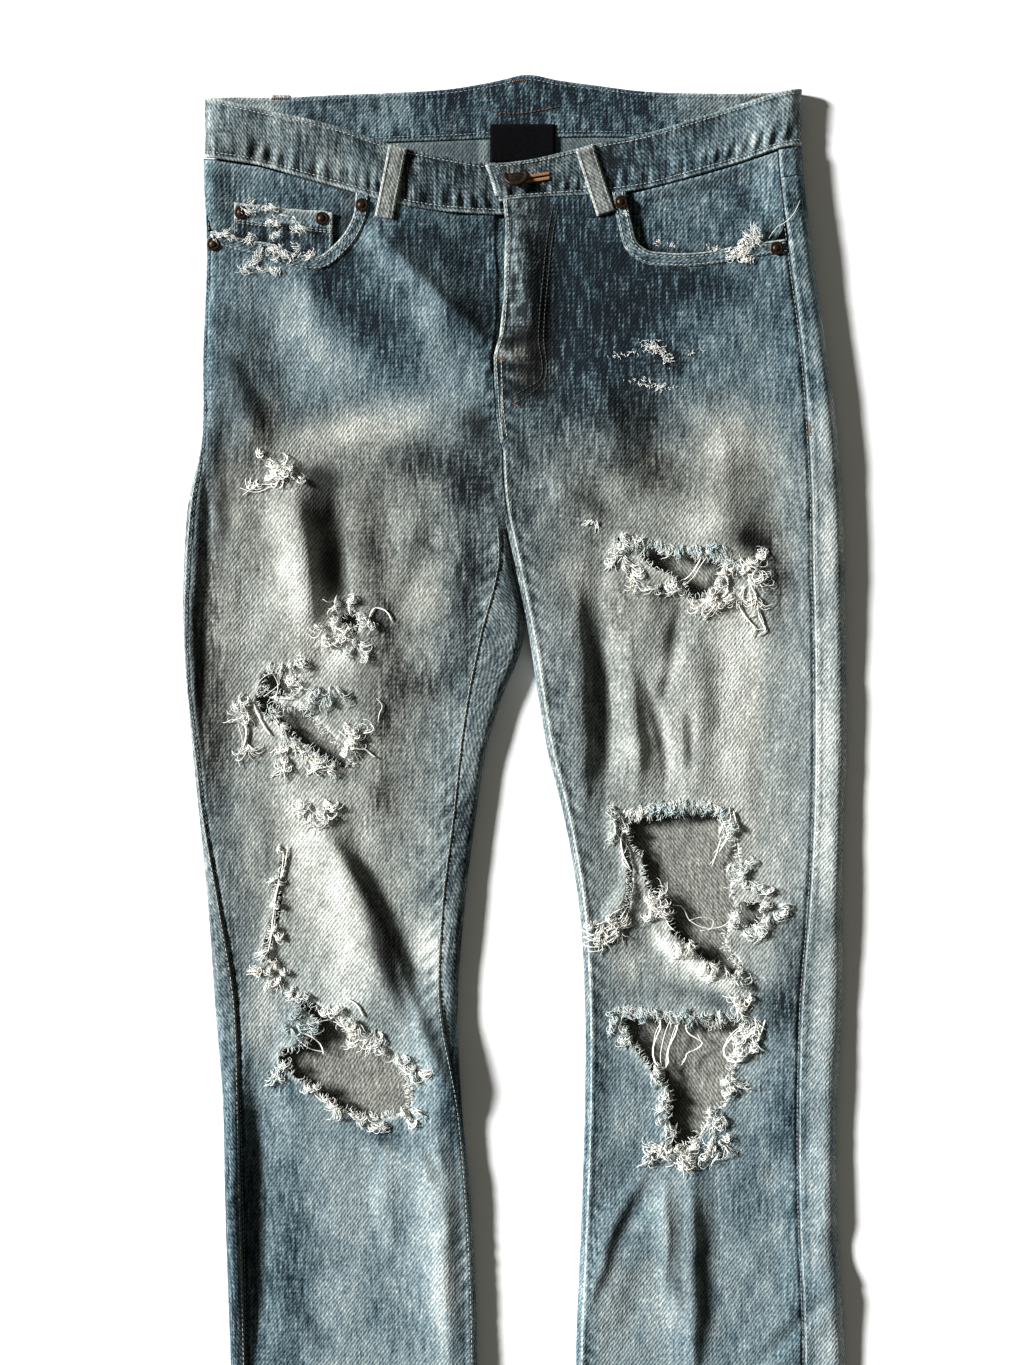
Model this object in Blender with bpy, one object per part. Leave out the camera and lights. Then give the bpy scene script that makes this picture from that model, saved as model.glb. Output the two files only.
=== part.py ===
# A pair of ripped, faded jeans lying flat on its back, front side up.
# +X runs to the wearer's left, +Y to the waist and +Z up; the floor is z = 0.
# "Left" and "right" in names are the wearer's own. Tables are in millimetres.
import math

import bmesh
import bpy
import numpy as np
from mathutils import Vector
from mathutils.bvhtree import BVHTree

mm = 0.001

# cloth
clothThickness = 1.2 * mm
bandThickness = 2.4 * mm
loopThickness = 1.6 * mm
seamGap = 0.3 * mm
layerGap = 0.6 * mm
trimThickness = 2.0 * mm

# garment
hemLevel = -540.0
crotchLevel = 280.0
fullWallLevel = crotchLevel - 9.0
centreLine = -11.0
seatLift = 1.5
flyDrop = 2.9
flyGap = 5.5
flyBottom = 345.0

# pieces
beltLoopWidth = 13.0
rivetRadius = 4.6
rivetHeight = 1.8
buttonRadius = 8.6
hemDepth = 13.0

sideNames = {"right": -1, "left": 1}

# Across each leg, from the outside of the leg to the inside.
legColumns = ("y", "outer", "outseam", "inseam", "inner")
legRows = {
    "right": (
        (545, -217.5, -216.3, -12.5, -11.5),
        (485, -218.5, -217.3, -12.5, -11.5),
        (415, -216.0, -214.8, -12.5, -11.5),
        (345, -218.5, -217.3, -12.5, -11.5),
        (280, -220.0, -218.8, -13.0, -11.5),
        (240, -229.0, -225.0, -12.0, -10.0),
        (200, -232.0, -228.5, -10.0, -2.5),
        (145, -232.5, -230.5, -23.0, 6.0),
        (100, -229.5, -228.0, -32.0, -10.5),
        (65, -226.0, -223.0, -37.0, -20.5),
        (30, -222.5, -219.0, -40.5, -26.0),
        (-40, -215.5, -207.0, -49.0, -35.0),
        (-110, -210.5, -196.0, -51.5, -40.0),
        (-180, -205.0, -193.5, -39.5, -37.5),
        (-250, -203.5, -192.0, -33.0, -31.0),
        (-365, -199.5, -189.0, -28.5, -26.5),
        (-545, -194.0, -185.5, -36.0, -34.0),
    ),
    "left": (
        (545, 199.5, 182.5, -9.5, -10.5),
        (485, 201.0, 184.0, -9.5, -10.5),
        (415, 208.5, 192.0, -9.5, -10.5),
        (345, 218.5, 201.0, -9.5, -10.5),
        (280, 226.5, 206.0, -8.5, -10.3),
        (240, 229.5, 208.0, -6.0, -8.7),
        (200, 231.0, 208.5, 2.0, -1.2),
        (145, 232.0, 210.0, 13.0, 10.0),
        (100, 232.5, 210.5, 20.0, 17.0),
        (65, 232.5, 210.5, 26.0, 23.0),
        (30, 231.0, 210.0, 35.0, 32.0),
        (-40, 229.5, 206.5, 47.5, 44.5),
        (-110, 229.5, 201.0, 52.0, 49.0),
        (-180, 226.0, 199.0, 52.0, 49.0),
        (-250, 225.5, 199.5, 50.0, 47.0),
        (-365, 231.5, 203.0, 45.5, 42.5),
        (-545, 214.0, 189.5, 49.0, 46.0),
    ),
}

# How high the flattened tube stands at its rolled edges and in its middle.
heightColumns = ("y", "edge", "middle", "floor")
heightRows = (
    (545, 14.5, 13.2, 1.5),
    (440, 15.5, 13.8, 1.5),
    (340, 15.0, 13.0, 1.5),
    (280, 13.5, 11.5, 1.2),
    (230, 12.5, 9.5, 0.0),
    (145, 11.5, 8.0, 0.0),
    (0, 10.5, 7.0, 0.0),
    (-150, 10.5, 7.0, 0.0),
    (-300, 9.5, 6.5, 0.0),
    (-450, 9.5, 7.5, 0.0),
    (-545, 11.4, 10.8, 0.0),
)

# Folds of the front: a centre line that bows sideways, its height, and how far it
# reaches to its -X and +X sides. A negative height is a trough.
foldColumns = ("leg", "x0", "y0", "x1", "y1", "bow", "height", "minusX", "plusX")
foldRows = (
    ("right", -215, 280, -214, 95, 0, -4.5, 6, 9),
    ("right", -200, 270, -205, 100, 0, 3.0, 10, 16),
    ("right", -205, 395, -160, 265, 0, 3.5, 30, 16),
    ("right", -158, 262, -146, 130, 0, 4.0, 28, 20),
    ("right", -112, 250, -125, 125, 0, -2.5, 16, 20),
    ("right", -135, 10, -72, -120, 8, 7.0, 32, 7),
    ("right", -66, -98, -38, -190, 4, 4.5, 16, 8),
    ("right", -178, -150, -182, -420, 0, -3.5, 10, 16),
    ("right", -60, -180, -44, -400, 3, 3.5, 26, 12),
    ("right", -90, 440, -22, 360, 0, 2.5, 22, 16),
    ("right", -40, 285, -56, 110, 3, 2.2, 14, 14),
    ("left", 2, 440, 14, 335, 0, 3.0, 8, 14),
    ("left", 30, 262, 98, 215, 0, 3.5, 16, 14),
    ("left", 58, 205, 66, 30, 0, -4.0, 14, 12),
    ("left", 84, 200, 92, 20, 0, 3.5, 14, 22),
    ("left", 84, 118, 108, 30, 0, -2.8, 9, 10),
    ("left", 118, 140, 126, 30, 0, 3.0, 10, 14),
    ("left", 170, 285, 182, 190, 0, -2.5, 16, 16),
    ("left", 112, -240, 54, -350, -6, 3.2, 14, 16),
    ("left", 112, -242, 124, -380, 2, 3.4, 10, 14),
    ("left", 226, -290, 165, -400, 4, 3.0, 16, 14),
    ("left", 178, -50, 190, -210, 4, 2.2, 16, 18),
)

# Seams across the top, each as x and y.
frontWaistSeam = {
    "right": ((-222, 481), (-178, 475), (-150, 467), (-122, 459), (-91, 450),
              (-66, 445), (-38, 441), (-8, 441)),
    "left": ((-24, 450), (17, 453), (60, 455), (88, 458), (130, 469), (157, 477),
             (184, 486), (206, 490)),
}
backWaistSeam = {
    "right": ((-222, 481), (-150, 489), (-87, 493), (-11, 496)),
    "left": ((-11, 496), (60, 497), (130, 495), (206, 490)),
}
yokeSideDrop = 20.0
yokeCentreDrop = 55.0

# Rows of both legs below the waist seam, common to every panel.
legLevels = (
    440, 412, 384, 354, 324, 300, 286, 271, 252, 228, 200, 172, 145, 115, 85, 52, 20,
    -12, -44, -76, -108, -140, -172, -206, -245, -300, -360, -430, -495, -540,
)

# The waistband, from the end under the button to the free end with the buttonhole.
# Each row is one station: where, its lower edge, its upper edge and its drop.
bandColumns = ("face", "x", "lower", "upper", "drop")
bandRows = (
    ("front", 30, 443.0, 480.0, 2.9),
    ("front", 4, 441.5, 478.5, 2.9),
    ("front", -22, 441.5, 478.0, 2.9),
    ("front", -45, 442.9, 481.5, 1.0),
    ("front", -66, 445.3, 485.5, 0.0),
    ("front", -91, 450.3, 491.8, 0.0),
    ("front", -122, 459.3, 502.3, 0.0),
    ("front", -150, 467.3, 509.3, 0.0),
    ("front", -178, 475.3, 515.0, 0.0),
    ("front", -200, 478.8, 520.0, 0.0),
    ("roll", -217.5, 481.4, 524.0, 0.0),
    ("back", -200, 483.6, 525.0, 0.0),
    ("back", -164, 487.6, 525.0, 0.0),
    ("back", -122, 491.2, 527.0, 0.0),
    ("back", -87, 493.4, 528.3, 0.0),
    ("back", -45, 494.8, 531.0, 0.0),
    ("back", -11, 496.3, 537.0, 0.0),
    ("back", 7, 496.6, 541.0, 0.0),
    ("back", 31, 496.9, 537.0, 0.0),
    ("back", 60, 497.3, 533.0, 0.0),
    ("back", 88, 496.8, 529.5, 0.0),
    ("back", 130, 495.3, 528.0, 0.0),
    ("back", 165, 493.0, 528.0, 0.0),
    ("back", 187, 491.6, 529.0, 0.0),
    ("roll", 200.5, 490.4, 530.0, 0.0),
    ("front", 184, 486.6, 526.5, 0.0),
    ("front", 157, 477.3, 518.0, 0.0),
    ("front", 130, 469.3, 509.5, 0.0),
    ("front", 88, 458.3, 497.0, 0.0),
    ("front", 60, 455.3, 491.5, 0.0),
    ("front", 38, 454.1, 486.0, 0.0),
    ("front", 10, 452.7, 479.5, 0.0),
    ("front", -10, 451.0, 477.0, 0.0),
    ("front", -21, 450.4, 476.5, 0.0),
)

# The edge of the fly flap, which is the front edge of the left panel.
flyEdge = ((-8.5, 452), (-7, 436), (-8, 384), (-11, 357), (-15, 343), (-14.5, 325),
           (-13, 300), (-10.6, 284))

# Pocket mouths: the lip from the waist seam to the outseam.
pocketLip = {
    "right": ((-110.5, 474), (-110.5, 453), (-112, 441), (-117, 430), (-126, 419),
              (-136, 411.5), (-150, 412), (-171, 420), (-189, 423), (-203, 427),
              (-232, 430)),
    "left": ((76, 475), (77, 453), (81, 434), (85, 421), (92, 415.5), (104, 413.5),
             (128, 413.5), (145, 416), (162, 419), (188, 422.5), (230, 424)),
}

# Rips: a centre, and the reach of the hole every 30 degrees from +X round by +Y.
ripColumns = ("name", "leg", "x", "y", "reach")
ripRows = (
    ("knee_right", "right", -118, -155, (38, 25, 25, 29, 46, 56, 42, 28, 26, 32, 42, 52)),
    ("thigh_right", "right", -147, 82, (15, 12, 11, 13, 19, 38, 18, 11, 11, 12, 25, 39)),
    ("curl_right", "right", -113, 160, (10, 9, 8, 7, 7, 8, 8, 7, 7, 8, 9, 10)),
    ("shin_right", "right", -167, -42, (3, 4, 9, 34, 6, 3, 3, 4, 9, 36, 6, 3)),
    ("thigh_left", "left", 119, 192, (26, 18, 14, 14, 17, 34, 23, 15, 14, 16, 21, 27)),
    ("knee_left", "left", 126, -24, (34, 28, 50, 50, 53, 52, 35, 27, 39, 56, 52, 35)),
    ("hole_left", "left", 167, -47, (8, 7, 8, 8, 7, 7, 7, 7, 8, 8, 7, 7)),
    ("shin_left", "left", 128, -155, (23, 32, 39, 33, 37, 58, 32, 20, 35, 57, 34, 27)),
)
# Worn places without a hole, where only the frayed threads stand up.
wornRows = (
    ("hip_right", "right", -171, 259, (16, 15, 15, 15, 15, 15, 16, 15, 15, 15, 15, 15)),
)
frayInner = 0.88
frayOuter = 6.0 * mm
frayLift = 1.0 * mm
bareRips = ("hole_left",)

rivetPlaces = (
    ("right", -191.5, 442.5, "coin"), ("right", -135, 438.5, "coin"),
    ("right", -107.0, 447.5, "front"), ("right", -210.5, 420.0, "front"),
    ("left", 74.0, 449.5, "front"), ("left", 182.5, 417.0, "front"),
)
buttonPlace = (0.0, 465.0)
frontLoops = {"right": (-81.8, 487.6, -91.5, 438.5), "left": (48.3, 487.2, 63.5, 441.5)}
backLoops = {"right": -165.0, "centre": 3.0, "left": 171.5}


def columnsOf(rows, names):
    return {name: np.array([row[i] for row in rows]) for i, name in enumerate(names)}


def smooth(value, start, end):
    """0 before start, 1 after end, and 3 t^2 - 2 t^3 between them."""
    t = np.clip((np.asarray(value, float) - start) / (end - start), 0.0, 1.0)
    return t * t * (3.0 - 2.0 * t)


def curveAt(at, stations, values):
    """Cubic through the values, with the slopes of the neighbouring chords."""
    stations = np.asarray(stations, float)
    values = np.asarray(values, float)
    if stations[0] > stations[-1]:
        stations, values = stations[::-1], values[::-1]
    slopes = np.gradient(values, stations)
    at = np.clip(np.asarray(at, float), stations[0], stations[-1])
    i = np.clip(np.searchsorted(stations, at) - 1, 0, len(stations) - 2)
    step = stations[i + 1] - stations[i]
    t = (at - stations[i]) / step
    return (
        (2 * t**3 - 3 * t**2 + 1) * values[i]
        + (t**3 - 2 * t**2 + t) * step * slopes[i]
        + (3 * t**2 - 2 * t**3) * values[i + 1]
        + (t**3 - t**2) * step * slopes[i + 1]
    )


legTable = {leg: columnsOf(rows, legColumns) for leg, rows in legRows.items()}
heightTable = columnsOf(heightRows, heightColumns)


def legEdge(leg, column, y):
    return curveAt(y, legTable[leg]["y"], legTable[leg][column])


def heightAt(column, y):
    return np.interp(y, heightTable["y"][::-1], heightTable[column][::-1])


def lineAt(points, at, column=0):
    """The other coordinate of a polyline at a given x (column 0) or y (column 1)."""
    points = sorted(points, key=lambda point: point[column])
    return np.interp(at, [p[column] for p in points], [p[1 - column] for p in points])


def foldHeight(leg, x, y):
    """Sum of Gaussian ridges about bowed centre lines that fade at both ends."""
    total = np.zeros(np.broadcast(x, y).shape)
    for row in foldRows:
        fold = dict(zip(foldColumns, row))
        if fold["leg"] != leg:
            continue
        dx, dy = fold["x1"] - fold["x0"], fold["y1"] - fold["y0"]
        length = math.hypot(dx, dy)
        along = ((x - fold["x0"]) * dx + (y - fold["y0"]) * dy) / length**2
        # The centre line runs down the leg, and "across" grows towards +X.
        across = (-(x - fold["x0"]) * dy + (y - fold["y0"]) * dx) / length
        t = np.clip(along, 0.0, 1.0)
        across = across - 4.0 * fold["bow"] * t * (1.0 - t)
        reach = np.where(across < 0.0, fold["minusX"], fold["plusX"])
        fade = smooth(along, -0.08, 0.25) * (1.0 - smooth(along, 0.72, 1.08))
        total += fold["height"] * np.exp(-((across / reach) ** 2)) * fade
    return total


def rollWidth(y):
    return 0.55 * heightAt("edge", y)


def edgeRoll(distance, width):
    """Quarter ellipse: 0 on the outline, 1 from one roll width inside it."""
    t = np.clip(distance / width, 0.0, 1.0)
    return np.sqrt(1.0 - (1.0 - t) ** 2)


def topHeight(leg, x, y):
    """Outer face of the upper layer: sagging middle, folds and rolled edges."""
    x, y = np.broadcast_arrays(np.asarray(x, float), np.asarray(y, float))
    side = sideNames[leg]
    edge, middle, floor = (heightAt(name, y) for name in ("edge", "middle", "floor"))
    width = rollWidth(y)
    fromOuter = (legEdge(leg, "outer", y) - x) * side
    fromInner = (x - legEdge(leg, "inner", y)) * side
    isLeg = smooth(y, crotchLevel - 2.0, crotchLevel - 60.0)
    isTube = smooth(y, crotchLevel + 1.0, fullWallLevel - 1.0)
    sag = 1.0 - smooth(fromOuter, width, width + 42.0)
    sagInner = (1.0 - smooth(fromInner, width, width + 38.0)) * isLeg
    base = middle + (edge - middle) * np.maximum(sag, sagInner) + foldHeight(leg, x, y)
    base = np.maximum(base, floor + 3.6)
    if leg == "right":
        base = base - flyDrop * smooth(x, -58.0, -24.0) * smooth(y, 325.0, 380.0)
    centre = 0.5 * (edge + floor)
    roll = edgeRoll(fromOuter, width) * (1.0 - isTube * (1.0 - edgeRoll(fromInner, width)))
    return centre + (base - centre) * roll


def floorHeight(leg, x, y):
    """Outer face of the lower layer: flat on the floor, with rolled edges."""
    side = sideNames[leg]
    floor = heightAt("floor", y)
    centre = 0.5 * (heightAt("edge", y) + floor)
    fromOuter = (legEdge(leg, "outer", y) - x) * side
    fromInner = (x - legEdge(leg, "inner", y)) * side
    isTube = smooth(y, crotchLevel + 26.0, fullWallLevel)
    roll = edgeRoll(fromOuter, rollWidth(y))
    roll = roll * (1.0 - isTube * (1.0 - edgeRoll(fromInner, rollWidth(y))))
    return centre - (centre - floor) * roll


def clearScene():
    for item in list(bpy.data.objects):
        bpy.data.objects.remove(item, do_unlink=True)


def material(name, colour, roughness, metallic=0.0):
    made = bpy.data.materials.new(name)
    made.use_nodes = True
    shader = made.node_tree.nodes["Principled BSDF"]
    shader.inputs["Base Color"].default_value = (*colour, 1.0)
    shader.inputs["Roughness"].default_value = roughness
    shader.inputs["Metallic"].default_value = metallic
    return made


def meshObject(name, points, faces, finish):
    mesh = bpy.data.meshes.new(name)
    mesh.from_pydata([tuple(p) for p in points], [], faces)
    mesh.update()
    made = bpy.data.objects.new(name, mesh)
    bpy.context.scene.collection.objects.link(made)
    if finish is not None:
        mesh.materials.append(finish)
    return made


def gridFaces(rows, columns, flip=False, wrap=False):
    """Triangles between rows of points, all cut along the same diagonal, so that both
    faces of a wall bend alike. Wrap also joins the last column to the first."""
    faces = []
    for i in range(rows - 1):
        for j in range(columns if wrap else columns - 1):
            k = (j + 1) % columns
            a, b = i * columns + j, i * columns + k
            c, d = (i + 1) * columns + k, (i + 1) * columns + j
            faces += [(c, b, a), (d, c, a)] if flip else [(a, b, c), (a, c, d)]
    return faces


def solidify(obj, thickness):
    """Cloth wall: the modelled face is the outer one, and the wall grows inwards."""
    modifier = obj.modifiers.new("cloth wall", "SOLIDIFY")
    modifier.thickness = thickness
    modifier.offset = -1.0
    modifier.use_even_offset = True
    modifier.use_rim = True
    return modifier


def topNormal(leg, x, y):
    """Unit normal of the upper layer, from differences of its height."""
    step = 0.1
    slopeX = (topHeight(leg, x + step, y) - topHeight(leg, x - step, y)) / (2 * step)
    slopeY = (topHeight(leg, x, y + step) - topHeight(leg, x, y - step)) / (2 * step)
    normal = np.stack([-slopeX, -slopeY, np.ones(np.shape(slopeX))], axis=-1)
    return normal / np.linalg.norm(normal, axis=-1, keepdims=True)


def floorNormal(leg, x, y):
    """Unit normal of the lower layer, pointing down and out."""
    step = 0.1
    slopeX = (floorHeight(leg, x + step, y) - floorHeight(leg, x - step, y)) / (2 * step)
    normal = np.stack([slopeX, np.zeros(np.shape(slopeX)), -np.ones(np.shape(slopeX))], axis=-1)
    return normal / np.linalg.norm(normal, axis=-1, keepdims=True)


def wall(name, outer, normals, thickness, flip, finish):
    """A closed wall: the outer face, the inner face along the normals, and the rim."""
    rows, columns = outer.shape[:2]
    count = rows * columns
    inner = outer - normals * thickness
    points = np.concatenate([outer.reshape(-1, 3), inner.reshape(-1, 3)])
    faces = gridFaces(rows, columns, flip)
    faces += [tuple(i + count for i in reversed(face)) for face in faces]
    rim = [j for j in range(columns)]
    rim += [i * columns + columns - 1 for i in range(1, rows)]
    rim += [(rows - 1) * columns + j for j in range(columns - 2, -1, -1)]
    rim += [i * columns for i in range(rows - 2, 0, -1)]
    for a, b in zip(rim, rim[1:] + rim[:1]):
        edge = (b, a, a + count, b + count)
        faces.append(edge[::-1] if flip else edge)
    return meshObject(name, points, faces, finish)


def cut(obj, cutter):
    modifier = obj.modifiers.new("cut " + cutter.name, "BOOLEAN")
    modifier.operation = "DIFFERENCE"
    modifier.solver = "EXACT"
    modifier.object = cutter
    modifier.use_self = True
    cutter.hide_render = True
    cutter.display_type = "WIRE"


def prism(name, outlines, low=-5.0, high=45.0):
    """Upright prisms, one for each closed outline in millimetres."""
    points, faces = [], []
    for outline in outlines:
        count, first = len(outline), len(points)
        area = sum(a[0] * b[1] - b[0] * a[1] for a, b in zip(outline, outline[1:] + outline[:1]))
        if area < 0:
            outline = outline[::-1]
        points += [(x * mm, y * mm, low * mm) for x, y in outline]
        points += [(x * mm, y * mm, high * mm) for x, y in outline]
        faces.append(tuple(first + i for i in reversed(range(count))))
        faces.append(tuple(first + count + i for i in range(count)))
        for i in range(count):
            j = (i + 1) % count
            faces.append((first + i, first + j, first + count + j, first + count + i))
    return meshObject(name, points, faces, None)


def panelGrid(xs, ys, zs):
    """Rows of stations, each an (x, y, z) array in millimetres, as one point list."""
    return np.stack([xs, ys, zs], axis=-1).reshape(-1, 3) * mm


def sideLevel(leg):
    return 481.0 if leg == "right" else 489.5


def frontLevels(leg):
    side = sideLevel(leg) - seamGap / mm
    return np.array([side, side - 11.0, side - 21.0, *legLevels], float)


def rowShift(leg, x, level, seam, seamSide, top):
    """How far a row bends up or down at x so that the first row follows its seam."""
    fade = smooth(level, crotchLevel + 8.0, top)
    return (lineAt(seam, x) - seamSide) * fade


def frontStations(leg, level, top):
    """One row of the front, as points and normals: outseam to inseam below the crotch,
    outseam to the fly above it."""
    side = sideNames[leg]
    gap = seamGap / mm / 2
    spread = np.array([0.0, 0.03, 0.11, 0.24, 0.38, 0.52, 0.66, 0.8, 0.92, 1.0])
    outer = float(legEdge(leg, "outseam", level)) - side * gap
    if level >= crotchLevel:
        opening = flyGap * float(smooth(level, flyBottom - 12.0, flyBottom + 12.0))
        inner = float(lineAt(flyEdge, level, 1)) + (gap if leg == "left" else -gap - opening)
    else:
        inner = float(legEdge(leg, "inseam", level)) + side * gap
    x = outer + (inner - outer) * spread
    y = level + rowShift(leg, x, level, frontWaistSeam[leg], sideLevel(leg), top)
    if level >= crotchLevel and leg == "left":
        x = x + (lineAt(flyEdge, np.minimum(y, 452.0), 1) - lineAt(flyEdge, level, 1)) * spread**4
    points = np.stack([x, y, topHeight(leg, x, y)], axis=-1) * mm
    return points, topNormal(leg, x, y)


def makeFront(leg, finish):
    levels = frontLevels(leg)
    rows = [frontStations(leg, level, levels[0]) for level in levels]
    outer, normals = (np.array([row[i] for row in rows]) for i in range(2))
    panel = wall("front_" + leg, outer, normals, clothThickness, leg == "right", finish)
    return panel, outer.reshape(-1, 3), outer.shape[:2]


def backStations(leg, level, seam, seamSide, top):
    """One row of the back, as points and normals: outseam, over the outer roll, along
    the floor, and below the crotch up the inner roll to the inseam."""
    side = sideNames[leg]
    gap = seamGap / mm / 2
    outer, inner, outseam, inseam = (
        float(legEdge(leg, name, level)) for name in ("outer", "inner", "outseam", "inseam")
    )
    width = float(rollWidth(level))
    wrapped = level <= fullWallLevel
    climbing = fullWallLevel < level < crotchLevel + 26.0
    middle = centreLine + side * gap
    overOuter = outer + (outseam + side * gap - outer) * np.array([1.0, 0.35])
    underOuter = outer - side * width * np.array([0.0, 0.3, 1.0])
    if wrapped or climbing:
        inside = inner + side * width * np.array([1.0, 0.3, 0.0])
        overInner = inner + (inseam - side * gap - inner) * np.array([0.35, 1.0])
    else:
        inside = middle + side * np.array([36.0, 26.0, 17.0])
        overInner = middle + side * np.array([8.0, 0.0])
    flat = [0.5 * (underOuter[-1] + inside[0])]
    lower = np.concatenate([underOuter, flat, inside])
    x = np.concatenate([overOuter, lower, overInner])
    front = rowShift(leg, x, level, frontWaistSeam[leg], sideLevel(leg), sideLevel(leg) - gap * 2)
    back = rowShift(leg, x, level, seam, seamSide, top)
    y = level + back
    y[:2] = level + front[:2]
    z = floorHeight(leg, x, y)
    z[:2] = topHeight(leg, x[:2], y[:2])
    normals = floorNormal(leg, x, y)
    normals[:2] = topNormal(leg, x[:2], y[:2])
    if wrapped:
        y[-2:] = level
        z[-2:] = topHeight(leg, x[-2:], y[-2:])
        normals[-2:] = topNormal(leg, x[-2:], y[-2:])
    elif climbing:
        # Above the crotch the seat seam closes the wall, lower from row to row.
        climb = 1.0 - float(smooth(level, fullWallLevel, crotchLevel + 26.0))
        x[-3:] = inner
        y[-3:] = level
        z[-3:] = z[-3] + np.array([0.0, 1.0, 2.0]) * (1.0 + 1.2 * climb)
        normals[-3:] = (-side, 0.0, 0.0)
    return np.stack([x, y, z], axis=-1) * mm, normals


def backSeams(leg):
    side = sideLevel(leg)
    waist = backWaistSeam[leg]
    centreLevel = lineAt(waist, centreLine)
    edge = -222.0 if leg == "right" else 206.0
    yoke = ((edge, side - yokeSideDrop), (centreLine, centreLevel - yokeCentreDrop))
    return waist, yoke


def makeBack(leg, finish):
    yoke = backSeams(leg)[1]
    side = sideLevel(leg) - yokeSideDrop
    levels = np.array([side - seamGap / mm, *legLevels], float)
    rows = [backStations(leg, level, yoke, side, levels[0]) for level in levels]
    outer, normals = (np.array([row[i] for row in rows]) for i in range(2))
    return wall("back_" + leg, outer, normals, clothThickness, leg == "left", finish)


def makeYoke(leg, finish):
    """Between the back waist seam and the slanting yoke seam."""
    waist, yoke = backSeams(leg)
    side = sideLevel(leg)
    upper = backStations(leg, side - seamGap / mm, waist, side, side - seamGap / mm)
    lowLevel = side - yokeSideDrop
    lower = backStations(leg, lowLevel, yoke, lowLevel, lowLevel)
    outer, normals = (
        np.array([a + (b - a) * t for t in (0.0, 0.5, 1.0)]) for a, b in zip(upper, lower)
    )
    return wall("yoke_" + leg, outer, normals, clothThickness, leg == "left", finish)


def makeBand(finish):
    """One open strip round the waist; its free end laps over the end with the button."""
    rows = [dict(zip(bandColumns, row)) for row in bandRows]
    path = []
    for row in rows:
        leg = "right" if row["x"] < centreLine else "left"
        y = np.linspace(row["lower"], row["upper"], 4)
        x = np.full(4, float(row["x"]))
        if row["face"] == "front":
            z = topHeight("left" if row["x"] >= centreLine or row["drop"] else leg, x, y) - row["drop"]
            z = z if row["drop"] or leg == "left" else topHeight(leg, x, np.full(4, 530.0))
            z = np.full(4, float(z.mean()))
        elif row["face"] == "back":
            z = floorHeight(leg, x, y)
        else:
            z = np.full(4, 0.5 * (heightAt("edge", 500.0) + seatLift))
        path.append((x, y, z))
    xs, ys, zs = (np.array([station[i] for station in path]) for i in range(3))
    band = meshObject("waistband", panelGrid(xs, ys, zs), gridFaces(*xs.shape), finish)
    solidify(band, bandThickness)
    return band


def surfaceTree(grids):
    """A tree for finding the height of the upper faces under a point."""
    points, faces = [], []
    for gridPoints, gridShape in grids:
        first = len(points)
        points += [Vector(p) for p in gridPoints]
        faces += [tuple(first + i for i in face) for face in gridFaces(*gridShape)]
    return BVHTree.FromPolygons(points, faces)


def heightOn(tree, x, y, fallback=0.0):
    hit = tree.ray_cast(Vector((x, y, 0.2)), Vector((0.0, 0.0, -1.0)))
    return hit[0].z if hit[0] is not None else fallback


def slab(name, xs, ys, under, thickness, finish):
    """A sheet over a grid of plan points: its lower face is given, its upper is above."""
    rows, columns = xs.shape
    low = np.stack([xs, ys, under], axis=-1).reshape(-1, 3)
    high = low + np.array([0.0, 0.0, thickness])
    count = rows * columns
    faces = gridFaces(rows, columns)
    faces = [tuple(reversed(f)) for f in faces] + [tuple(i + count for i in f) for f in faces]
    rim = list(range(columns))
    rim += [i * columns + columns - 1 for i in range(1, rows)]
    rim += [(rows - 1) * columns + j for j in range(columns - 2, -1, -1)]
    rim += [i * columns for i in range(rows - 2, 0, -1)]
    for a, b in zip(rim, rim[1:] + rim[:1]):
        faces.append((a, b, b + count, a + count))
    made = meshObject(name, np.concatenate([low, high]), faces, finish)
    tidyNormals(made)
    return made


def tidyNormals(obj):
    shape = bmesh.new()
    shape.from_mesh(obj.data)
    bmesh.ops.recalc_face_normals(shape, faces=shape.faces[:])
    shape.to_mesh(obj.data)
    shape.free()


def ripOutline(x, y, reach, scale=1.0, extra=0.0, count=24):
    """Closed outline: the reach between named directions follows a periodic cubic."""
    angles = np.arange(-2, len(reach) + 3) * 30.0
    values = np.array(list(reach[-2:]) + list(reach) + list(reach[:3]), float)
    at = np.arange(count) * 360.0 / count
    radius = np.maximum(curveAt(at, angles, values), 2.5) * scale + extra
    turn = np.radians(at)
    return [(x + r * math.cos(a), y + r * math.sin(a)) for r, a in zip(radius, turn)]


def makeFray(name, x, y, reach, tree, finish, closedSpot=False):
    """The reach of the loose threads: a low ring that stands round a rip."""
    count = 16
    inside = ripOutline(x, y, reach, 0.3 if closedSpot else frayInner, 0.0, count)
    outside = ripOutline(x, y, reach, 1.0, frayOuter / mm, count)
    plan = np.array([inside, outside]) * mm
    under = np.array([[heightOn(tree, *p, 8 * mm) for p in ring] for ring in plan]) + frayLift
    under = np.maximum(under, under.mean(axis=0) - 1.0 * mm)
    under = np.maximum(under, 0.5 * (np.roll(under, 1, axis=1) + np.roll(under, -1, axis=1)))
    low = np.concatenate([plan, under[..., None]], axis=-1)
    high = low + np.array([0.0, 0.0, trimThickness])
    rings = [low[0], low[1], high[1], high[0]]
    points = np.concatenate(rings)
    faces = []
    for ring in range(4):
        for j in range(count):
            k = (j + 1) % count
            after = (ring + 1) % 4
            faces.append((ring * count + j, after * count + j, after * count + k, ring * count + k))
    made = meshObject("fray_" + name, points, faces, finish)
    tidyNormals(made)
    return made


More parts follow.
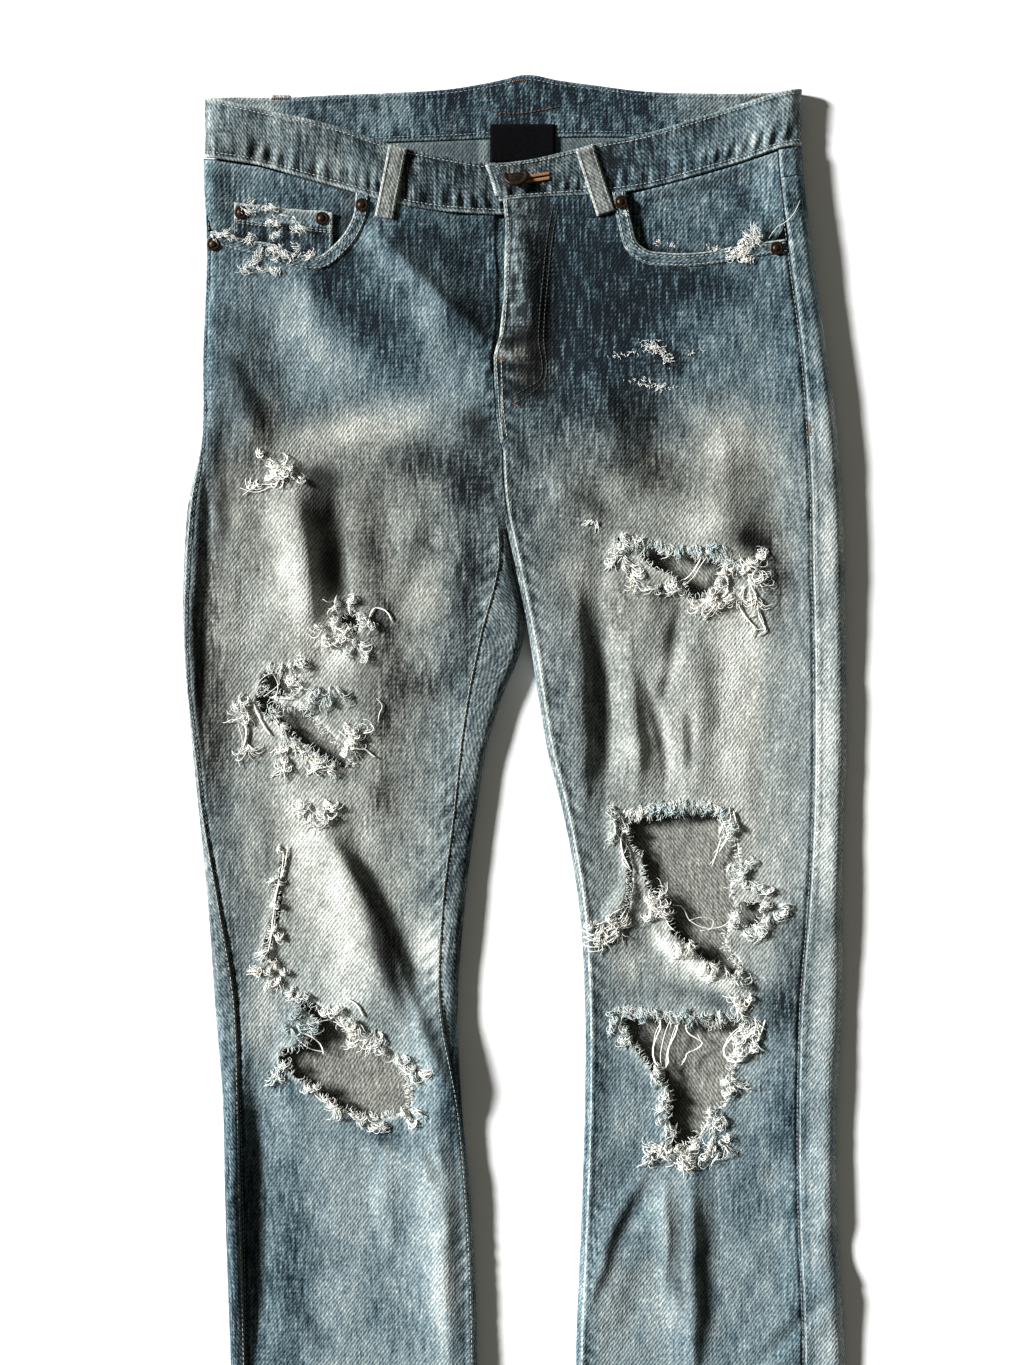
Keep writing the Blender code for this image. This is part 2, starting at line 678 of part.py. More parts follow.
def turned(name, profile, sides, place, tilt, finish):
    """A turned piece from (radius, height) pairs, from its foot to its top."""
    points, faces = [], []
    for radius, height in profile:
        for i in range(sides):
            a = 2.0 * math.pi * i / sides
            points.append((radius * math.cos(a), radius * math.sin(a), height))
    faces += gridFaces(len(profile), sides, wrap=True)
    faces.append(tuple(reversed(range(sides))))
    faces.append(tuple((len(profile) - 1) * sides + i for i in range(sides)))
    made = meshObject(name, points, faces, finish)
    made.location = place
    made.rotation_euler = tilt
    tidyNormals(made)
    made.data.shade_smooth()
    made.data.set_sharp_from_angle(angle=math.radians(40.0))
    return made


def stripBetween(start, end, width, along, across):
    """Plan grid of a straight strip from start to end, both in metres."""
    start, end = np.array(start), np.array(end)
    direction = (end - start) / np.linalg.norm(end - start)
    normal = np.array([-direction[1], direction[0]])
    t, s = np.meshgrid(np.linspace(0, 1, along), np.linspace(-0.5, 0.5, across), indexing="ij")
    plan = start + (end - start) * t[..., None] + normal * (s * width)[..., None]
    return plan[..., 0], plan[..., 1]


def makeFacing(leg, tree, finish):
    """Pocket facing: meets the outseam above the pocket mouth, runs in under the lip."""
    side = sideNames[leg]
    inner = -98.0 if leg == "right" else 64.0
    levels = np.array([sideLevel(leg) - 1.0, 466.0, 449.0, 434.0, 420.0, 403.0, 386.0])
    spread = np.array([0.0, 0.06, 0.16, 0.4, 0.7, 1.0])
    xs, ys, zs = [], [], []
    for level in levels:
        outseam = float(legEdge(leg, "outseam", level)) - side * seamGap / mm / 2
        start = outseam - side * (0.0 if level > 445.0 else 6.0 if level > 430.0 else 12.0)
        x = start + (inner - start) * spread
        y = level + rowShift(leg, x, level, frontWaistSeam[leg], sideLevel(leg), levels[0] + 1.0)
        inside = (outseam - x) * side
        sunk = np.maximum(smooth(inside, 1.0, 22.0), smooth(y, 446.0, 434.0) if leg == "right"
                          else smooth(y, 442.0, 430.0))
        depth = (clothThickness + layerGap) * 2 / mm * sunk
        xs.append(x)
        ys.append(y)
        zs.append(topHeight(leg, x, y) - depth)
    xs, ys, zs = (np.array(a) for a in (xs, ys, zs))
    outer = np.stack([xs, ys, zs], axis=-1) * mm
    made = wall("pocket_facing_" + leg, outer, topNormal(leg, xs, ys), clothThickness,
                leg == "right", finish)
    return made, outer.reshape(-1, 3), xs.shape


def makeCoinPocket(facingTree, finish):
    left, right, bottom = -196.0, -127.5, 398.0
    s, t = np.meshgrid(np.linspace(0, 1, 6), np.linspace(0, 1, 7), indexing="ij")
    topLine = 449.5 - 7.0 * t
    xs = (left + (right - left) * t) * mm
    ys = (topLine + (bottom - topLine) * s) * mm
    under = np.array([[heightOn(facingTree, *p) for p in zip(*row)] for row in zip(xs, ys)])
    under += layerGap
    made = slab("coin_pocket", xs[::-1], ys[::-1], under[::-1], 1.0 * mm, finish)
    return made, np.stack([xs, ys, under + 1.0 * mm], -1).reshape(-1, 3), xs.shape


def makeShield(finish):
    """The strip behind the fly."""
    top, bottom = 439.0, 352.0
    s, t = np.meshgrid(np.linspace(0, 1, 7), np.linspace(0, 1, 4), indexing="ij")
    xs = (-30.0 + 42.0 * t)
    ys = (top + (bottom - top) * s)
    under = topHeight("left", np.full(xs.shape, -6.0), ys) - flyDrop - 1.2 - 0.6 - 1.2 - 0.3
    return slab("fly_shield", xs[::-1] * mm, ys[::-1] * mm, under[::-1] * mm, clothThickness, finish)


def makeHem(leg, finish):
    """The turned-up allowance inside the leg opening: a closed ring, one layer in."""
    rings = []
    for depth in (hemDepth, hemDepth * 0.5, 0.5):
        level = hemLevel + depth
        back = backStations(leg, level, backSeams(leg)[1], level, sideLevel(leg))
        front = frontStations(leg, level, sideLevel(leg))
        points, normals = (
            np.concatenate([b, f[-2:0:-1]]) for b, f in zip(back, front)
        )
        outer = points - normals * (clothThickness + layerGap)
        rings.append((outer, outer - normals * clothThickness))
    sides, layers = len(rings[0][0]), len(rings)
    points = np.concatenate([ring[0] for ring in rings] + [ring[1] for ring in reversed(rings)])
    faces = []
    for layer in range(2 * layers):
        after = (layer + 1) % (2 * layers)
        for j in range(sides):
            k = (j + 1) % sides
            faces.append((layer * sides + j, layer * sides + k, after * sides + k, after * sides + j))
    made = meshObject("hem_" + leg, points, faces, finish)
    tidyNormals(made)
    return made


def makeBackPocket(leg, finish):
    """Plain patch pocket under the seat, on the floor side."""
    side = sideNames[leg]
    x = centreLine + side * 98.0
    half, top, bottom, point = 68.0, 432.0, 305.0, 288.0
    s, t = np.meshgrid(np.linspace(0, 1, 3), np.linspace(-1, 1, 3), indexing="ij")
    xs = (x + half * t * (1.0 - 0.12 * s)) * mm
    ys = (top + 6.0 * side * t * (1.0 - s)
          + (np.where(t == 0.0, point, bottom) - top) * s) * mm
    under = np.zeros(xs.shape)
    return slab("back_pocket_" + leg, xs[::-1], ys[::-1], under, clothThickness, finish)


def build():
    clearScene()
    denim = material("washed_denim", (0.42, 0.50, 0.56), 0.9)
    denimBack = material("denim_back_panel", (0.33, 0.42, 0.50), 0.9)
    denimDark = material("denim_pocket", (0.26, 0.36, 0.45), 0.9)
    cotton = material("pale_cotton", (0.75, 0.73, 0.66), 0.95)
    metal = material("antique_brown_metal", (0.11, 0.07, 0.05), 0.45, 1.0)
    black = material("label_cloth", (0.02, 0.02, 0.022), 0.8)

    fronts, grids = {}, []
    for leg in sideNames:
        panel, points, shape = makeFront(leg, denim)
        fronts[leg] = panel
        grids.append((points, shape))
        makeBack(leg, denimBack)
        makeYoke(leg, denimBack)
    band = makeBand(denimBack)
    bpy.context.view_layer.update()
    frontTree = surfaceTree(grids)
    bandTree = BVHTree.FromObject(band, bpy.context.evaluated_depsgraph_get())

    for leg, panel in fronts.items():
        lip = list(pocketLip[leg])
        far = -260.0 if leg == "right" else 260.0
        mouth = lip + [(far, lip[-1][1]), (far, 540.0), (lip[0][0], 540.0)]
        outlines = [mouth]
        for row in ripRows:
            rip = dict(zip(ripColumns, row))
            if rip["leg"] == leg:
                outlines.append(ripOutline(rip["x"], rip["y"], rip["reach"]))
        cut(panel, prism("cutter_front_" + leg, outlines))

    for row in ripRows + wornRows:
        name, leg, x, y, reach = row
        if name not in bareRips:
            makeFray(name, x, y, reach, frontTree, cotton, row in wornRows)

    facingTrees = {}
    for leg in sideNames:
        made, points, shape = makeFacing(leg, frontTree, denimDark)
        facingTrees[leg] = surfaceTree([(points, shape)])
        makeHem(leg, denim)
        makeBackPocket(leg, denimBack)
    coin, coinPoints, coinShape = makeCoinPocket(facingTrees["right"], denimDark)
    coinTree = surfaceTree([(coinPoints, coinShape)])
    makeShield(denimDark)

    def upper(x, y):
        return max(heightOn(frontTree, x, y), heightOn(bandTree, x, y))

    for leg, (x0, y0, x1, y1) in frontLoops.items():
        xs, ys = stripBetween((x0 * mm, y0 * mm), (x1 * mm, y1 * mm), beltLoopWidth * mm, 9, 3)
        under = np.array([[upper(*p) for p in zip(*row)] for row in zip(xs, ys)])
        under = np.maximum(under, under.max(axis=1, keepdims=True) - 0.2 * mm) + layerGap
        slab("belt_loop_front_" + leg, xs, ys, under, loopThickness, denim)
    for place, x in backLoops.items():
        xs, ys = stripBetween((x * mm, 0.487), (x * mm, 0.527), beltLoopWidth * mm, 3, 3)
        slab("belt_loop_back_" + place, xs, ys, np.zeros(xs.shape), clothThickness, denimBack)

    rivetProfile = ((rivetRadius * 0.75, 0.0), (rivetRadius, 0.25), (rivetRadius, 0.9),
                    (rivetRadius * 0.82, 1.5), (rivetRadius * 0.4, rivetHeight))
    rivetProfile = [(r * mm, h * mm) for r, h in rivetProfile]
    for number, (leg, x, y, carrier) in enumerate(rivetPlaces, start=1):
        tree = coinTree if carrier == "coin" else frontTree
        ring = [heightOn(tree, (x + 4.0 * math.cos(a)) * mm, (y + 4.0 * math.sin(a)) * mm)
                for a in np.arange(8) * math.pi / 4.0]
        place = (x * mm, y * mm, max(ring) + seamGap)
        turned(f"rivet_{number}", rivetProfile, 12, place, (0.0, 0.0, 0.0), metal)

    bx, by = buttonPlace
    flap = heightOn(bandTree, bx * mm, by * mm)
    shankFoot = flap - bandThickness - flyDrop * mm + bandThickness + seamGap
    profile = ((2.4, 0.0), (2.4, 4.4), (buttonRadius * 0.92, 4.6), (buttonRadius, 5.4),
               (buttonRadius, 6.4), (buttonRadius * 0.9, 7.2), (buttonRadius * 0.6, 6.9))
    turned("waist_button", [(r * mm, h * mm) for r, h in profile], 20,
           (bx * mm, by * mm, shankFoot), (0.0, 0.0, 0.0), metal)
    slot = [(bx - 4.0, by - 3.4), (bx + 22.0, by - 2.4), (bx + 22.0, by + 2.4), (bx - 4.0, by + 3.4)]
    cut(band, prism("cutter_buttonhole", [slot], low=flap / mm - bandThickness / mm - 0.25))

    lx, ly = np.meshgrid(np.linspace(-17.5, 28.0, 3) * mm, np.linspace(479.0, 506.0, 3) * mm, indexing="ij")
    slab("label", lx, ly, np.full(lx.shape, seatLift * mm + bandThickness + 0.4 * mm), 0.6 * mm, black)


build()
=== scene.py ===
import math

import bpy
import numpy as np
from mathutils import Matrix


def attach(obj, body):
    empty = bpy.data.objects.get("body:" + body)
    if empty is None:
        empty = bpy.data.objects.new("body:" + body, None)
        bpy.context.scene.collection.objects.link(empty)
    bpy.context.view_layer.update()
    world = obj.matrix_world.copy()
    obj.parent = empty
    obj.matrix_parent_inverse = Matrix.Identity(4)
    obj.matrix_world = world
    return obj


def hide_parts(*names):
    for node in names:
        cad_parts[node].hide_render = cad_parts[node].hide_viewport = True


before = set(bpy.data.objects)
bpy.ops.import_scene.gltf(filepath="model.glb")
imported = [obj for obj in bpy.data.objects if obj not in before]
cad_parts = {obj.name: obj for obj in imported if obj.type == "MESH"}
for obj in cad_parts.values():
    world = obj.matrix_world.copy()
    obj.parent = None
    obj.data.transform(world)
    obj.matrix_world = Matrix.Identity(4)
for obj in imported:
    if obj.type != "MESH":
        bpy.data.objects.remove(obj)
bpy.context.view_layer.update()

mm = 0.001

view = dict(place=(-0.0021, 0.1141, 2.0), lens=75.0, sensor=36.0)
light = dict(travel=(0.86, -0.25, -0.42), spread=0.18, strength=10.6,
             sky=(0.112, 0.109, 0.094), floorTone=0.92)


def makeStudio():
    # camera straight above, one low sun from the wearer's right and a weak even sky
    scene = bpy.context.scene
    camera = bpy.data.objects.new("camera", bpy.data.cameras.new("camera"))
    camera.location = view["place"]
    camera.data.sensor_fit = "VERTICAL"
    camera.data.sensor_height = view["sensor"]
    camera.data.lens = view["lens"]
    scene.collection.objects.link(camera)
    scene.camera = camera
    sun = bpy.data.objects.new("sun", bpy.data.lights.new("sun", "SUN"))
    sun.data.energy = light["strength"]
    sun.data.angle = light["spread"]
    x, y, z = light["travel"]
    # a sun shines along its own -Z: tilt it back from straight down, then turn it
    sun.rotation_euler = (0.0, math.atan2(math.hypot(x, y), -z), math.atan2(-y, -x))
    scene.collection.objects.link(sun)
    world = bpy.data.worlds.new("studio")
    world.use_nodes = True
    world.node_tree.nodes["Background"].inputs["Color"].default_value = (*light["sky"], 1.0)
    scene.world = world
    scene.view_settings.view_transform = "Standard"
    scene.view_settings.look = "None"


makeStudio()

# The garment's own sizes.
clothThickness = 1.2
bandThickness = 2.4
seamGap = 0.3
layerGap = 0.6
hemLevel = -540.0
crotchLevel = 280.0
fullWallLevel = crotchLevel - 9.0
centreLine = -11.0
seatLift = 1.5
flyDrop = 2.9
flyGap = 5.5
flyBottom = 345.0
sideNames = {"right": -1, "left": 1}

legColumns = ("y", "outer", "outseam", "inseam", "inner")
legRows = {
    "right": (
        (545, -217.5, -216.3, -12.5, -11.5),
        (485, -218.5, -217.3, -12.5, -11.5),
        (415, -216.0, -214.8, -12.5, -11.5),
        (345, -218.5, -217.3, -12.5, -11.5),
        (280, -220.0, -218.8, -13.0, -11.5),
        (240, -229.0, -225.0, -12.0, -10.0),
        (200, -232.0, -228.5, -10.0, -2.5),
        (145, -232.5, -230.5, -23.0, 6.0),
        (100, -229.5, -228.0, -32.0, -10.5),
        (65, -226.0, -223.0, -37.0, -20.5),
        (30, -222.5, -219.0, -40.5, -26.0),
        (-40, -215.5, -207.0, -49.0, -35.0),
        (-110, -210.5, -196.0, -51.5, -40.0),
        (-180, -205.0, -193.5, -39.5, -37.5),
        (-250, -203.5, -192.0, -33.0, -31.0),
        (-365, -199.5, -189.0, -28.5, -26.5),
        (-545, -194.0, -185.5, -36.0, -34.0),
    ),
    "left": (
        (545, 199.5, 182.5, -9.5, -10.5),
        (485, 201.0, 184.0, -9.5, -10.5),
        (415, 208.5, 192.0, -9.5, -10.5),
        (345, 218.5, 201.0, -9.5, -10.5),
        (280, 226.5, 206.0, -8.5, -10.3),
        (240, 229.5, 208.0, -6.0, -8.7),
        (200, 231.0, 208.5, 2.0, -1.2),
        (145, 232.0, 210.0, 13.0, 10.0),
        (100, 232.5, 210.5, 20.0, 17.0),
        (65, 232.5, 210.5, 26.0, 23.0),
        (30, 231.0, 210.0, 35.0, 32.0),
        (-40, 229.5, 206.5, 47.5, 44.5),
        (-110, 229.5, 201.0, 52.0, 49.0),
        (-180, 226.0, 199.0, 52.0, 49.0),
        (-250, 225.5, 199.5, 50.0, 47.0),
        (-365, 231.5, 203.0, 45.5, 42.5),
        (-545, 214.0, 189.5, 49.0, 46.0),
    ),
}
heightColumns = ("y", "edge", "middle", "floor")
heightRows = (
    (545, 14.5, 13.2, 1.5), (440, 15.5, 13.8, 1.5), (340, 15.0, 13.0, 1.5),
    (280, 13.5, 11.5, 1.2), (230, 12.5, 9.5, 0.0), (145, 11.5, 8.0, 0.0),
    (0, 10.5, 7.0, 0.0), (-150, 10.5, 7.0, 0.0), (-300, 9.5, 6.5, 0.0),
    (-450, 9.5, 7.5, 0.0), (-545, 11.4, 10.8, 0.0),
)

# Folds: a centre line that bows sideways, its height (a trough where negative), and
# how far it reaches to -X and to +X. The first block is the form of the solids.
# Each row: x0, y0, x1, y1, bow, height, reach to -X, reach to +X.
foldRows = {
    "right": (
        (-215, 280, -214, 95, 0, -4.5, 6, 9), (-200, 270, -205, 100, 0, 3.0, 10, 16),
        (-205, 395, -160, 265, 0, 3.5, 30, 16), (-158, 262, -146, 130, 0, 4.0, 28, 20),
        (-112, 250, -125, 125, 0, -2.5, 16, 20), (-135, 10, -72, -120, 8, 7.0, 32, 7),
        (-66, -98, -38, -190, 4, 4.5, 16, 8), (-178, -150, -182, -420, 0, -3.5, 10, 16),
        (-60, -180, -44, -400, 3, 3.5, 26, 12), (-90, 440, -22, 360, 0, 2.5, 22, 16),
        (-40, 285, -56, 110, 3, 2.2, 14, 14),
    ),
    "left": (
        (2, 440, 14, 335, 0, 3.0, 8, 14), (30, 262, 98, 215, 0, 3.5, 16, 14),
        (58, 205, 66, 30, 0, -4.0, 14, 12), (84, 200, 92, 20, 0, 3.5, 14, 22),
        (84, 118, 108, 30, 0, -2.8, 9, 10), (118, 140, 126, 30, 0, 3.0, 10, 14),
        (170, 285, 182, 190, 0, -2.5, 16, 16), (112, -240, 54, -350, -6, 3.2, 14, 16),
        (112, -242, 124, -380, 2, 3.4, 10, 14), (226, -290, 165, -400, 4, 3.0, 16, 14),
        (178, -50, 190, -210, 4, 2.2, 16, 18),
    ),
}
creaseRows = {
    "right": (
        (-222, 388, -172, 272, 0, 3.2, 14, 8), (-204, 300, -203, 200, 0, -3.2, 6, 9),
        (-221, 190, -219, 60, 0, -2.6, 4, 6), (-161, 270, -141, 148, 3, 5.2, 24, 9),
        (-126, 246, -122, 168, 0, -3.0, 10, 8), (-106, 440, -44, 374, 0, 3.0, 12, 6),
        (-60, 392, -14, 350, 0, 3.2, 14, 6), (-150, 408, -80, 345, 0, -2.2, 12, 12),
        (-100, 262, -42, 286, 0, -1.6, 9, 9), (-62, 245, -92, 160, 0, 2.0, 9, 8),
        (-44, 240, -36, 110, 3, 1.4, 8, 8), (-137, 14, -80, -114, 6, 2.2, 12, 5),
        (-120, 60, -98, -70, 4, -1.2, 14, 12), (-76, -100, -46, -176, 4, 2.0, 8, 5),
        (-196, 60, -170, -40, 3, 1.0, 10, 8), (-200, -40, -190, -140, 2, -1.2, 8, 9),
        (-198, -148, -196, -376, 0, 3.4, 5, 6), (-184, -152, -181, -376, 0, -2.8, 7, 9),
        (-54, -190, -46, -376, 0, 1.8, 14, 6), (-90, -210, -88, -300, 0, 1.6, 8, 7),
        (-166, -308, -118, -362, 0, -1.3, 8, 8), (-98, -199, -76, -219, 0, -1.9, 3, 3),
        (-66, -210, -48, -246, 0, -1.6, 4, 4), (-150, -400, -140, -520, -4, 1.4, 12, 10),
        (-88, -400, -110, -530, 5, 1.6, 12, 10),
    ),
    "left": (
        (4, 450, 9, 350, 0, 2.8, 8, 9), (-8, 352, 22, 354, 0, -1.8, 3, 3),
        (-6, 343, 18, 345, 0, 1.4, 3, 3), (-4, 331, 17, 334, 0, 1.2, 3, 3),
        (-4, 337, 17, 339, 0, -0.8, 2, 2), (58, 335, 78, 243, 0, 3.6, 16, 9),
        (98, 322, 96, 244, 0, -2.0, 9, 10), (142, 302, 150, 222, 0, 2.6, 16, 9),
        (16, 264, 66, 216, 0, 3.4, 12, 7), (160, 224, 180, 204, 0, -2.6, 8, 8),
        (44, 188, 50, 22, 0, 4.2, 14, 7), (62, 190, 66, 25, 0, -1.6, 7, 4),
        (80, 152, 88, 26, 0, 3.2, 9, 5), (91, 118, 108, 40, 2, -3.0, 4, 4),
        (116, 166, 107, 116, 0, -2.6, 5, 5), (110, 126, 101, 97, 0, -1.6, 3, 3),
        (120, 100, 124, 42, 0, -2.2, 3, 4), (128, 160, 136, 60, -3, 1.3, 8, 8),
        (97, -56, 116, -86, 0, 2.6, 7, 5), (112, -82, 172, -108, 3, 3.2, 9, 5),
        (65, 24, 80, -14, 0, 2.4, 7, 4), (80, -10, 54, -64, 3, 2.6, 4, 7),
        (92, -226, 50, -336, -8, 3.4, 10, 6), (106, -234, 107, -316, 0, 2.8, 8, 4),
        (124, -220, 126, -376, 0, 3.8, 8, 6), (228, -302, 166, -366, 0, -2.6, 5, 4),
        (222, -262, 220, -304, 0, -2.0, 4, 4), (196, 120, 188, -60, -4, 1.3, 12, 10),
        (158, 150, 172, 20, 3, -1.4, 12, 14), (60, -70, 66, -200, 2, -1.3, 8, 12),
        (80, -400, 96, -520, 4, 1.8, 12, 9), (150, -400, 172, -530, 3, -1.6, 12, 10),
    ),
}
# Painted shade in and beside the folds, and on negative rows a painted highlight on worn ridges:
# the same kind of row, its height how dark.
paintedShadeRows = {
    "right": (
        (-214, 358, -164, 274, 4, 0.72, 14, 6), (-207, 335, -203, 200, 0, 0.50, 8, 9),
        (-223, 205, -221, 40, 0, 0.62, 6, 9), (-138, 272, -127, 164, 0, 0.72, 14, 14),
        (-141, 272, -134, 222, 0, 0.60, 11, 13), (-130, 214, -124, 152, 0, 0.42, 9, 8),
        (-205, 268, -204, 176, 0, 0.42, 7, 6), (-99, 434, -48, 380, 0, 0.62, 2.5, 13),
        (-58, 392, -8, 346, 0, 0.80, 3, 18), (-206, 380, -176, 348, 0, 0.42, 9, 6),
        (-104, 256, -40, 284, 0, 0.30, 9, 9), (-40, 308, -18, 286, 0, 0.40, 8, 8),
        (-27, 310, -21, 268, 0, 0.55, 12, 9), (-129, 12, -79, -114, 5, 0.80, 3, 12),
        (-104, 262, -100, 150, 0, 0.25, 14, 14), (-108, 176, -105, 92, 0, 0.50, 6, 9),
        (-150, 262, -112, 254, 0, 0.45, 8, 10), (-108, -36, -76, -128, 0, 0.70, 4, 8),
        (-73, -100, -44, -180, 2, 0.85, 4, 9), (-44, -160, -38, -376, 0, 0.45, 6, 7),
        (-186, -155, -184, -376, 0, 0.62, 10, 12), (-166, -308, -118, -362, 0, 0.22, 7, 7),
        (-98, -199, -76, -219, 0, 0.55, 3, 3), (-66, -210, -48, -246, 0, 0.40, 4, 4),
    ),
    "left": (
        (1, 300, 6, 264, 0, 0.55, 6, 6), (97, -56, 116, -86, 0, -0.25, 5, 4),
        (112, -82, 172, -108, 3, -0.22, 7, 4), (66, 22, 80, -14, 0, -0.5, 5, 3),
        (80, -12, 56, -62, 3, -0.6, 3, 5), (86, -30, 70, -70, 0, 0.40, 9, 6),
        (96, -96, 120, -112, 0, 0.30, 6, 8), (120, -110, 172, -116, 0, 0.45, 3, 4),
        (22, 446, 17, 322, 0, 0.62, 8, 12), (-22, 354, 32, 357, 0, 0.95, 5, 4),
        (18, 384, 19, 306, 0, 0.95, 7, 3), (-18, 316, 26, 319, 0, 0.80, 4, 4),
        (-16, 332, 22, 335, 0, 0.50, 2.5, 2.5), (4, 366, 4, 296, 0, 0.34, 12, 12),
        (60, 402, 85, 350, 0, 0.35, 26, 22), (80, 338, 98, 244, 0, 0.52, 15, 13),
        (166, 284, 174, 206, 0, 0.38, 14, 12), (32, 258, 76, 222, 0, 0.55, 6, 7),
        (150, 222, 186, 206, 0, 0.62, 8, 8), (54, 212, 60, 24, 0, 0.68, 8, 8),
        (128, 216, 186, 209, 0, 0.5, 7, 8), (90, 120, 107, 40, 2, 0.62, 4, 4),
        (116, 166, 107, 116, 0, 0.55, 5, 4), (110, 126, 101, 97, 0, 0.35, 3, 3),
        (120, 100, 124, 42, 0, 0.50, 3, 3), (96, -226, 56, -336, -8, 0.66, 4, 7),
        (113, -236, 116, -350, 0, 0.66, 5, 6), (136, -212, 133, -376, 0, 0.66, 8, 7),
        (228, -302, 166, -366, 0, 0.50, 4, 4), (222, -262, 220, -304, 0, 0.40, 4, 4),
    ),
}

frontWaistSeam = {
    "right": ((-222, 481), (-178, 475), (-150, 467), (-122, 459), (-91, 450),
              (-66, 445), (-38, 441), (-8, 441)),
    "left": ((-24, 450), (17, 453), (60, 455), (88, 458), (130, 469), (157, 477),
             (184, 486), (206, 490)),
}
backWaistSeam = {
    "right": ((-222, 481), (-150, 489), (-87, 493), (-11, 496)),
    "left": ((-11, 496), (60, 497), (130, 495), (206, 490)),
}
yokeSideDrop = 20.0
yokeCentreDrop = 55.0
bandColumns = ("face", "x", "lower", "upper", "drop")
bandRows = (
    ("front", 30, 443.0, 480.0, 2.9), ("front", 4, 441.5, 478.5, 2.9),
    ("front", -22, 441.5, 478.0, 2.9), ("front", -45, 442.9, 481.5, 1.0),
    ("front", -66, 445.3, 485.5, 0.0), ("front", -91, 450.3, 491.8, 0.0),
    ("front", -122, 459.3, 502.3, 0.0), ("front", -150, 467.3, 509.3, 0.0),
    ("front", -178, 475.3, 515.0, 0.0), ("front", -200, 478.8, 520.0, 0.0),
    ("roll", -217.5, 481.4, 524.0, 0.0), ("back", -200, 483.6, 525.0, 0.0),
    ("back", -164, 487.6, 525.0, 0.0), ("back", -122, 491.2, 527.0, 0.0),
    ("back", -87, 493.4, 528.3, 0.0), ("back", -45, 494.8, 531.0, 0.0),
    ("back", -11, 496.3, 537.0, 0.0), ("back", 7, 496.6, 541.0, 0.0),
    ("back", 31, 496.9, 537.0, 0.0), ("back", 60, 497.3, 533.0, 0.0),
    ("back", 88, 496.8, 529.5, 0.0), ("back", 130, 495.3, 528.0, 0.0),
    ("back", 165, 493.0, 528.0, 0.0), ("back", 187, 491.6, 529.0, 0.0),
    ("roll", 200.5, 490.4, 530.0, 0.0), ("front", 184, 486.6, 526.5, 0.0),
    ("front", 157, 477.3, 518.0, 0.0), ("front", 130, 469.3, 509.5, 0.0),
    ("front", 88, 458.3, 497.0, 0.0), ("front", 60, 455.3, 491.5, 0.0),
    ("front", 38, 454.1, 486.0, 0.0), ("front", 10, 452.7, 479.5, 0.0),
    ("front", -10, 451.0, 477.0, 0.0), ("front", -21, 450.4, 476.5, 0.0),
)
flyEdge = ((-8.5, 452), (-7, 436), (-8, 384), (-11, 357), (-15, 343), (-14.5, 325),
           (-13, 300), (-10.6, 284))
pocketLip = {
    "right": ((-110.5, 474), (-110.5, 453), (-112, 441), (-117, 430), (-126, 419),
              (-136, 411.5), (-150, 412), (-171, 420), (-189, 423), (-203, 427),
              (-232, 430)),
    "left": ((76, 475), (77, 453), (81, 434), (85, 421), (92, 415.5), (104, 413.5),
             (128, 413.5), (145, 416), (162, 419), (188, 422.5), (230, 424)),
}

# The torn openings, as closed outlines.
ripOutlines = {
    "knee_right": ("right", (
        (-157, -102), (-145, -108), (-132, -116), (-119, -126), (-100, -139), (-85, -150),
        (-76, -160), (-73, -171), (-74, -184), (-82, -188), (-103, -191), (-122, -185),
        (-135, -176), (-148, -166), (-157, -160), (-165, -150), (-162, -143), (-148, -139),
        (-138, -127), (-145, -118), (-154, -110))),
    "shin_right": ("right", (
        (-162, -8), (-166, -20), (-169, -30), (-167, -38), (-169, -48), (-173, -62),
        (-177, -78), (-173, -80), (-170, -66), (-166, -52), (-163, -38), (-165, -28),
        (-162, -18), (-159, -8))),
    "thigh_right": ("right", (
        (-181, 102), (-177, 109), (-164, 98), (-150, 97), (-143, 91), (-133, 81), (-126, 75),
        (-119, 68), (-113, 58), (-119, 54), (-133, 60), (-147, 70), (-157, 77), (-168, 86),
        (-177, 93))),
    "web_right": ("right", (
        (-177, 119), (-168, 122), (-157, 120), (-150, 114), (-153, 107), (-164, 105),
        (-175, 109))),
    "curl_right": ("right", (
        (-121, 161), (-116, 165), (-110, 163), (-108, 156), (-112, 150), (-118, 150),
        (-122, 155))),
    "thigh_left": ("left", (
        (90, 212), (106, 208), (115, 204), (130, 204), (143, 200), (146, 194), (144, 185),
        (139, 178), (133, 174), (124, 173), (117, 177), (120, 181), (113, 185), (106, 191),
        (98, 193), (90, 200), (86, 206))),
    "slit_left": ("left", (
        (69, 214), (76, 216), (87, 213), (86, 210), (77, 211), (70, 211))),
    "knee_left": ("left", (
        (79, 16), (90, 19), (107, 23), (121, 25), (137, 26), (146, 22), (153, 10), (157, -8),
        (157, -22), (151, -29), (155, -47), (149, -61), (148, -72), (157, -83), (155, -93),
        (142, -87), (132, -81), (121, -70), (110, -61), (103, -43), (94, -31), (89, -18),
        (89, -10), (80, 1))),
    "tear_left": ("left", (
        (66, 26), (73, 8), (78, -12), (78, -32), (73, -49), (66, -58), (68, -61), (76, -53),
        (82, -35), (82, -14), (77, 7), (69, 27))),
    "hole_left": ("left", (
        (156, -44), (163, -38), (171, -40), (175, -48), (170, -56), (162, -58), (156, -52))),
    "shin_left": ("left", (
        (74, -122), (85, -119), (103, -120), (132, -119), (157, -121), (171, -125),
        (167, -140), (155, -152), (151, -165), (148, -179), (139, -186), (133, -197),
        (121, -211), (108, -215), (112, -202), (107, -190), (110, -174), (98, -160),
        (85, -143), (76, -131))),
}


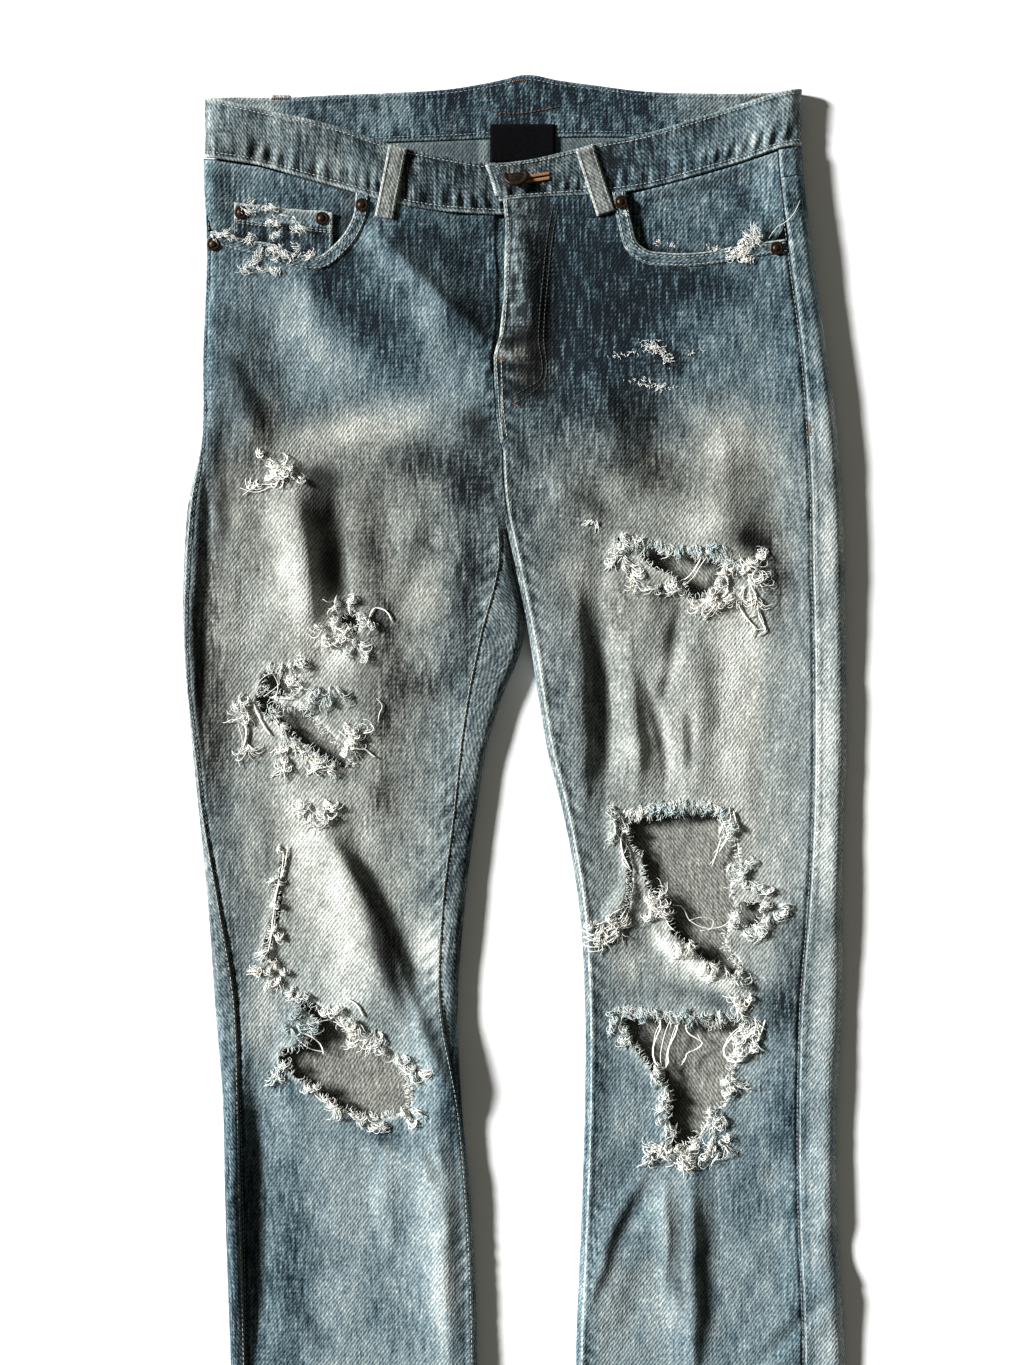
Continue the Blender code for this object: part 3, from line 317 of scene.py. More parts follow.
def smooth(value, start, end):
    # 0 before start, 1 after end, and 3 t^2 - 2 t^3 between them
    t = np.clip((np.asarray(value, float) - start) / (end - start), 0.0, 1.0)
    return t * t * (3.0 - 2.0 * t)


def hump(value, place, reach):
    # exp(-((value - place) / reach)^2): 1 at its place and near 0 two reaches away
    return np.exp(-(((value - place) / reach) ** 2))


def runAlong(points):
    # distance covered up to each point of a line
    return np.concatenate([[0.0], np.cumsum(np.linalg.norm(np.diff(points, axis=0), axis=1))])


def curveAt(at, stations, values):
    # cubic through the values, its slopes those of the neighbouring chords
    stations, values = np.asarray(stations, float), np.asarray(values, float)
    if stations[0] > stations[-1]:
        stations, values = stations[::-1], values[::-1]
    slopes = np.gradient(values, stations, axis=0)
    at = np.clip(np.asarray(at, float), stations[0], stations[-1])
    i = np.clip(np.searchsorted(stations, at) - 1, 0, len(stations) - 2)
    step = stations[i + 1] - stations[i]
    t = (at - stations[i]) / step
    if values.ndim > 1:
        t, step = t[..., None], step[..., None]
    return ((2 * t**3 - 3 * t**2 + 1) * values[i] + (t**3 - 2 * t**2 + t) * step * slopes[i]
            + (3 * t**2 - 2 * t**3) * values[i + 1] + (t**3 - t**2) * step * slopes[i + 1])


legTable = {leg: dict(zip(legColumns, np.array(rows, float).T)) for leg, rows in legRows.items()}
heightTable = dict(zip(heightColumns, np.array(heightRows, float).T))
lattice = np.random.default_rng(11).random((256, 256))


def legEdge(leg, column, y):
    return curveAt(y, legTable[leg]["y"], legTable[leg][column])


def heightAt(column, y):
    return np.interp(y, heightTable["y"][::-1], heightTable[column][::-1])


def lineAt(points, at, column=0):
    # the other coordinate of a line of points, at a given x (column 0) or y (column 1)
    points = sorted(points, key=lambda point: point[column])
    return np.interp(at, [p[column] for p in points], [p[1 - column] for p in points])


def softNoise(x, y, size, seed=0):
    # eased value noise from -1 to 1, its features about "size" across
    u, v = np.asarray(x, float) / size + 31.7 * seed, np.asarray(y, float) / size + 13.3 * seed
    i, j = np.floor(u).astype(int), np.floor(v).astype(int)
    fu, fv = u - i, v - j
    fu, fv = fu * fu * (3 - 2 * fu), fv * fv * (3 - 2 * fv)
    corner = [lattice[(i + a) % 256, (j + b) % 256] for a, b in ((0, 0), (1, 0), (0, 1), (1, 1))]
    low = corner[0] + (corner[1] - corner[0]) * fu
    high = corner[2] + (corner[3] - corner[2]) * fu
    return 2.0 * (low + (high - low) * fv) - 1.0


def foldSum(rows, leg, x, y, wander=0.0):
    # sum of Gaussian ridges about bowed centre lines that fade at both ends; with a
    # wander the lines waver by that much and the ridges narrow towards their ends
    total = np.zeros(np.broadcast(x, y).shape)
    waver = wander * (softNoise(x, y, 26, 41) + 0.5 * softNoise(x, y, 11, 42)) if wander else 0.0
    for x0, y0, x1, y1, bow, height, minusX, plusX in rows[leg]:
        dx, dy = x1 - x0, y1 - y0
        length = math.hypot(dx, dy)
        along = ((x - x0) * dx + (y - y0) * dy) / length**2
        across = (-(x - x0) * dy + (y - y0) * dx) / length
        t = np.clip(along, 0.0, 1.0)
        across = across - 4.0 * bow * t * (1.0 - t) + waver
        reach = np.where(across < 0.0, minusX, plusX)
        if wander:
            fade = smooth(along, -0.12, 0.42) * (1.0 - smooth(along, 0.58, 1.12))
            reach = reach * (0.35 + 0.65 * fade)
        else:
            fade = smooth(along, -0.08, 0.25) * (1.0 - smooth(along, 0.72, 1.08))
        total += height * hump(across, 0.0, reach) * fade
    return total


def rollWidth(y):
    return 0.55 * heightAt("edge", y)


def edgeRoll(distance, width):
    # quarter ellipse: 0 on the outline, 1 from one roll width inside it
    t = np.clip(distance / width, 0.0, 1.0)
    return np.sqrt(1.0 - (1.0 - t) ** 2)


def closedCurve(points, per=4):
    # smooth closed line through the points: cubic on the running index
    points = np.array(points, float)
    ring = np.concatenate([points[-3:], points, points[:3]])
    return curveAt(np.arange(len(points) * per) / per + 3.0, np.arange(len(ring)), ring)


def openCurve(points, step):
    # smooth open line through the points, sampled about every "step"
    points = np.array(points, float)
    run = runAlong(points)
    return curveAt(np.linspace(0.0, run[-1], max(3, int(run[-1] / step) + 1)), run, points)


def outlineDistance(outline, x, y):
    # signed distance to a closed line: negative inside it
    ends = np.roll(outline, -1, axis=0)
    best = np.full(np.shape(x), 1e9)
    inside = np.zeros(np.shape(x), bool)
    for (ax, ay), (bx, by) in zip(outline, ends):
        dx, dy = bx - ax, by - ay
        t = np.clip(((x - ax) * dx + (y - ay) * dy) / (dx * dx + dy * dy), 0.0, 1.0)
        best = np.minimum(best, (x - ax - t * dx) ** 2 + (y - ay - t * dy) ** 2)
        crosses = (ay > y) != (by > y)
        inside ^= crosses & (x < ax + (y - ay) * dx / np.where(dy == 0, 1e-9, dy))
    return np.where(inside, -1.0, 1.0) * np.sqrt(best)


ripCurves = {name: (leg, closedCurve(points)) for name, (leg, points) in ripOutlines.items()}


def ripDistance(leg, x, y, reach=45.0):
    # signed distance to the nearest torn edge of this leg, at most "reach"
    x, y = np.broadcast_arrays(np.asarray(x, float), np.asarray(y, float))
    best = np.full(x.shape, reach)
    for owner, curve in ripCurves.values():
        if owner != leg:
            continue
        low, high = curve.min(axis=0) - reach, curve.max(axis=0) + reach
        near = (x > low[0]) & (x < high[0]) & (y > low[1]) & (y < high[1])
        if near.any():
            best[near] = np.minimum(best[near], outlineDistance(curve, x[near], y[near]))
    return best


def mouthDistance(leg, x, y):
    # distance below the pocket's lip: negative in the pocket's mouth
    side = sideNames[leg]
    lip = openCurve(pocketLip[leg], 3.0)
    far = side * 262.0
    ring = np.concatenate([lip, [(far, lip[-1][1]), (far, 545.0), (lip[0][0], 545.0)]])
    return outlineDistance(ring, x, y)


# Lifts beside the torn places: x, y, reach, reach, turn in degrees, height.
liftRows = {
    "left": (
        (138, -90, 30, 9, -34, 2.6), (120, -78, 16, 8, -40, 1.6), (80, -40, 8, 26, 0, 1.0),
    ),
    "right": (
        (-137, 60, 17, 8, -30, 1.8), (-102, 157, 7, 9, 0, 2.2), (-155, -122, 12, 14, 40, 1.6),
    ),
}


def blobSum(rows, leg, x, y, value=5):
    # sum of turned Gaussian spots; "value" is the column that holds the strength
    total = np.zeros(np.broadcast(x, y).shape)
    for row in rows[leg]:
        px, py, rx, ry, turn = row[:5]
        a = math.radians(turn)
        u = (x - px) * math.cos(a) + (y - py) * math.sin(a)
        v = -(x - px) * math.sin(a) + (y - py) * math.cos(a)
        total += row[value] * np.exp(-((u / rx) ** 2) - (v / ry) ** 2)
    return total


# Relief beside the long seams, in millimetres.
seamForm = dict(groove=1.2, ridge=0.9, rope=0.8, ropeSpan=11.0, inseamRidge=0.8,
                inseamGroove=0.8, inseamRope=0.4)


def seamRope(out, x, y):
    # slanting ropes beside a seam, a sine along it whose strength wanders
    phase = (y + 0.8 * out) * 2 * math.pi / seamForm["ropeSpan"]
    rope = np.sin(phase + 2.0 * softNoise(x, y, 30, 3))
    return rope * (0.5 + 0.5 * softNoise(x, y, 40, 4))


def seamRelief(leg, x, y):
    # groove and ridge beside each long seam, with slanting ropes on the ridge
    side = sideNames[leg]
    out = (x - legEdge(leg, "outseam", y)) * side
    inn = (legEdge(leg, "inseam", y) - x) * side
    rope = seamRope(out, x, y)
    lift = seamForm["ridge"] * hump(out, 2.2, 2.4)
    lift -= seamForm["groove"] * hump(out, -1.6, 1.5)
    lift += seamForm["rope"] * rope * hump(out, 3.5, 4.5)
    if leg == "right":
        isLeg = smooth(y, 236.0, 210.0)
    else:
        isLeg = smooth(y, crotchLevel + 4.0, crotchLevel - 20.0)
    lift += isLeg * seamForm["inseamRidge"] * hump(inn, -2.4, 2.2)
    lift -= isLeg * seamForm["inseamGroove"] * hump(inn, 1.2, 1.2)
    lift += isLeg * seamForm["inseamRope"] * rope * hump(inn, -3.5, 4.5)
    return lift


skinNoise = dict(broad=1.0, middle=0.5, small=0.22)


def topHeight(leg, x, y, dressed=True):
    # outer face of the upper layer: sagging middle, folds and rolled edges; dressed
    # adds the sharper creases, the seams' relief and the lifted torn edges
    x, y = np.broadcast_arrays(np.asarray(x, float), np.asarray(y, float))
    side = sideNames[leg]
    edge, middle, floor = (heightAt(name, y) for name in ("edge", "middle", "floor"))
    width = rollWidth(y)
    fromOuter = (legEdge(leg, "outer", y) - x) * side
    fromInner = (x - legEdge(leg, "inner", y)) * side
    isLeg = smooth(y, crotchLevel - 2.0, crotchLevel - 60.0)
    isTube = smooth(y, crotchLevel + 1.0, fullWallLevel - 1.0) * smooth(y, 240.0, 190.0)
    sag = 1.0 - smooth(fromOuter, width, width + 42.0)
    sagInner = (1.0 - smooth(fromInner, width, width + 38.0)) * isLeg
    base = middle + (edge - middle) * np.maximum(sag, sagInner) + foldSum(foldRows, leg, x, y)
    if dressed:
        base = base + foldSum(creaseRows, leg, x, y, 1.6)
        below = 1.0 - smooth(y, 425.0, 450.0)
        base = base + below * (skinNoise["broad"] * softNoise(x, y * 0.55, 42, 5)
                               + skinNoise["middle"] * softNoise(x, y * 0.7, 17, 6)
                               + skinNoise["small"] * softNoise(x, y, 6, 7))
        near = ripDistance(leg, x, y, 16.0)
        curl = 0.9 + 0.9 * softNoise(x, y, 9, 8)
        base = base + curl * hump(near, 0.0, 5.0) + blobSum(liftRows, leg, x, y)
    base = np.maximum(base, floor + 3.6)
    if leg == "right":
        base = base - flyDrop * smooth(x, -58.0, -24.0) * smooth(y, 325.0, 380.0)
    if dressed:
        base = base + seamRelief(leg, x, y)
    centre = 0.5 * (edge + floor)
    roll = edgeRoll(fromOuter, width) * (1.0 - isTube * (1.0 - edgeRoll(fromInner, width)))
    return centre + (base - centre) * roll


def floorHeight(leg, x, y):
    # outer face of the lower layer: flat on the floor, with rolled edges
    side = sideNames[leg]
    floor = heightAt("floor", y)
    centre = 0.5 * (heightAt("edge", y) + floor)
    fromOuter = (legEdge(leg, "outer", y) - x) * side
    fromInner = (x - legEdge(leg, "inner", y)) * side
    isTube = smooth(y, crotchLevel + 26.0, fullWallLevel)
    roll = edgeRoll(fromOuter, rollWidth(y))
    roll = roll * (1.0 - isTube * (1.0 - edgeRoll(fromInner, rollWidth(y))))
    return centre - (centre - floor) * roll


def gridFaces(rows, columns, flip=False, wrap=False):
    # quads between neighbouring rows and columns; wrap joins the last column to the first
    i, j = np.meshgrid(np.arange(rows - 1), np.arange(columns if wrap else columns - 1),
                       indexing="ij")
    k = (j + 1) % columns
    low, high = i * columns, (i + 1) * columns
    quads = np.stack([low + j, low + k, high + k, high + j], -1).reshape(-1, 4)
    return quads[:, ::-1] if flip else quads


def tubeFaces(rows, columns, flip=True):
    # quads round a tube of rings, and a flat cap at each end
    ring = np.arange(columns) if flip else np.arange(columns)[::-1]
    return [gridFaces(rows, columns, flip, True), ring[None],
            (rows - 1) * columns + ring[None, ::-1]]


def wearAndShadeOf(x, tone, warm=0.0, raw=0.0, shade=1.0):
    # tone, warmth, raw cotton and painted shade of every point of a grid
    return np.stack([np.broadcast_to(v, np.shape(x)) for v in (tone, warm, raw, shade)], -1)


def makeMesh(name, points, faces, finishes, uv=None, wearAndShade=None):
    # points in millimetres; faces is one array, or several of differing side counts
    points = np.reshape(np.asarray(points, float), (-1, 3))
    groups = [np.asarray(f) for f in (faces if isinstance(faces, list) else [faces])]
    loops = np.concatenate([g.reshape(-1) for g in groups]).astype(np.int32)
    sides = np.concatenate([np.full(len(g), g.shape[1]) for g in groups])
    starts = np.concatenate([[0], np.cumsum(sides)[:-1]]).astype(np.int32)
    mesh = bpy.data.meshes.new(name)
    mesh.vertices.add(len(points))
    mesh.vertices.foreach_set("co", (points * mm).astype(np.float32).reshape(-1))
    mesh.loops.add(len(loops))
    mesh.loops.foreach_set("vertex_index", loops)
    mesh.polygons.add(len(sides))
    mesh.polygons.foreach_set("loop_start", starts)
    mesh.polygons.foreach_set("use_smooth", np.ones(len(sides), bool))
    if uv is not None:
        layer = mesh.uv_layers.new(name="cloth")
        uv = np.reshape(np.asarray(uv, float), (-1, 2))[loops]
        layer.data.foreach_set("uv", (uv * mm).astype(np.float32).reshape(-1))
    if wearAndShade is not None:
        # for cloth the attribute holds tone, warmth, raw cotton and, in its alpha, painted shade;
        # for threads their colour
        tint = mesh.attributes.new("wearAndShade", "FLOAT_COLOR", "POINT")
        tint.data.foreach_set("color", np.clip(wearAndShade, 0.0, 4.0).astype(np.float32).reshape(-1))
    mesh.update(calc_edges=True)
    mesh.validate()
    for finish in finishes:
        mesh.materials.append(finish)
    made = bpy.data.objects.new(name, mesh)
    bpy.context.scene.collection.objects.link(made)
    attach(made, "root")
    return made


def clothPiece(name, node, points, faces, finishes, uv=None, wearAndShade=None, wall=0.0, rim=0):
    # a mesh in the place of one solid; with a wall the mesh is the outer face, and the
    # cloth's thickness grows inwards from it
    piece = makeMesh(name, points, faces, finishes, uv, wearAndShade)
    if wall:
        solid = piece.modifiers.new("cloth wall", "SOLIDIFY")
        solid.thickness = wall * mm
        solid.offset = -1.0
        solid.use_rim = True
        solid.material_offset = 1
        solid.material_offset_rim = rim
    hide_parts(node)
    return piece


def packed(count, faces):
    # the points that faces use, and the faces counted on those points alone
    used = np.unique(faces)
    place = np.full(count, -1)
    place[used] = np.arange(len(used))
    return used, place[faces]


# Finishes: strengths of the weave's parts, and the washed tones from dark to pale.
denimLook = dict(twillPitch=2.15, twill=0.145, streak=0.16, slub=0.18, blotch=0.07, bump=0.7,
                 raw=(0.60, 0.60, 0.55))
denimTones = (
    (0.00, (0.003, 0.007, 0.011)), (0.20, (0.019, 0.037, 0.048)), (0.38, (0.054, 0.090, 0.108)),
    (0.55, (0.120, 0.172, 0.192)), (0.70, (0.213, 0.268, 0.284)), (0.85, (0.365, 0.412, 0.408)),
    (1.00, (0.600, 0.630, 0.600)),
)
# The same tones where the warp is worn away and grey cotton shows.
greyTones = (
    (0.00, (0.006, 0.007, 0.007)), (0.20, (0.034, 0.037, 0.034)), (0.38, (0.083, 0.088, 0.081)),
    (0.55, (0.160, 0.168, 0.151)), (0.70, (0.255, 0.264, 0.237)), (0.85, (0.398, 0.410, 0.377)),
    (1.00, (0.620, 0.635, 0.598)),
)


class Graph:
    # a short way of placing nodes and joining them
    def __init__(self, tree):
        self.tree = tree

    def node(self, kind, **settings):
        made = self.tree.nodes.new(kind)
        for name, value in settings.items():
            setattr(made, name, value)
        return made

    def put(self, socket, value):
        if isinstance(value, bpy.types.NodeSocket):
            self.tree.links.new(value, socket)
        else:
            socket.default_value = value

    def maths(self, operation, a, b=0.0, c=0.0, clamp=False):
        made = self.node("ShaderNodeMath", operation=operation, use_clamp=clamp)
        for socket, value in zip(made.inputs, (a, b, c)):
            self.put(socket, value)
        return made.outputs[0]

    def mix(self, factor, a, b, blend="MIX"):
        made = self.node("ShaderNodeMix", data_type="RGBA", blend_type=blend)
        self.put(made.inputs["Factor"], factor)
        for socket, value in ((made.inputs[6], a), (made.inputs[7], b)):
            self.put(socket, value if isinstance(value, bpy.types.NodeSocket) else (*value, 1.0))
        return made.outputs[2]

    def noise(self, vector, scale, detail=2.0, rough=0.5):
        made = self.node("ShaderNodeTexNoise", noise_dimensions="3D")
        self.put(made.inputs["Vector"], vector)
        made.inputs["Scale"].default_value = scale
        made.inputs["Detail"].default_value = detail
        made.inputs["Roughness"].default_value = rough
        return made.outputs["Fac"]

    def mapped(self, vector, scale):
        made = self.node("ShaderNodeMapping")
        self.put(made.inputs["Vector"], vector)
        made.inputs["Scale"].default_value = scale
        return made.outputs["Vector"]

    def ramp(self, factor, stops):
        made = self.node("ShaderNodeValToRGB")
        self.put(made.inputs["Fac"], factor)
        band = made.color_ramp
        while len(band.elements) < len(stops):
            band.elements.new(0.5)
        for element, (place, colour) in zip(band.elements, stops):
            element.position = place
            element.color = (*colour, 1.0)
        return made.outputs["Color"]

    def grey(self, value):
        # one value in all three channels
        made = self.node("ShaderNodeCombineColor")
        for socket in list(made.inputs)[:3]:
            self.put(socket, value)
        return made.outputs[0]

    def bump(self, shader, height, strength, distance):
        # a height read as relief of the shader's surface, its distance in metres
        made = self.node("ShaderNodeBump")
        made.inputs["Strength"].default_value = strength
        made.inputs["Distance"].default_value = distance
        self.put(made.inputs["Height"], height)
        self.put(shader.inputs["Normal"], made.outputs["Normal"])

    def objectPoint(self):
        # the object's own coordinates in millimetres
        place = self.node("ShaderNodeTexCoord").outputs["Object"]
        return self.mapped(place, (1000.0, 1000.0, 1000.0))


def group(name, inputs, outputs):
    tree = bpy.data.node_groups.new(name, "ShaderNodeTree")
    for label, kind, value in inputs:
        socket = tree.interface.new_socket(name=label, in_out="INPUT", socket_type=kind)
        socket.default_value = value
    for label, kind in outputs:
        tree.interface.new_socket(name=label, in_out="OUTPUT", socket_type=kind)
    made = Graph(tree)
    return made, made.node("NodeGroupInput").outputs, made.node("NodeGroupOutput").inputs


def makeWeaveGroup():
    # threads of the cloth, on its own UV in millimetres: slanting twill, upright warp
    # streaks and short slubs, summed as a tone shift and as a height
    number = "NodeSocketFloat"
    g, given, put = group(
        "denimWeave",
        [("Vector", "NodeSocketVector", (0.0, 0.0, 0.0)), ("Twill", number, 0.1),
         ("Streak", number, 0.1), ("Slub", number, 0.1), ("Blotch", number, 0.05)],
        [("Shift", number), ("Height", number)])
    cloth = g.mapped(given["Vector"], (1000.0, 1000.0, 1000.0))

    def around(scale, detail, rough):
        # noise from -0.5 to 0.5, stretched by its two scales
        where = g.mapped(cloth, (*scale, 1.0))
        return g.maths("SUBTRACT", g.noise(where, 1.0, detail, rough), 0.5)

    wobble = g.noise(g.mapped(cloth, (0.20, 0.08, 1.0)), 1.0, 2.0)
    split = g.node("ShaderNodeSeparateXYZ")
    g.put(split.inputs[0], cloth)
    slant = g.maths("SUBTRACT", g.maths("MULTIPLY", split.outputs[0], 0.80),
                    g.maths("MULTIPLY", split.outputs[1], 0.60))
    phase = g.maths("ADD", g.maths("MULTIPLY", slant, 2 * math.pi / denimLook["twillPitch"]),
                    g.maths("MULTIPLY", wobble, 7.0))
    # the slanting ribs break up into single floats of warp
    floats = g.maths("SINE", g.maths("MULTIPLY", split.outputs[1], 2 * math.pi / 1.9))
    twill = g.maths("MULTIPLY", g.maths("SINE", phase), g.maths("MULTIPLY_ADD", floats, 0.35, 0.8))
    streak = around((0.55, 0.05), 3.0, 0.6)
    slub = around((0.50, 0.34), 2.0, 0.65)
    blotch = g.maths("SUBTRACT", g.noise(cloth, 0.045, 3.0, 0.55), 0.5)
    shift = g.maths("MULTIPLY", twill, given["Twill"])
    for part, name, strength in (
            (streak, "Streak", 4.0), (around((0.10, 0.60), 2.0, 0.6), "Streak", 1.6),
            (slub, "Slub", 4.0), (blotch, "Blotch", 4.0),
            (around((0.24, 0.11), 4.0, 0.62), "Blotch", 4.5)):
        part = g.maths("MULTIPLY", g.maths("MULTIPLY", part, given[name]), strength)
        shift = g.maths("ADD", shift, part)
    g.put(put["Shift"], shift)
    height = g.maths("ADD", g.maths("MULTIPLY", twill, 0.35), g.maths("MULTIPLY", streak, 1.6))
    g.put(put["Height"], g.maths("ADD", height, g.maths("MULTIPLY", slub, 1.4)))
    return g.tree


def makeColourGroup():
    # tone to washed indigo, then warmth, raw cotton and painted shade laid over it
    number = "NodeSocketFloat"
    g, given, put = group(
        "washedColourAndShade",
        [("Tone", number, 0.5), ("Warm", number, 0.0), ("Raw", number, 0.0),
         ("Shade", number, 1.0)],
        [("Color", "NodeSocketColor")])
    tone = g.maths("ADD", given["Tone"], 0.0, clamp=True)
    warm = g.maths("ADD", given["Warm"], 0.0, clamp=True)
    colour = g.mix(warm, g.ramp(tone, denimTones), g.ramp(tone, greyTones))
    colour = g.mix(given["Raw"], colour, denimLook["raw"])
    g.put(put["Color"], g.mix(1.0, colour, g.grey(given["Shade"]), "MULTIPLY"))
    return g.tree


weaveGroup = makeWeaveGroup()
colourGroup = makeColourGroup()


def startMaterial(name, roughness, metallic=0.0):
    made = bpy.data.materials.new(name)
    made.use_nodes = True
    made.node_tree.nodes.clear()
    g = Graph(made.node_tree)
    shader = g.node("ShaderNodeBsdfPrincipled")
    shader.inputs["Roughness"].default_value = roughness
    shader.inputs["Metallic"].default_value = metallic
    shader.inputs["Specular IOR Level"].default_value = 0.2
    g.put(g.node("ShaderNodeOutputMaterial").inputs["Surface"], shader.outputs["BSDF"])
    return made, g, shader


def denimMaterial(name, toneAdd=0.0, toneScale=1.0, warmAdd=0.0, rawAdd=0.0, grain=1.0, tint=None):
    # cloth that reads its wear and painted shade from the mesh: red tone, green warmth, blue raw,
    # alpha painted shade
    made, g, shader = startMaterial(name, 0.93)
    wearAndShadeNode = g.node("ShaderNodeAttribute", attribute_name="wearAndShade")
    parts = g.node("ShaderNodeSeparateColor")
    g.put(parts.inputs[0], wearAndShadeNode.outputs["Color"])
    weave = g.node("ShaderNodeGroup", node_tree=weaveGroup)
    g.put(weave.inputs["Vector"], g.node("ShaderNodeTexCoord").outputs["UV"])
    for label in ("Twill", "Slub", "Blotch"):
        weave.inputs[label].default_value = denimLook[label.lower()] * grain
    colour = g.node("ShaderNodeGroup", node_tree=colourGroup)
    tone = g.maths("MULTIPLY_ADD", parts.outputs[0], toneScale, toneAdd)
    # the streaks show where dye is left: 0.3 of their strength, and 5 times the dye more
    dye = g.maths("SUBTRACT", 0.72, tone, clamp=True)
    streak = denimLook["streak"] * grain
    g.put(weave.inputs["Streak"], g.maths("MULTIPLY_ADD", dye, 5.0 * streak, 0.3 * streak))
    g.put(colour.inputs["Tone"], g.maths("ADD", tone, weave.outputs["Shift"]))
    g.put(colour.inputs["Warm"], g.maths("ADD", parts.outputs[1], warmAdd))
    g.put(colour.inputs["Raw"], g.maths("ADD", parts.outputs[2], rawAdd, clamp=True))
    # the alpha is painted shade, multiplied over the colour
    g.put(colour.inputs["Shade"], wearAndShadeNode.outputs["Alpha"])
    washedAndShaded = colour.outputs["Color"]
    g.put(shader.inputs["Base Color"], g.mix(1.0, washedAndShaded, tint, "MULTIPLY") if tint else washedAndShaded)
    g.bump(shader, weave.outputs["Height"], denimLook["bump"], 0.0004)
    return made


def threadMaterial(name, speckle=0.25):
    # spun cotton, its colour from the mesh, mottled along the thread
    made, g, shader = startMaterial(name, 0.9)
    wearAndShadeNode = g.node("ShaderNodeAttribute", attribute_name="wearAndShade")
    where = g.objectPoint()
    grain = g.noise(where, 0.9, 3.0, 0.6)
    factor = g.maths("ADD", 1.0 - speckle, g.maths("MULTIPLY", grain, 2 * speckle))
    g.put(shader.inputs["Base Color"],
          g.mix(1.0, wearAndShadeNode.outputs["Color"], g.grey(factor), "MULTIPLY"))
    g.bump(shader, g.noise(where, 2.2, 2.0), 0.4, 0.0003)
    return made


def metalMaterial():
    # antiqued brown metal: dark film, coppery where rubbed
    made, g, shader = startMaterial("antiqueMetal", 0.45, 0.75)
    where = g.node("ShaderNodeTexCoord").outputs["Object"]
    film = g.noise(where, 900.0, 4.0, 0.65)
    stops = ((0.35, (0.012, 0.008, 0.006)), (0.60, (0.045, 0.026, 0.017)),
             (0.80, (0.16, 0.095, 0.058)))
    g.put(shader.inputs["Base Color"], g.ramp(film, stops))
    g.put(shader.inputs["Roughness"], g.maths("MULTIPLY_ADD", film, 0.35, 0.25))
    g.bump(shader, g.noise(where, 1600.0, 3.0), 0.35, 0.0002)
    return made


def labelMaterial():
    # close black woven cloth
    made, g, shader = startMaterial("labelCloth", 0.95)
    shader.inputs["Specular IOR Level"].default_value = 0.02
    grain = g.noise(g.mapped(g.objectPoint(), (0.4, 3.0, 1.0)), 1.0, 2.0)
    stops = ((0.3, (0.001, 0.001, 0.001)), (0.7, (0.005, 0.005, 0.006)))
    g.put(shader.inputs["Base Color"], g.ramp(grain, stops))
    g.bump(shader, grain, 0.3, 0.0002)
    return made


washedDenim = denimMaterial("washedDenim")
denimInside = denimMaterial("denimInside", toneAdd=0.50, toneScale=0.16, warmAdd=1.0,
                            tint=(1.0, 0.985, 0.985))
bandInside = denimMaterial("bandInside", toneAdd=0.02, warmAdd=0.2, grain=0.7)
pocketDenim = denimMaterial("pocketDenim", grain=1.1)
rawEdge = denimMaterial("rawEdge", toneAdd=0.3, rawAdd=0.75, grain=0.8)
frayedCotton = threadMaterial("frayedCotton")
seamThread = threadMaterial("seamThread", speckle=0.3)
antiqueMetal = metalMaterial()
labelCloth = labelMaterial()
print("materials ready")


# Wear and painted shade: how far each place is faded, and where shade is painted.
wearRange = dict(middle=0.58, contrast=1.22)
# Tone across each leg, from its outseam to its inseam, at several levels.
toneColumns = (0.0, 0.22, 0.5, 0.78, 1.0)
toneRows = {
    "right": (
        (490, 0.50, 0.52, 0.50, 0.48, 0.42), (430, 0.47, 0.47, 0.46, 0.42, 0.34),
        (385, 0.50, 0.50, 0.46, 0.38, 0.27), (340, 0.52, 0.52, 0.44, 0.36, 0.25),
        (300, 0.50, 0.56, 0.50, 0.42, 0.32), (250, 0.48, 0.64, 0.60, 0.50, 0.40),
        (190, 0.48, 0.68, 0.64, 0.54, 0.42), (120, 0.50, 0.68, 0.68, 0.58, 0.45),
        (50, 0.50, 0.66, 0.72, 0.60, 0.48), (-20, 0.50, 0.62, 0.78, 0.62, 0.48),
        (-90, 0.50, 0.60, 0.80, 0.64, 0.48), (-150, 0.50, 0.62, 0.72, 0.66, 0.52),
        (-210, 0.48, 0.62, 0.66, 0.66, 0.52), (-300, 0.48, 0.58, 0.62, 0.60, 0.52),
        (-420, 0.48, 0.56, 0.58, 0.56, 0.50), (-545, 0.46, 0.50, 0.52, 0.50, 0.46)),
    "left": (
        (495, 0.52, 0.54, 0.50, 0.44, 0.40), (440, 0.52, 0.50, 0.44, 0.40, 0.44),
        (385, 0.55, 0.50, 0.40, 0.36, 0.50), (335, 0.55, 0.54, 0.50, 0.36, 0.44),
        (290, 0.55, 0.58, 0.56, 0.44, 0.42), (240, 0.54, 0.62, 0.62, 0.52, 0.45),
        (180, 0.54, 0.66, 0.68, 0.58, 0.46), (110, 0.54, 0.68, 0.72, 0.62, 0.48),
        (50, 0.54, 0.68, 0.74, 0.62, 0.50), (-20, 0.54, 0.66, 0.72, 0.60, 0.50),
        (-90, 0.54, 0.66, 0.72, 0.58, 0.50), (-150, 0.54, 0.64, 0.68, 0.56, 0.50),
        (-210, 0.52, 0.62, 0.66, 0.56, 0.48), (-300, 0.52, 0.58, 0.60, 0.58, 0.50),
        (-420, 0.50, 0.56, 0.58, 0.56, 0.50), (-545, 0.46, 0.50, 0.52, 0.50, 0.46)),
}
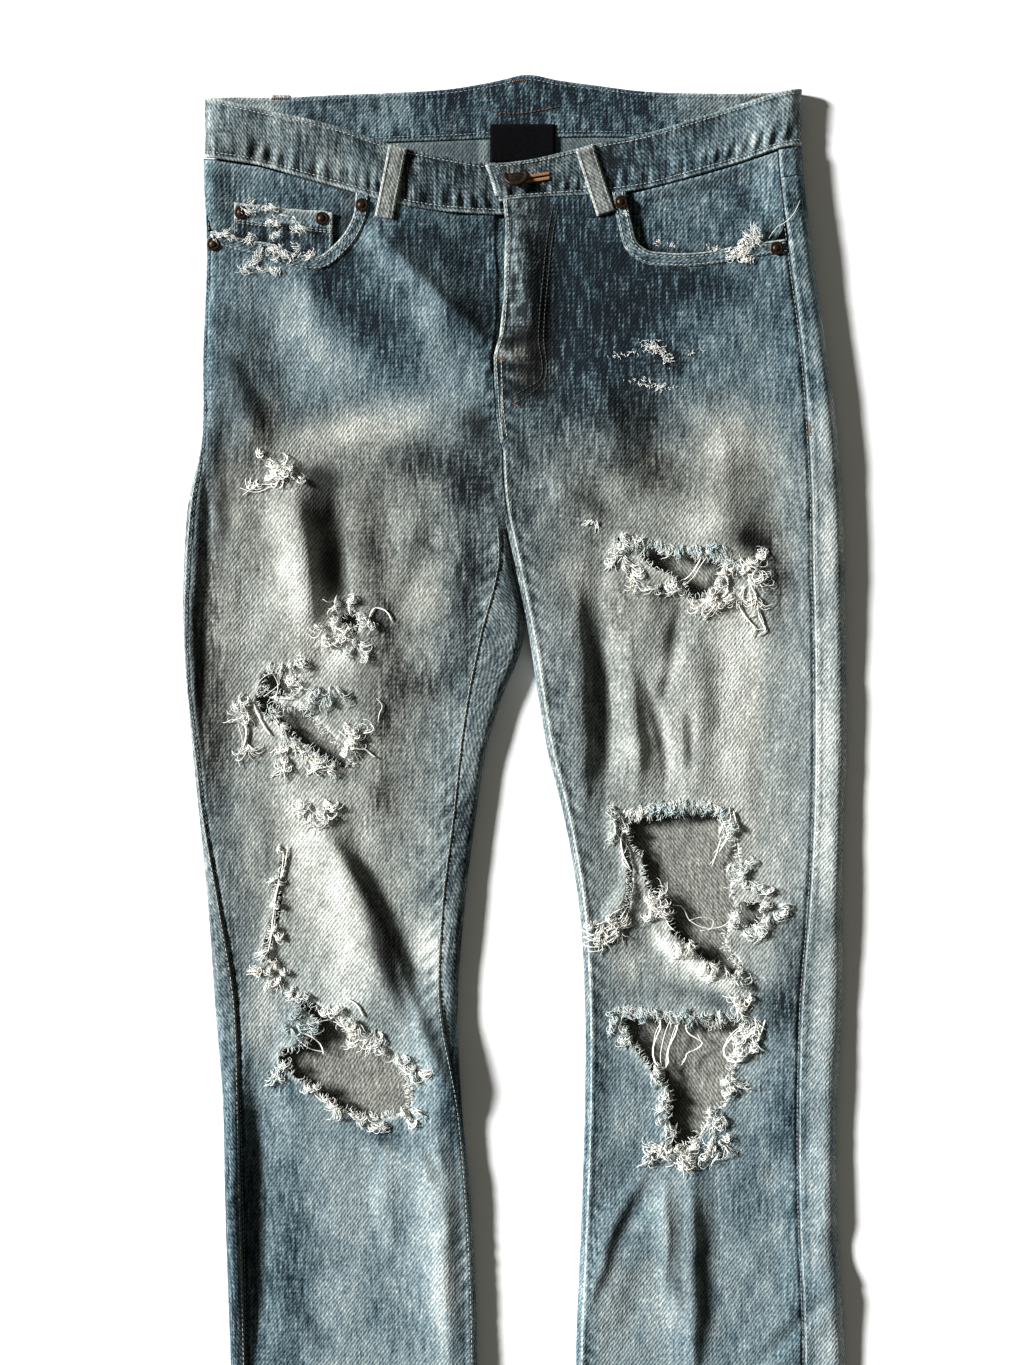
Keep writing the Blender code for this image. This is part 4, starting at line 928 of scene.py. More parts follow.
# Paler and darker spots, some of them faded cloth and some painted shade beside folds and loops: x,
# y, reach, reach, turn in degrees, tone, warmth.
spotRows = {
    "right": (
        (-124, 394, 20, 13, -20, -0.40, 0.0), (-102, 366, 34, 13, -48, -0.32, 0.0),
        (-66, 424, 16, 14, 0, -0.18, 0.0), (-42, 412, 26, 28, -45, -0.12, 0.0),
        (-152, 372, 30, 20, -40, 0.13, 0.0), (-128, 338, 34, 16, -30, 0.20, 0.0),
        (-84, 402, 34, 9, -50, 0.12, 0.0), (-56, 352, 13, 44, 8, 0.16, 0.0),
        (-30, 326, 12, 26, 0, 0.26, 0.0), (-66, 306, 34, 14, 10, 0.13, 0.0),
        (-112, 290, 46, 15, 8, 0.24, 0.6), (-182, 338, 13, 26, -30, -0.16, 0.3),
        (-176, 296, 11, 30, -15, -0.22, 0.6), (-200, 250, 10, 30, 0, 0.05, 0.5),
        (-36, 252, 16, 18, 0, -0.28, 0.0), (-66, 262, 18, 12, 0, -0.12, 0.0),
        (-182, 218, 9, 30, 0, -0.18, 0.6), (-152, 190, 15, 62, 4, 0.20, 0.4),
        (-124, 140, 13, 20, 0, 0.24, 0.4), (-100, 208, 10, 36, 8, -0.20, 0.4),
        (-90, 150, 9, 44, 8, -0.36, 0.4), (-64, 174, 14, 14, 0, 0.16, 0.3),
        (-36, 188, 12, 26, 0, -0.16, 0.0), (-70, 112, 16, 14, 0, -0.22, 0.2),
        (-92, 86, 11, 22, 0, -0.30, 0.3), (-210, 150, 11, 60, 0, -0.20, 0.9),
        (-212, 80, 10, 40, 0, -0.20, 0.6), (-180, 90, 12, 16, 0, 0.16, 0.3),
        (-92, 34, 10, 15, 0, -0.30, 0.3), (-38, 18, 12, 46, 0, -0.22, 0.0),
        (-150, 6, 12, 30, 0, 0.16, 0.3), (-120, -60, 13, 40, 14, 0.10, 0.3),
        (-120, 6, 9, 12, 0, -0.14, 0.3), (-88, -78, 9, 26, 14, -0.28, 0.3),
        (-62, -74, 12, 22, 10, 0.30, 0.2), (-38, -70, 10, 40, 0, -0.20, 0.0),
        (-180, -124, 12, 30, 0, 0.28, 0.2), (-40, -176, 11, 34, 0, -0.36, 0.0),
        (-152, -168, 12, 14, 0, -0.18, 0.0), (-92, -202, 18, 7, -15, -0.26, 0.0),
        (-156, -290, 13, 96, 0, -0.24, -0.1), (-50, -300, 11, 80, 0, 0.22, 0.0),
        (-196, 130, 9, 70, 0, 0.10, 0.0), (-52, 270, 15, 12, 0, -0.16, 0.0),
        (-186, 420, 22, 16, 0, 0.04, 0.0), (-80, 430, 12, 14, -40, -0.16, 0.0),
        (-150, 300, 24, 9, 10, -0.07, 0.0), (-36, 120, 9, 16, 0, -0.12, 0.0),
        (-34, 60, 8, 14, 0, 0.08, 0.0), (-110, -250, 14, 22, 0, 0.06, 0.0),
        (-96, -330, 16, 12, 0, -0.06, 0.0), (-120, -280, 60, 90, 0, -0.045, 0.0),
    ),
    "left": (
        (17, 392, 10, 60, 0, -0.26, 0.1), (14, 336, 14, 22, 0, -0.26, 0.9),
        (46, 392, 20, 58, 0, -0.26, 0.0), (74, 362, 22, 40, 0, -0.24, 0.0),
        (102, 388, 20, 16, 20, -0.22, 0.0), (124, 396, 26, 13, -10, -0.14, 0.0),
        (108, 340, 13, 12, 0, -0.28, 0.2), (158, 384, 24, 18, 20, -0.12, 0.0),
        (90, 306, 26, 24, -30, -0.22, 0.2), (186, 372, 12, 30, 0, -0.10, 0.0),
        (52, 306, 26, 14, 0, -0.12, 0.0), (150, 284, 22, 34, 20, 0.16, 0.5),
        (196, 330, 10, 30, 0, -0.08, 0.0), (100, 262, 12, 14, 0, -0.20, 0.4),
        (130, 226, 16, 14, 0, 0.20, 0.5), (172, 212, 16, 20, 30, -0.30, 0.6),
        (184, 186, 10, 14, 0, -0.20, 0.3), (78, 256, 9, 26, -50, 0.14, 0.0),
        (44, 186, 13, 18, 0, 0.14, 0.2), (20, 160, 9, 60, 0, 0.15, 0.0),
        (77, 166, 9, 24, 0, -0.22, 0.4), (104, 176, 14, 9, -20, -0.22, 0.4),
        (156, 110, 16, 66, 0, 0.18, 0.4), (214, 60, 8, 90, 0, 0.18, 0.0),
        (184, 168, 9, 16, 0, -0.16, 0.2), (186, 86, 10, 20, 0, -0.12, 0.0),
        (76, -82, 10, 14, 0, 0.20, 0.2), (186, -112, 18, 16, 10, -0.28, 0.0),
        (214, -54, 8, 20, 0, -0.18, 0.0), (194, -56, 14, 8, -20, -0.18, 0.0),
        (188, -190, 12, 22, 0, -0.18, 0.0), (162, -250, 12, 24, 0, -0.16, 0.0),
        (74, -196, 12, 24, 0, 0.12, 0.0), (105, -262, 10, 30, 0, 0.10, 0.0),
        (132, -226, 8, 14, 0, -0.20, 0.0), (66, -330, 12, 34, 0, 0.18, 0.0),
        (100, -330, 14, 30, 0, 0.14, 0.0), (205, -318, 16, 24, -40, -0.14, 0.0),
        (198, 449, 8, 7, 0, -0.28, 0.0), (204, 376, 7, 16, 0, -0.26, 0.0),
        (212, 322, 8, 13, 0, -0.22, 0.0), (222, 262, 8, 12, 0, -0.16, 0.0),
        (228, 190, 7, 14, 0, -0.18, 0.0), (232, 120, 7, 16, 0, -0.14, 0.0),
        (198, 60, 12, 110, 0, 0.12, 0.0), (34, 420, 14, 22, 0, -0.12, 0.0),
        (60, 400, 16, 26, 0, -0.12, 0.0), (88, 268, 12, 14, 0, -0.12, 0.0),
        (122, 300, 12, 9, 0, 0.08, 0.0), (170, 330, 20, 10, -10, 0.07, 0.0),
        (60, -150, 8, 16, 0, -0.10, 0.0), (62, -214, 7, 12, 0, 0.10, 0.0),
        (182, -236, 9, 14, 0, 0.10, 0.0), (98, 60, 12, 20, 0, 0.10, 0.0),
        (106, -70, 13, 5, -45, 0.24, 0.2), (142, -95, 28, 5, -31, 0.22, 0.2),
        (62, 372, 44, 66, 0, -0.09, 0.0), (128, -104, 26, 5, -14, -0.16, 0.0),
        (82, -72, 12, 14, 0, -0.10, 0.0), (196, -86, 16, 16, 0, -0.12, 0.0),
        (110, 392, 96, 100, 0, -0.075, 0.0), (110, 250, 60, 46, 0, -0.05, 0.0),
        (96, 424, 34, 20, 0, -0.08, 0.0), (6, 344, 12, 5, 0, 0.16, 0.6),
        (4, 327, 11, 4, 0, 0.14, 0.6),
    ),
}
# The line of the fly's double stitching, read by its wear and by its thread.
flyCurve = ((30, 447), (26, 424), (23, 396), (21, 375), (20, 356), (20, 325), (11, 316),
            (-1, 309))


def lineDistance(points, x, y, reach=12.0):
    # shortest distance to an open line, for the points within reach of its box
    line = openCurve(points, 2.0)
    best = np.full(np.shape(x), 99.0)
    low, high = line.min(axis=0) - reach, line.max(axis=0) + reach
    near = (x > low[0]) & (x < high[0]) & (y > low[1]) & (y < high[1])
    if near.any():
        dx = x[near][:, None] - line[None, :, 0]
        dy = y[near][:, None] - line[None, :, 1]
        best[near] = np.sqrt((dx * dx + dy * dy).min(axis=1))
    return best


def flyWearAndShade(x, y):
    # dark roping along the curved stitching; puckers that fade the cloth beside the fly's edge;
    # painted shade right of the placket
    rope = 0.6 + 0.6 * np.sin(y * 2 * math.pi / 8.5 + 2.5 * softNoise(x, y, 14, 24))
    tone = -0.40 * rope * hump(lineDistance(flyCurve, x, y), 0.0, 3.6)
    inside = x - lineAt(flyEdge, y, 1)
    isFly = smooth(y, 312.0, 330.0)
    pucker = np.sin(y * 2 * math.pi / 11.0 + 2.5 * softNoise(x, y, 18, 25))
    mottle = 0.6 * softNoise(x, y, 7, 27) + 0.5 * softNoise(x, y, 3.4, 28)
    plateau = np.exp(-(((inside - 9.0) / 7.0) ** 4))
    tone += isFly * (0.10 * pucker + 0.12 * mottle - 0.12) * plateau
    # painted shade right of the placket
    tone -= 0.28 * smooth(y, 340.0, 365.0) * hump(inside, 27.0, 10.0)
    tone += isFly * 0.30 * hump(inside, 0.8, 1.1) - isFly * 0.16 * hump(inside, 3.6, 1.4)
    return tone


def wearAndShadeAt(leg, x, y):
    # tone, warmth, raw cotton and painted shade at a point of the front's plan
    x, y = np.broadcast_arrays(np.asarray(x, float), np.asarray(y, float))
    rows = np.array(toneRows[leg], float)
    side = sideNames[leg]
    outseam = legEdge(leg, "outseam", y)
    inseam = np.where(y > crotchLevel, centreLine, legEdge(leg, "inseam", y))
    t = np.clip((x - outseam) / (inseam - outseam), 0.0, 1.0)
    levels = curveAt(y, rows[:, 0], rows[:, 1:])
    stations = (-1.0, *toneColumns, 2.0)
    tone = np.zeros(x.shape)
    for k in range(len(toneColumns)):
        # each column's share: a smooth hat about its own place
        left, here, right = stations[k:k + 3]
        tone += levels[..., k] * smooth(t, left, here) * (1.0 - smooth(t, here, right))
    tone += blobSum(spotRows, leg, x, y, 5)
    warm = blobSum(spotRows, leg, x, y, 6)
    thigh = smooth(y, 335.0, 250.0) * (1.0 - smooth(y, -40.0, -190.0))
    warm = warm + thigh * (0.45 + 0.40 * smooth(t, 0.0, 0.3) * (1.0 - smooth(t, 0.7, 1.0)))
    if leg == "left":
        tone += flyWearAndShade(x, y)
        warm = warm + 0.45 * smooth(y, 320.0, 350.0) * (1.0 - smooth(x, 16.0, 30.0))
    tone += 0.045 * softNoise(x, y * 0.6, 34, 21) + 0.05 * softNoise(x, y * 0.6, 12, 22)
    tone += 0.045 * softNoise(x, y * 0.5, 6, 26)
    # beside the seams the dye stays in patches and the ridge rubs pale
    out = (x - outseam) * side
    inn = (inseam - x) * side
    rope = seamRope(out, x, y)
    tone += 0.24 * hump(out, 1.0, 1.0) - 0.34 * hump(out, -1.1, 1.1)
    tone += 0.14 * rope * hump(out, 3.0, 8.0) - 0.05 * hump(out, 0.0, 16.0)
    if leg == "left":
        tone += 0.20 * smooth(out, 1.5, 7.0) * smooth(y, 470.0, 330.0)
        shown = 1.0
    else:
        tone -= 0.10 * smooth(out, 1.0, 5.0) * smooth(y, -160.0, -260.0)
        shown = smooth(y, 232.0, 214.0)
    tone += shown * 0.24 * hump(inn, -1.2, 1.0) + 0.20 * rope * hump(inn, -6.0, 6.0)
    torn = np.maximum(ripDistance(leg, x, y, 12.0), 0.0)
    tone += 0.16 * hump(torn, 0.0, 3.5) * (0.6 + 0.4 * softNoise(x, y, 5, 23))
    mouth = mouthDistance(leg, x, y)
    tone += 0.13 * hump(mouth, 1.0, 1.3) - 0.10 * hump(mouth, 10.6, 1.5)
    tone += 0.06 * hump(mouth, 8.6, 1.2)
    # painted shade along the folds; negative rows paint a highlight
    shade = 1.0 - np.clip(foldSum(paintedShadeRows, leg, x, y, 1.6), -0.6, 0.88)
    tone = wearRange["middle"] + wearRange["contrast"] * (tone - wearRange["middle"])
    return np.stack([tone, warm, 0.55 * hump(torn, 0.0, 1.6), shade], -1)


def sideLevel(leg):
    return 481.0 if leg == "right" else 489.5


def rowShift(x, level, seam, seamSide, top):
    # how far a row bends up or down so that the first row follows its seam
    return (lineAt(seam, x) - seamSide) * smooth(level, crotchLevel + 8.0, top)


frontGrid = dict(across=124, down=316, fold=0.5, ragged=1.3, probe=0.4, mostMove=1.5)


def tornDistance(leg, x, y):
    # distance to the nearest cut edge, roughened to a ragged outline
    ragged = frontGrid["ragged"] * (0.6 * softNoise(x, y, 4.5, 31) + 0.4 * softNoise(x, y, 2.2, 32))
    mouth = mouthDistance(leg, x, y) + 0.25 * softNoise(x, y, 4.0, 33)
    return np.minimum(ripDistance(leg, x, y) + ragged, mouth)


def frontPanel(leg):
    # level and share across the leg to a point; cells inside an opening are left out
    side = sideNames[leg]
    gap = seamGap / 2
    top = sideLevel(leg) - seamGap
    rows, columns = frontGrid["down"], frontGrid["across"]
    level = np.linspace(top, hemLevel, rows)[:, None]
    s = np.linspace(0.0, 1.0, columns)[None, :]
    spread = s - frontGrid["fold"] * np.sin(2 * math.pi * s) / (2 * math.pi)
    outer = legEdge(leg, "outseam", level) - side * gap
    opening = flyGap * smooth(level, flyBottom - 12.0, flyBottom + 12.0)
    fly = lineAt(flyEdge, level, 1) + (gap if leg == "left" else -gap - opening)
    inner = np.where(level >= crotchLevel, fly, legEdge(leg, "inseam", level) + side * gap)
    if leg == "right":
        # under the crotch the cloth runs on until it meets the other leg's edge
        meeting = (level < crotchLevel) * smooth(level, 206.0, 229.0)
        inner = inner + meeting * np.maximum(legEdge("left", "inseam", level) - 0.6 - inner, 0.0)
    x = outer + (inner - outer) * spread
    y = level + rowShift(x, level, frontWaistSeam[leg], sideLevel(leg), top)
    if leg == "left":
        bend = lineAt(flyEdge, np.minimum(y, 452.0), 1) - lineAt(flyEdge, level, 1)
        x = x + np.where(level >= crotchLevel, bend, 0.0) * spread**4
    distance = tornDistance(leg, x, y)
    quads = gridFaces(rows, columns, leg == "right")
    mean = distance.reshape(-1)[quads].mean(axis=1)
    kept, gone = quads[mean > 0], quads[mean <= 0]
    edge = np.intersect1d(kept, gone)
    ex, ey, ed = x.reshape(-1)[edge], y.reshape(-1)[edge], distance.reshape(-1)[edge]
    # the rim's points move down the slope of the distance, onto the cut edge
    h, most = frontGrid["probe"], frontGrid["mostMove"]
    gx = (tornDistance(leg, ex + h, ey) - tornDistance(leg, ex - h, ey)) / (2 * h)
    gy = (tornDistance(leg, ex, ey + h) - tornDistance(leg, ex, ey - h)) / (2 * h)
    move = -np.clip(ed, -most, most) / np.maximum(np.hypot(gx, gy), 0.5) ** 2
    x, y = x.reshape(-1).copy(), y.reshape(-1).copy()
    x[edge] += move * gx
    y[edge] += move * gy
    used, faces = packed(len(x), kept)
    x, y = x[used], y[used]
    return clothPiece("front_panel_" + leg, "front_" + leg,
                      np.stack([x, y, topHeight(leg, x, y)], -1), faces,
                      [washedDenim, denimInside, rawEdge], np.stack([x, y], -1),
                      wearAndShadeAt(leg, x, y), clothThickness, 2)


backGrid = dict(down=240, strip=9, roll=7, flat=22)


def backSeams(leg):
    # the back's waist seam, and the yoke's lower seam that slopes to the centre
    waist = backWaistSeam[leg]
    side = (-222.0 if leg == "right" else 206.0, sideLevel(leg) - yokeSideDrop)
    return waist, (side, (centreLine, float(lineAt(waist, centreLine)) - yokeCentreDrop))


def backStations(leg, level, seam, seamSide, top):
    # one station per row: outseam, over the outer roll, along the floor and, below the
    # crotch, up the inner roll to the inseam
    side = sideNames[leg]
    gap = seamGap / 2
    level = np.asarray(level, float)[:, None]
    outer, inner, outseam, inseam = (
        legEdge(leg, name, level) for name in ("outer", "inner", "outseam", "inseam"))
    width = rollWidth(level)
    wrapped = (level <= fullWallLevel)
    middle = centreLine + side * gap
    bend = 1.0 - np.cos(np.linspace(0.0, math.pi / 2, backGrid["roll"])[None, :])
    strip = np.linspace(0.0, 1.0, backGrid["strip"])[None, :]
    # the top strip runs out to the edge, its stations closer together towards the edge
    stripX = outer + (outseam + side * gap - outer) * np.cos(strip * math.pi / 2)
    underX = outer - side * width * bend
    inside = np.where(wrapped, inner + side * width * bend[:, ::-1],
                      middle + side * 22.0 * bend[:, ::-1])
    share = np.linspace(0, 1, backGrid["flat"] + 2)[None, 1:-1]
    flat = underX[:, -1:] + (inside[:, :1] - underX[:, -1:]) * share
    topInX = np.where(wrapped, inner + (inseam - side * gap - inner) * strip, middle)
    x = np.concatenate([stripX, underX[:, 1:], flat, inside, topInX[:, 1:]], axis=1)
    n, m = backGrid["strip"], backGrid["strip"] - 1
    y = level + rowShift(x, level, seam, seamSide, top)
    front = rowShift(x, level, frontWaistSeam[leg], sideLevel(leg), sideLevel(leg) - gap * 2)
    y[:, :n] = (level + front)[:, :n]
    y[:, -m:] = np.where(wrapped, level, y[:, -m:])
    z = floorHeight(leg, x, y)
    # the strips on top lie a little under the front's seam
    z[:, :n] = topHeight(leg, x[:, :n], y[:, :n])
    z[:, -m:] = np.where(wrapped, topHeight(leg, x[:, -m:], y[:, -m:]), z[:, -m:])
    # between crotch and seat the seat seam closes the wall, lower from row to row
    climb = (1.0 - smooth(level, fullWallLevel, crotchLevel + 26.0)) * (level > fullWallLevel)
    rise = np.linspace(0.0, 1.0, m)[None, :] * 3.4 * climb
    z[:, -m:] = np.where(wrapped, z[:, -m:], z[:, -m:] + rise)
    return x, y, z


def backWearAndShade(leg, x, y, z):
    # the visible strips follow the front's wear and painted shade; below, a plain even wash
    wearAndShade = wearAndShadeAt(leg, x, y)
    centre = 0.5 * heightAt("edge", y)
    under = smooth(z, centre + 1.0, centre - 2.5)
    plain = 0.50 + 0.05 * softNoise(x, y, 40, 41) + 0.06 * hump(x, sideNames[leg] * 110.0, 60.0)
    wearAndShade[..., 0] = wearAndShade[..., 0] * (1.0 - under) + plain * under
    wearAndShade[..., 1] *= 1.0 - under
    wearAndShade[..., 2] *= 1.0 - under
    # painted shadow of a hole's sun-side edges on the inside face, deepest close to the edge
    hole = smooth(-ripDistance(leg, x, y, 30.0), -3.0, 2.0) * under
    near = smooth(ripDistance(leg, x - 7.0, y + 2.0, 30.0), -5.0, 3.0)
    far = smooth(ripDistance(leg, x - 14.0, y + 4.0, 30.0), -7.0, 3.0)
    wearAndShade[..., 3] *= (1.0 - 0.62 * near * hole) * (1.0 - 0.42 * far * hole)
    return wearAndShade


def wrappedUv(x, y, z):
    # the distance along the cloth round the leg, clear of the front's, and the level
    steps = np.hypot(np.diff(x, axis=1, prepend=x[:, :1]), np.diff(z, axis=1, prepend=z[:, :1]))
    return np.stack([np.cumsum(steps, axis=1) + 400.0, y], -1)


def backPanel(leg):
    yoke = backSeams(leg)[1]
    side = sideLevel(leg) - yokeSideDrop
    levels = np.linspace(side - seamGap, hemLevel, backGrid["down"])
    x, y, z = backStations(leg, levels, yoke, side, levels[0])
    return clothPiece("back_panel_" + leg, "back_" + leg, np.stack([x, y, z], -1),
                      gridFaces(*x.shape, flip=leg == "left"), [washedDenim, denimInside],
                      wrappedUv(x, y, z), backWearAndShade(leg, x, y, z), clothThickness)


yokeSteps = 18


def yokePanel(leg):
    # straight lines between the two seams' stations
    waist, yoke = backSeams(leg)
    side = sideLevel(leg)
    low = side - yokeSideDrop
    upper = np.stack(backStations(leg, [side - seamGap], waist, side, side - seamGap), -1)[0]
    lower = np.stack(backStations(leg, [low], yoke, low, low), -1)[0]
    grid = upper[None] + (lower - upper)[None] * np.linspace(0.0, 1.0, yokeSteps)[:, None, None]
    x, y, z = grid[..., 0], grid[..., 1], grid[..., 2]
    wearAndShade = backWearAndShade(leg, x, y, z)
    # painted shade on the yoke's inside about the centre back
    wearAndShade[..., 3] *= 1.0 - 0.45 * smooth(x, -110.0, -60.0) * smooth(-x, -130.0, -70.0)
    wearAndShade[..., 0] += 0.30 * np.exp(-(((x + 21.0) / 2.4) ** 4)) - 0.15 * hump(x, -17.0, 1.2)
    return clothPiece("yoke_panel_" + leg, "yoke_" + leg, grid,
                      gridFaces(*x.shape, flip=leg == "left"), [washedDenim, bandInside],
                      wrappedUv(x, y, z), wearAndShade, clothThickness)


hemForm = dict(depth=13.0, foot=0.5, rows=7, across=40, inset=0.35, wall=0.8)


def hemRing(leg):
    # the turned-up allowance inside the leg's end: a ring one layer in from the cloth
    side = sideNames[leg]
    levels = np.linspace(hemLevel + hemForm["depth"], hemLevel + hemForm["foot"], hemForm["rows"])
    bx, by, bz = backStations(leg, levels, backSeams(leg)[1], levels[0], sideLevel(leg))
    t = np.linspace(0.0, 1.0, hemForm["across"])[None, 1:-1]
    start, end = bx[:, -1:], bx[:, :1]
    fx = start + (end - start) * t
    fy = np.broadcast_to(levels[:, None], fx.shape)
    x = np.concatenate([bx, fx], axis=1)
    y = np.concatenate([by, fy], axis=1)
    z = np.concatenate([bz, topHeight(leg, fx, fy)], axis=1)
    # inwards along the ring's own normal, in the plane across the leg
    tx = np.roll(x, -1, axis=1) - np.roll(x, 1, axis=1)
    tz = np.roll(z, -1, axis=1) - np.roll(z, 1, axis=1)
    size = np.maximum(np.hypot(tx, tz), 1e-6)
    depth = clothThickness + hemForm["inset"]
    x, z = x + side * tz / size * depth, z - side * tx / size * depth
    return clothPiece("hem_band_" + leg, "hem_" + leg, np.stack([x, y, z], -1),
                      gridFaces(*x.shape, flip=leg == "left", wrap=True),
                      [washedDenim, denimInside], np.stack([x, y], -1), wearAndShadeOf(x, 0.52, 0.1),
                      clothThickness * hemForm["wall"])


def lineNormals(path):
    # unit normals in the plan, to the left of the line
    tangent = np.gradient(path, axis=0)
    tangent /= np.linalg.norm(tangent, axis=1, keepdims=True)
    return np.stack([-tangent[:, 1], tangent[:, 0]], -1)


def ribbonMesh(path, width, thickness, base, lift=0.0, across=6, offset=0.0, sink=0.3):
    # a flat strip along a plan path: a rounded top over the base height, a plain
    # underside, and closed ends; the ring of each station runs over the top and back under
    path = np.asarray(path, float)
    q = np.linspace(-0.5, 0.5, across)
    q = np.sign(q) * 0.5 * (np.abs(2 * q) ** 0.8)
    plan = path[:, None] + lineNormals(path)[:, None] * (offset + q[None, :, None] * width)
    x, y = plan[..., 0], plan[..., 1]
    under = base(x, y) + lift
    crown = np.sqrt(np.clip(1.0 - np.abs(2 * q) ** 6, 0.0, 1.0))
    high = under + thickness * (0.35 + 0.65 * crown)[None, :]
    ring = np.concatenate([np.stack([x, y, high], -1),
                           np.stack([x, y, under - sink], -1)[:, ::-1]], axis=1)
    rows, columns = ring.shape[:2]
    run = runAlong(path)
    over = np.concatenate([q, q[::-1]])
    uv = np.stack(np.broadcast_arrays(over[None, :] * width + 50.0, run[:, None]), -1)
    return (ring.reshape(-1, 3), tubeFaces(rows, columns), uv, np.tile(2 * over, rows),
            np.repeat(run, columns))


stitches = []


def stitchAlong(points, pitch, length, radius, tint, jitter=0.12):
    # evenly spaced stitches along a 3-D line: both ends, radius and colour of each
    points = np.asarray(points, float)
    run = runAlong(points)
    at = np.arange(0.5 * pitch, run[-1], pitch)
    if not len(at):
        return
    k = np.arange(len(at)) % 256
    at = at + jitter * pitch * (lattice[k, int(run[-1]) % 256] - 0.5)
    ends = [np.stack([np.interp(at + s * 0.5 * length, run, points[:, i]) for i in range(3)], -1)
            for s in (-1, 1)]
    tone = 0.82 + 0.36 * lattice[k, (int(run[-1]) + 7) % 256]
    stitches.append((*ends, np.full(len(at), radius), np.array(tint)[None, :] * tone[:, None]))


def sewOn(leg, x, y, lift, *look):
    # a row of stitches over the front's face
    x, y = np.broadcast_arrays(x, y)
    stitchAlong(np.column_stack([x, y, topHeight(leg, x, y) + lift]), *look)


def oneStitch(start, end, radius, tint):
    stitches.append((np.array([start]), np.array([end]), np.array([radius]), np.array([tint])))


def sewAlong(leg, path, lift, *look):
    # the same along a plan path, smoothed where it has more than two points
    if len(path) > 2:
        plan = openCurve(path, 2.0)
    else:
        t = np.linspace(0, 1, 40)
        plan = np.array([np.interp(t, [0, 1], [p[k] for p in path]) for k in range(2)]).T
    sewOn(leg, plan[:, 0], plan[:, 1], lift, *look)


def stitchMesh(name):
    # every stitch is a stretched bead: two tips and two rings of four points
    a, b, radius, colour = (np.concatenate([s[k] for s in stitches]) for k in range(4))
    d = b - a
    size = np.linalg.norm(d, axis=1, keepdims=True)
    d = d / size
    side = np.cross(d, (0.0, 0.0, 1.0))
    side /= np.maximum(np.linalg.norm(side, axis=1, keepdims=True), 1e-6)
    up = np.cross(side, d)
    turn = np.arange(4)[None, :, None] * math.pi / 2
    around = (side[:, None] * np.cos(turn) + up[:, None] * np.sin(turn)) * radius[:, None, None]
    first = (a + 0.18 * size * d)[:, None] + around
    last = (b - 0.18 * size * d)[:, None] + around
    points = np.concatenate([a[:, None], first, last, b[:, None]], axis=1)
    j = np.arange(4)
    k = (j + 1) % 4
    tips = np.concatenate([np.stack([0 * j, 1 + j, 1 + k], -1),
                           np.stack([0 * j + 9, 5 + k, 5 + j], -1)])
    sides = np.stack([1 + j, 5 + j, 5 + k, 1 + k], -1)
    shift = (np.arange(len(a)) * 10)[:, None, None]
    faces = [(tips[None] + shift).reshape(-1, 3), (sides[None] + shift).reshape(-1, 4)]
    wearAndShade = np.concatenate([np.repeat(colour, 10, axis=0), np.ones((len(a) * 10, 1))], axis=1)
    return makeMesh(name, points, faces, [seamThread], wearAndShade=wearAndShade)


def tubeMesh(paths, radius, colour):
    # three-sided tubes along many lines at once, thinner at their ends and closed
    n, k = paths.shape[:2]
    tangent = np.gradient(paths, axis=1)
    tangent /= np.maximum(np.linalg.norm(tangent, axis=2, keepdims=True), 1e-6)
    side = np.cross(tangent, (0.0, 0.05, 1.0))
    side /= np.maximum(np.linalg.norm(side, axis=2, keepdims=True), 1e-6)
    up = np.cross(side, tangent)
    share = np.linspace(0.0, 1.0, k)
    taper = 0.5 + 0.5 * np.sqrt(np.clip(1.0 - np.abs(2 * share - 1.0) ** 4, 0, 1))
    turn = np.arange(3) * 2 * math.pi / 3 + 0.5
    ring = side[:, :, None] * np.cos(turn)[:, None] + up[:, :, None] * np.sin(turn)[:, None]
    points = paths[:, :, None] + ring * (radius[:, None] * taper[None, :])[:, :, None, None]
    i, j = np.meshgrid(np.arange(k - 1), np.arange(3), indexing="ij")
    m = (j + 1) % 3
    quads = np.stack([i * 3 + j, (i + 1) * 3 + j, (i + 1) * 3 + m, i * 3 + m], -1).reshape(-1, 4)
    caps = np.array([[0, 1, 2], [(k - 1) * 3 + 2, (k - 1) * 3 + 1, (k - 1) * 3]])
    shift = (np.arange(n) * k * 3)[:, None, None]
    faces = [(quads[None] + shift).reshape(-1, 4), (caps[None] + shift).reshape(-1, 3)]
    wearAndShade = np.concatenate([np.repeat(colour, k * 3, axis=0), np.ones((n * k * 3, 1))], axis=1)
    return points.reshape(-1, 3), faces, wearAndShade


threadLook = dict(radius=0.27, curl=0.44, points=8, longPoints=18, lock=9, hang=-97,
                  cream=(0.83, 0.80, 0.71), blue=(0.38, 0.49, 0.50), white=(0.93, 0.93, 0.90))


def addTubes(bundle, lines, radii, colours):
    for kept, value in zip(bundle, (lines, radii, colours)):
        kept.append(value)


def addLine(bundle, line, z, radius, colour):
    addTubes(bundle, np.column_stack([line, z])[None], np.array([radius]), colour)


def sampled(line, count):
    # "count" of the line's own points, spread evenly
    return line[np.linspace(0, len(line) - 1, count).astype(int)]


def joinedTubes(bundles):
    # several bundles of tubes, each with its own number of points a line, as one mesh
    points, faces, wearAndShade, start = [], [], [], 0
    for paths, radii, colours in bundles:
        p, f, w = tubeMesh(np.concatenate(paths), np.concatenate(radii), np.concatenate(colours))
        points.append(p)
        faces += [patch + start for patch in f]
        wearAndShade.append(w)
        start += len(p)
    return np.concatenate(points), faces, np.concatenate(wearAndShade)


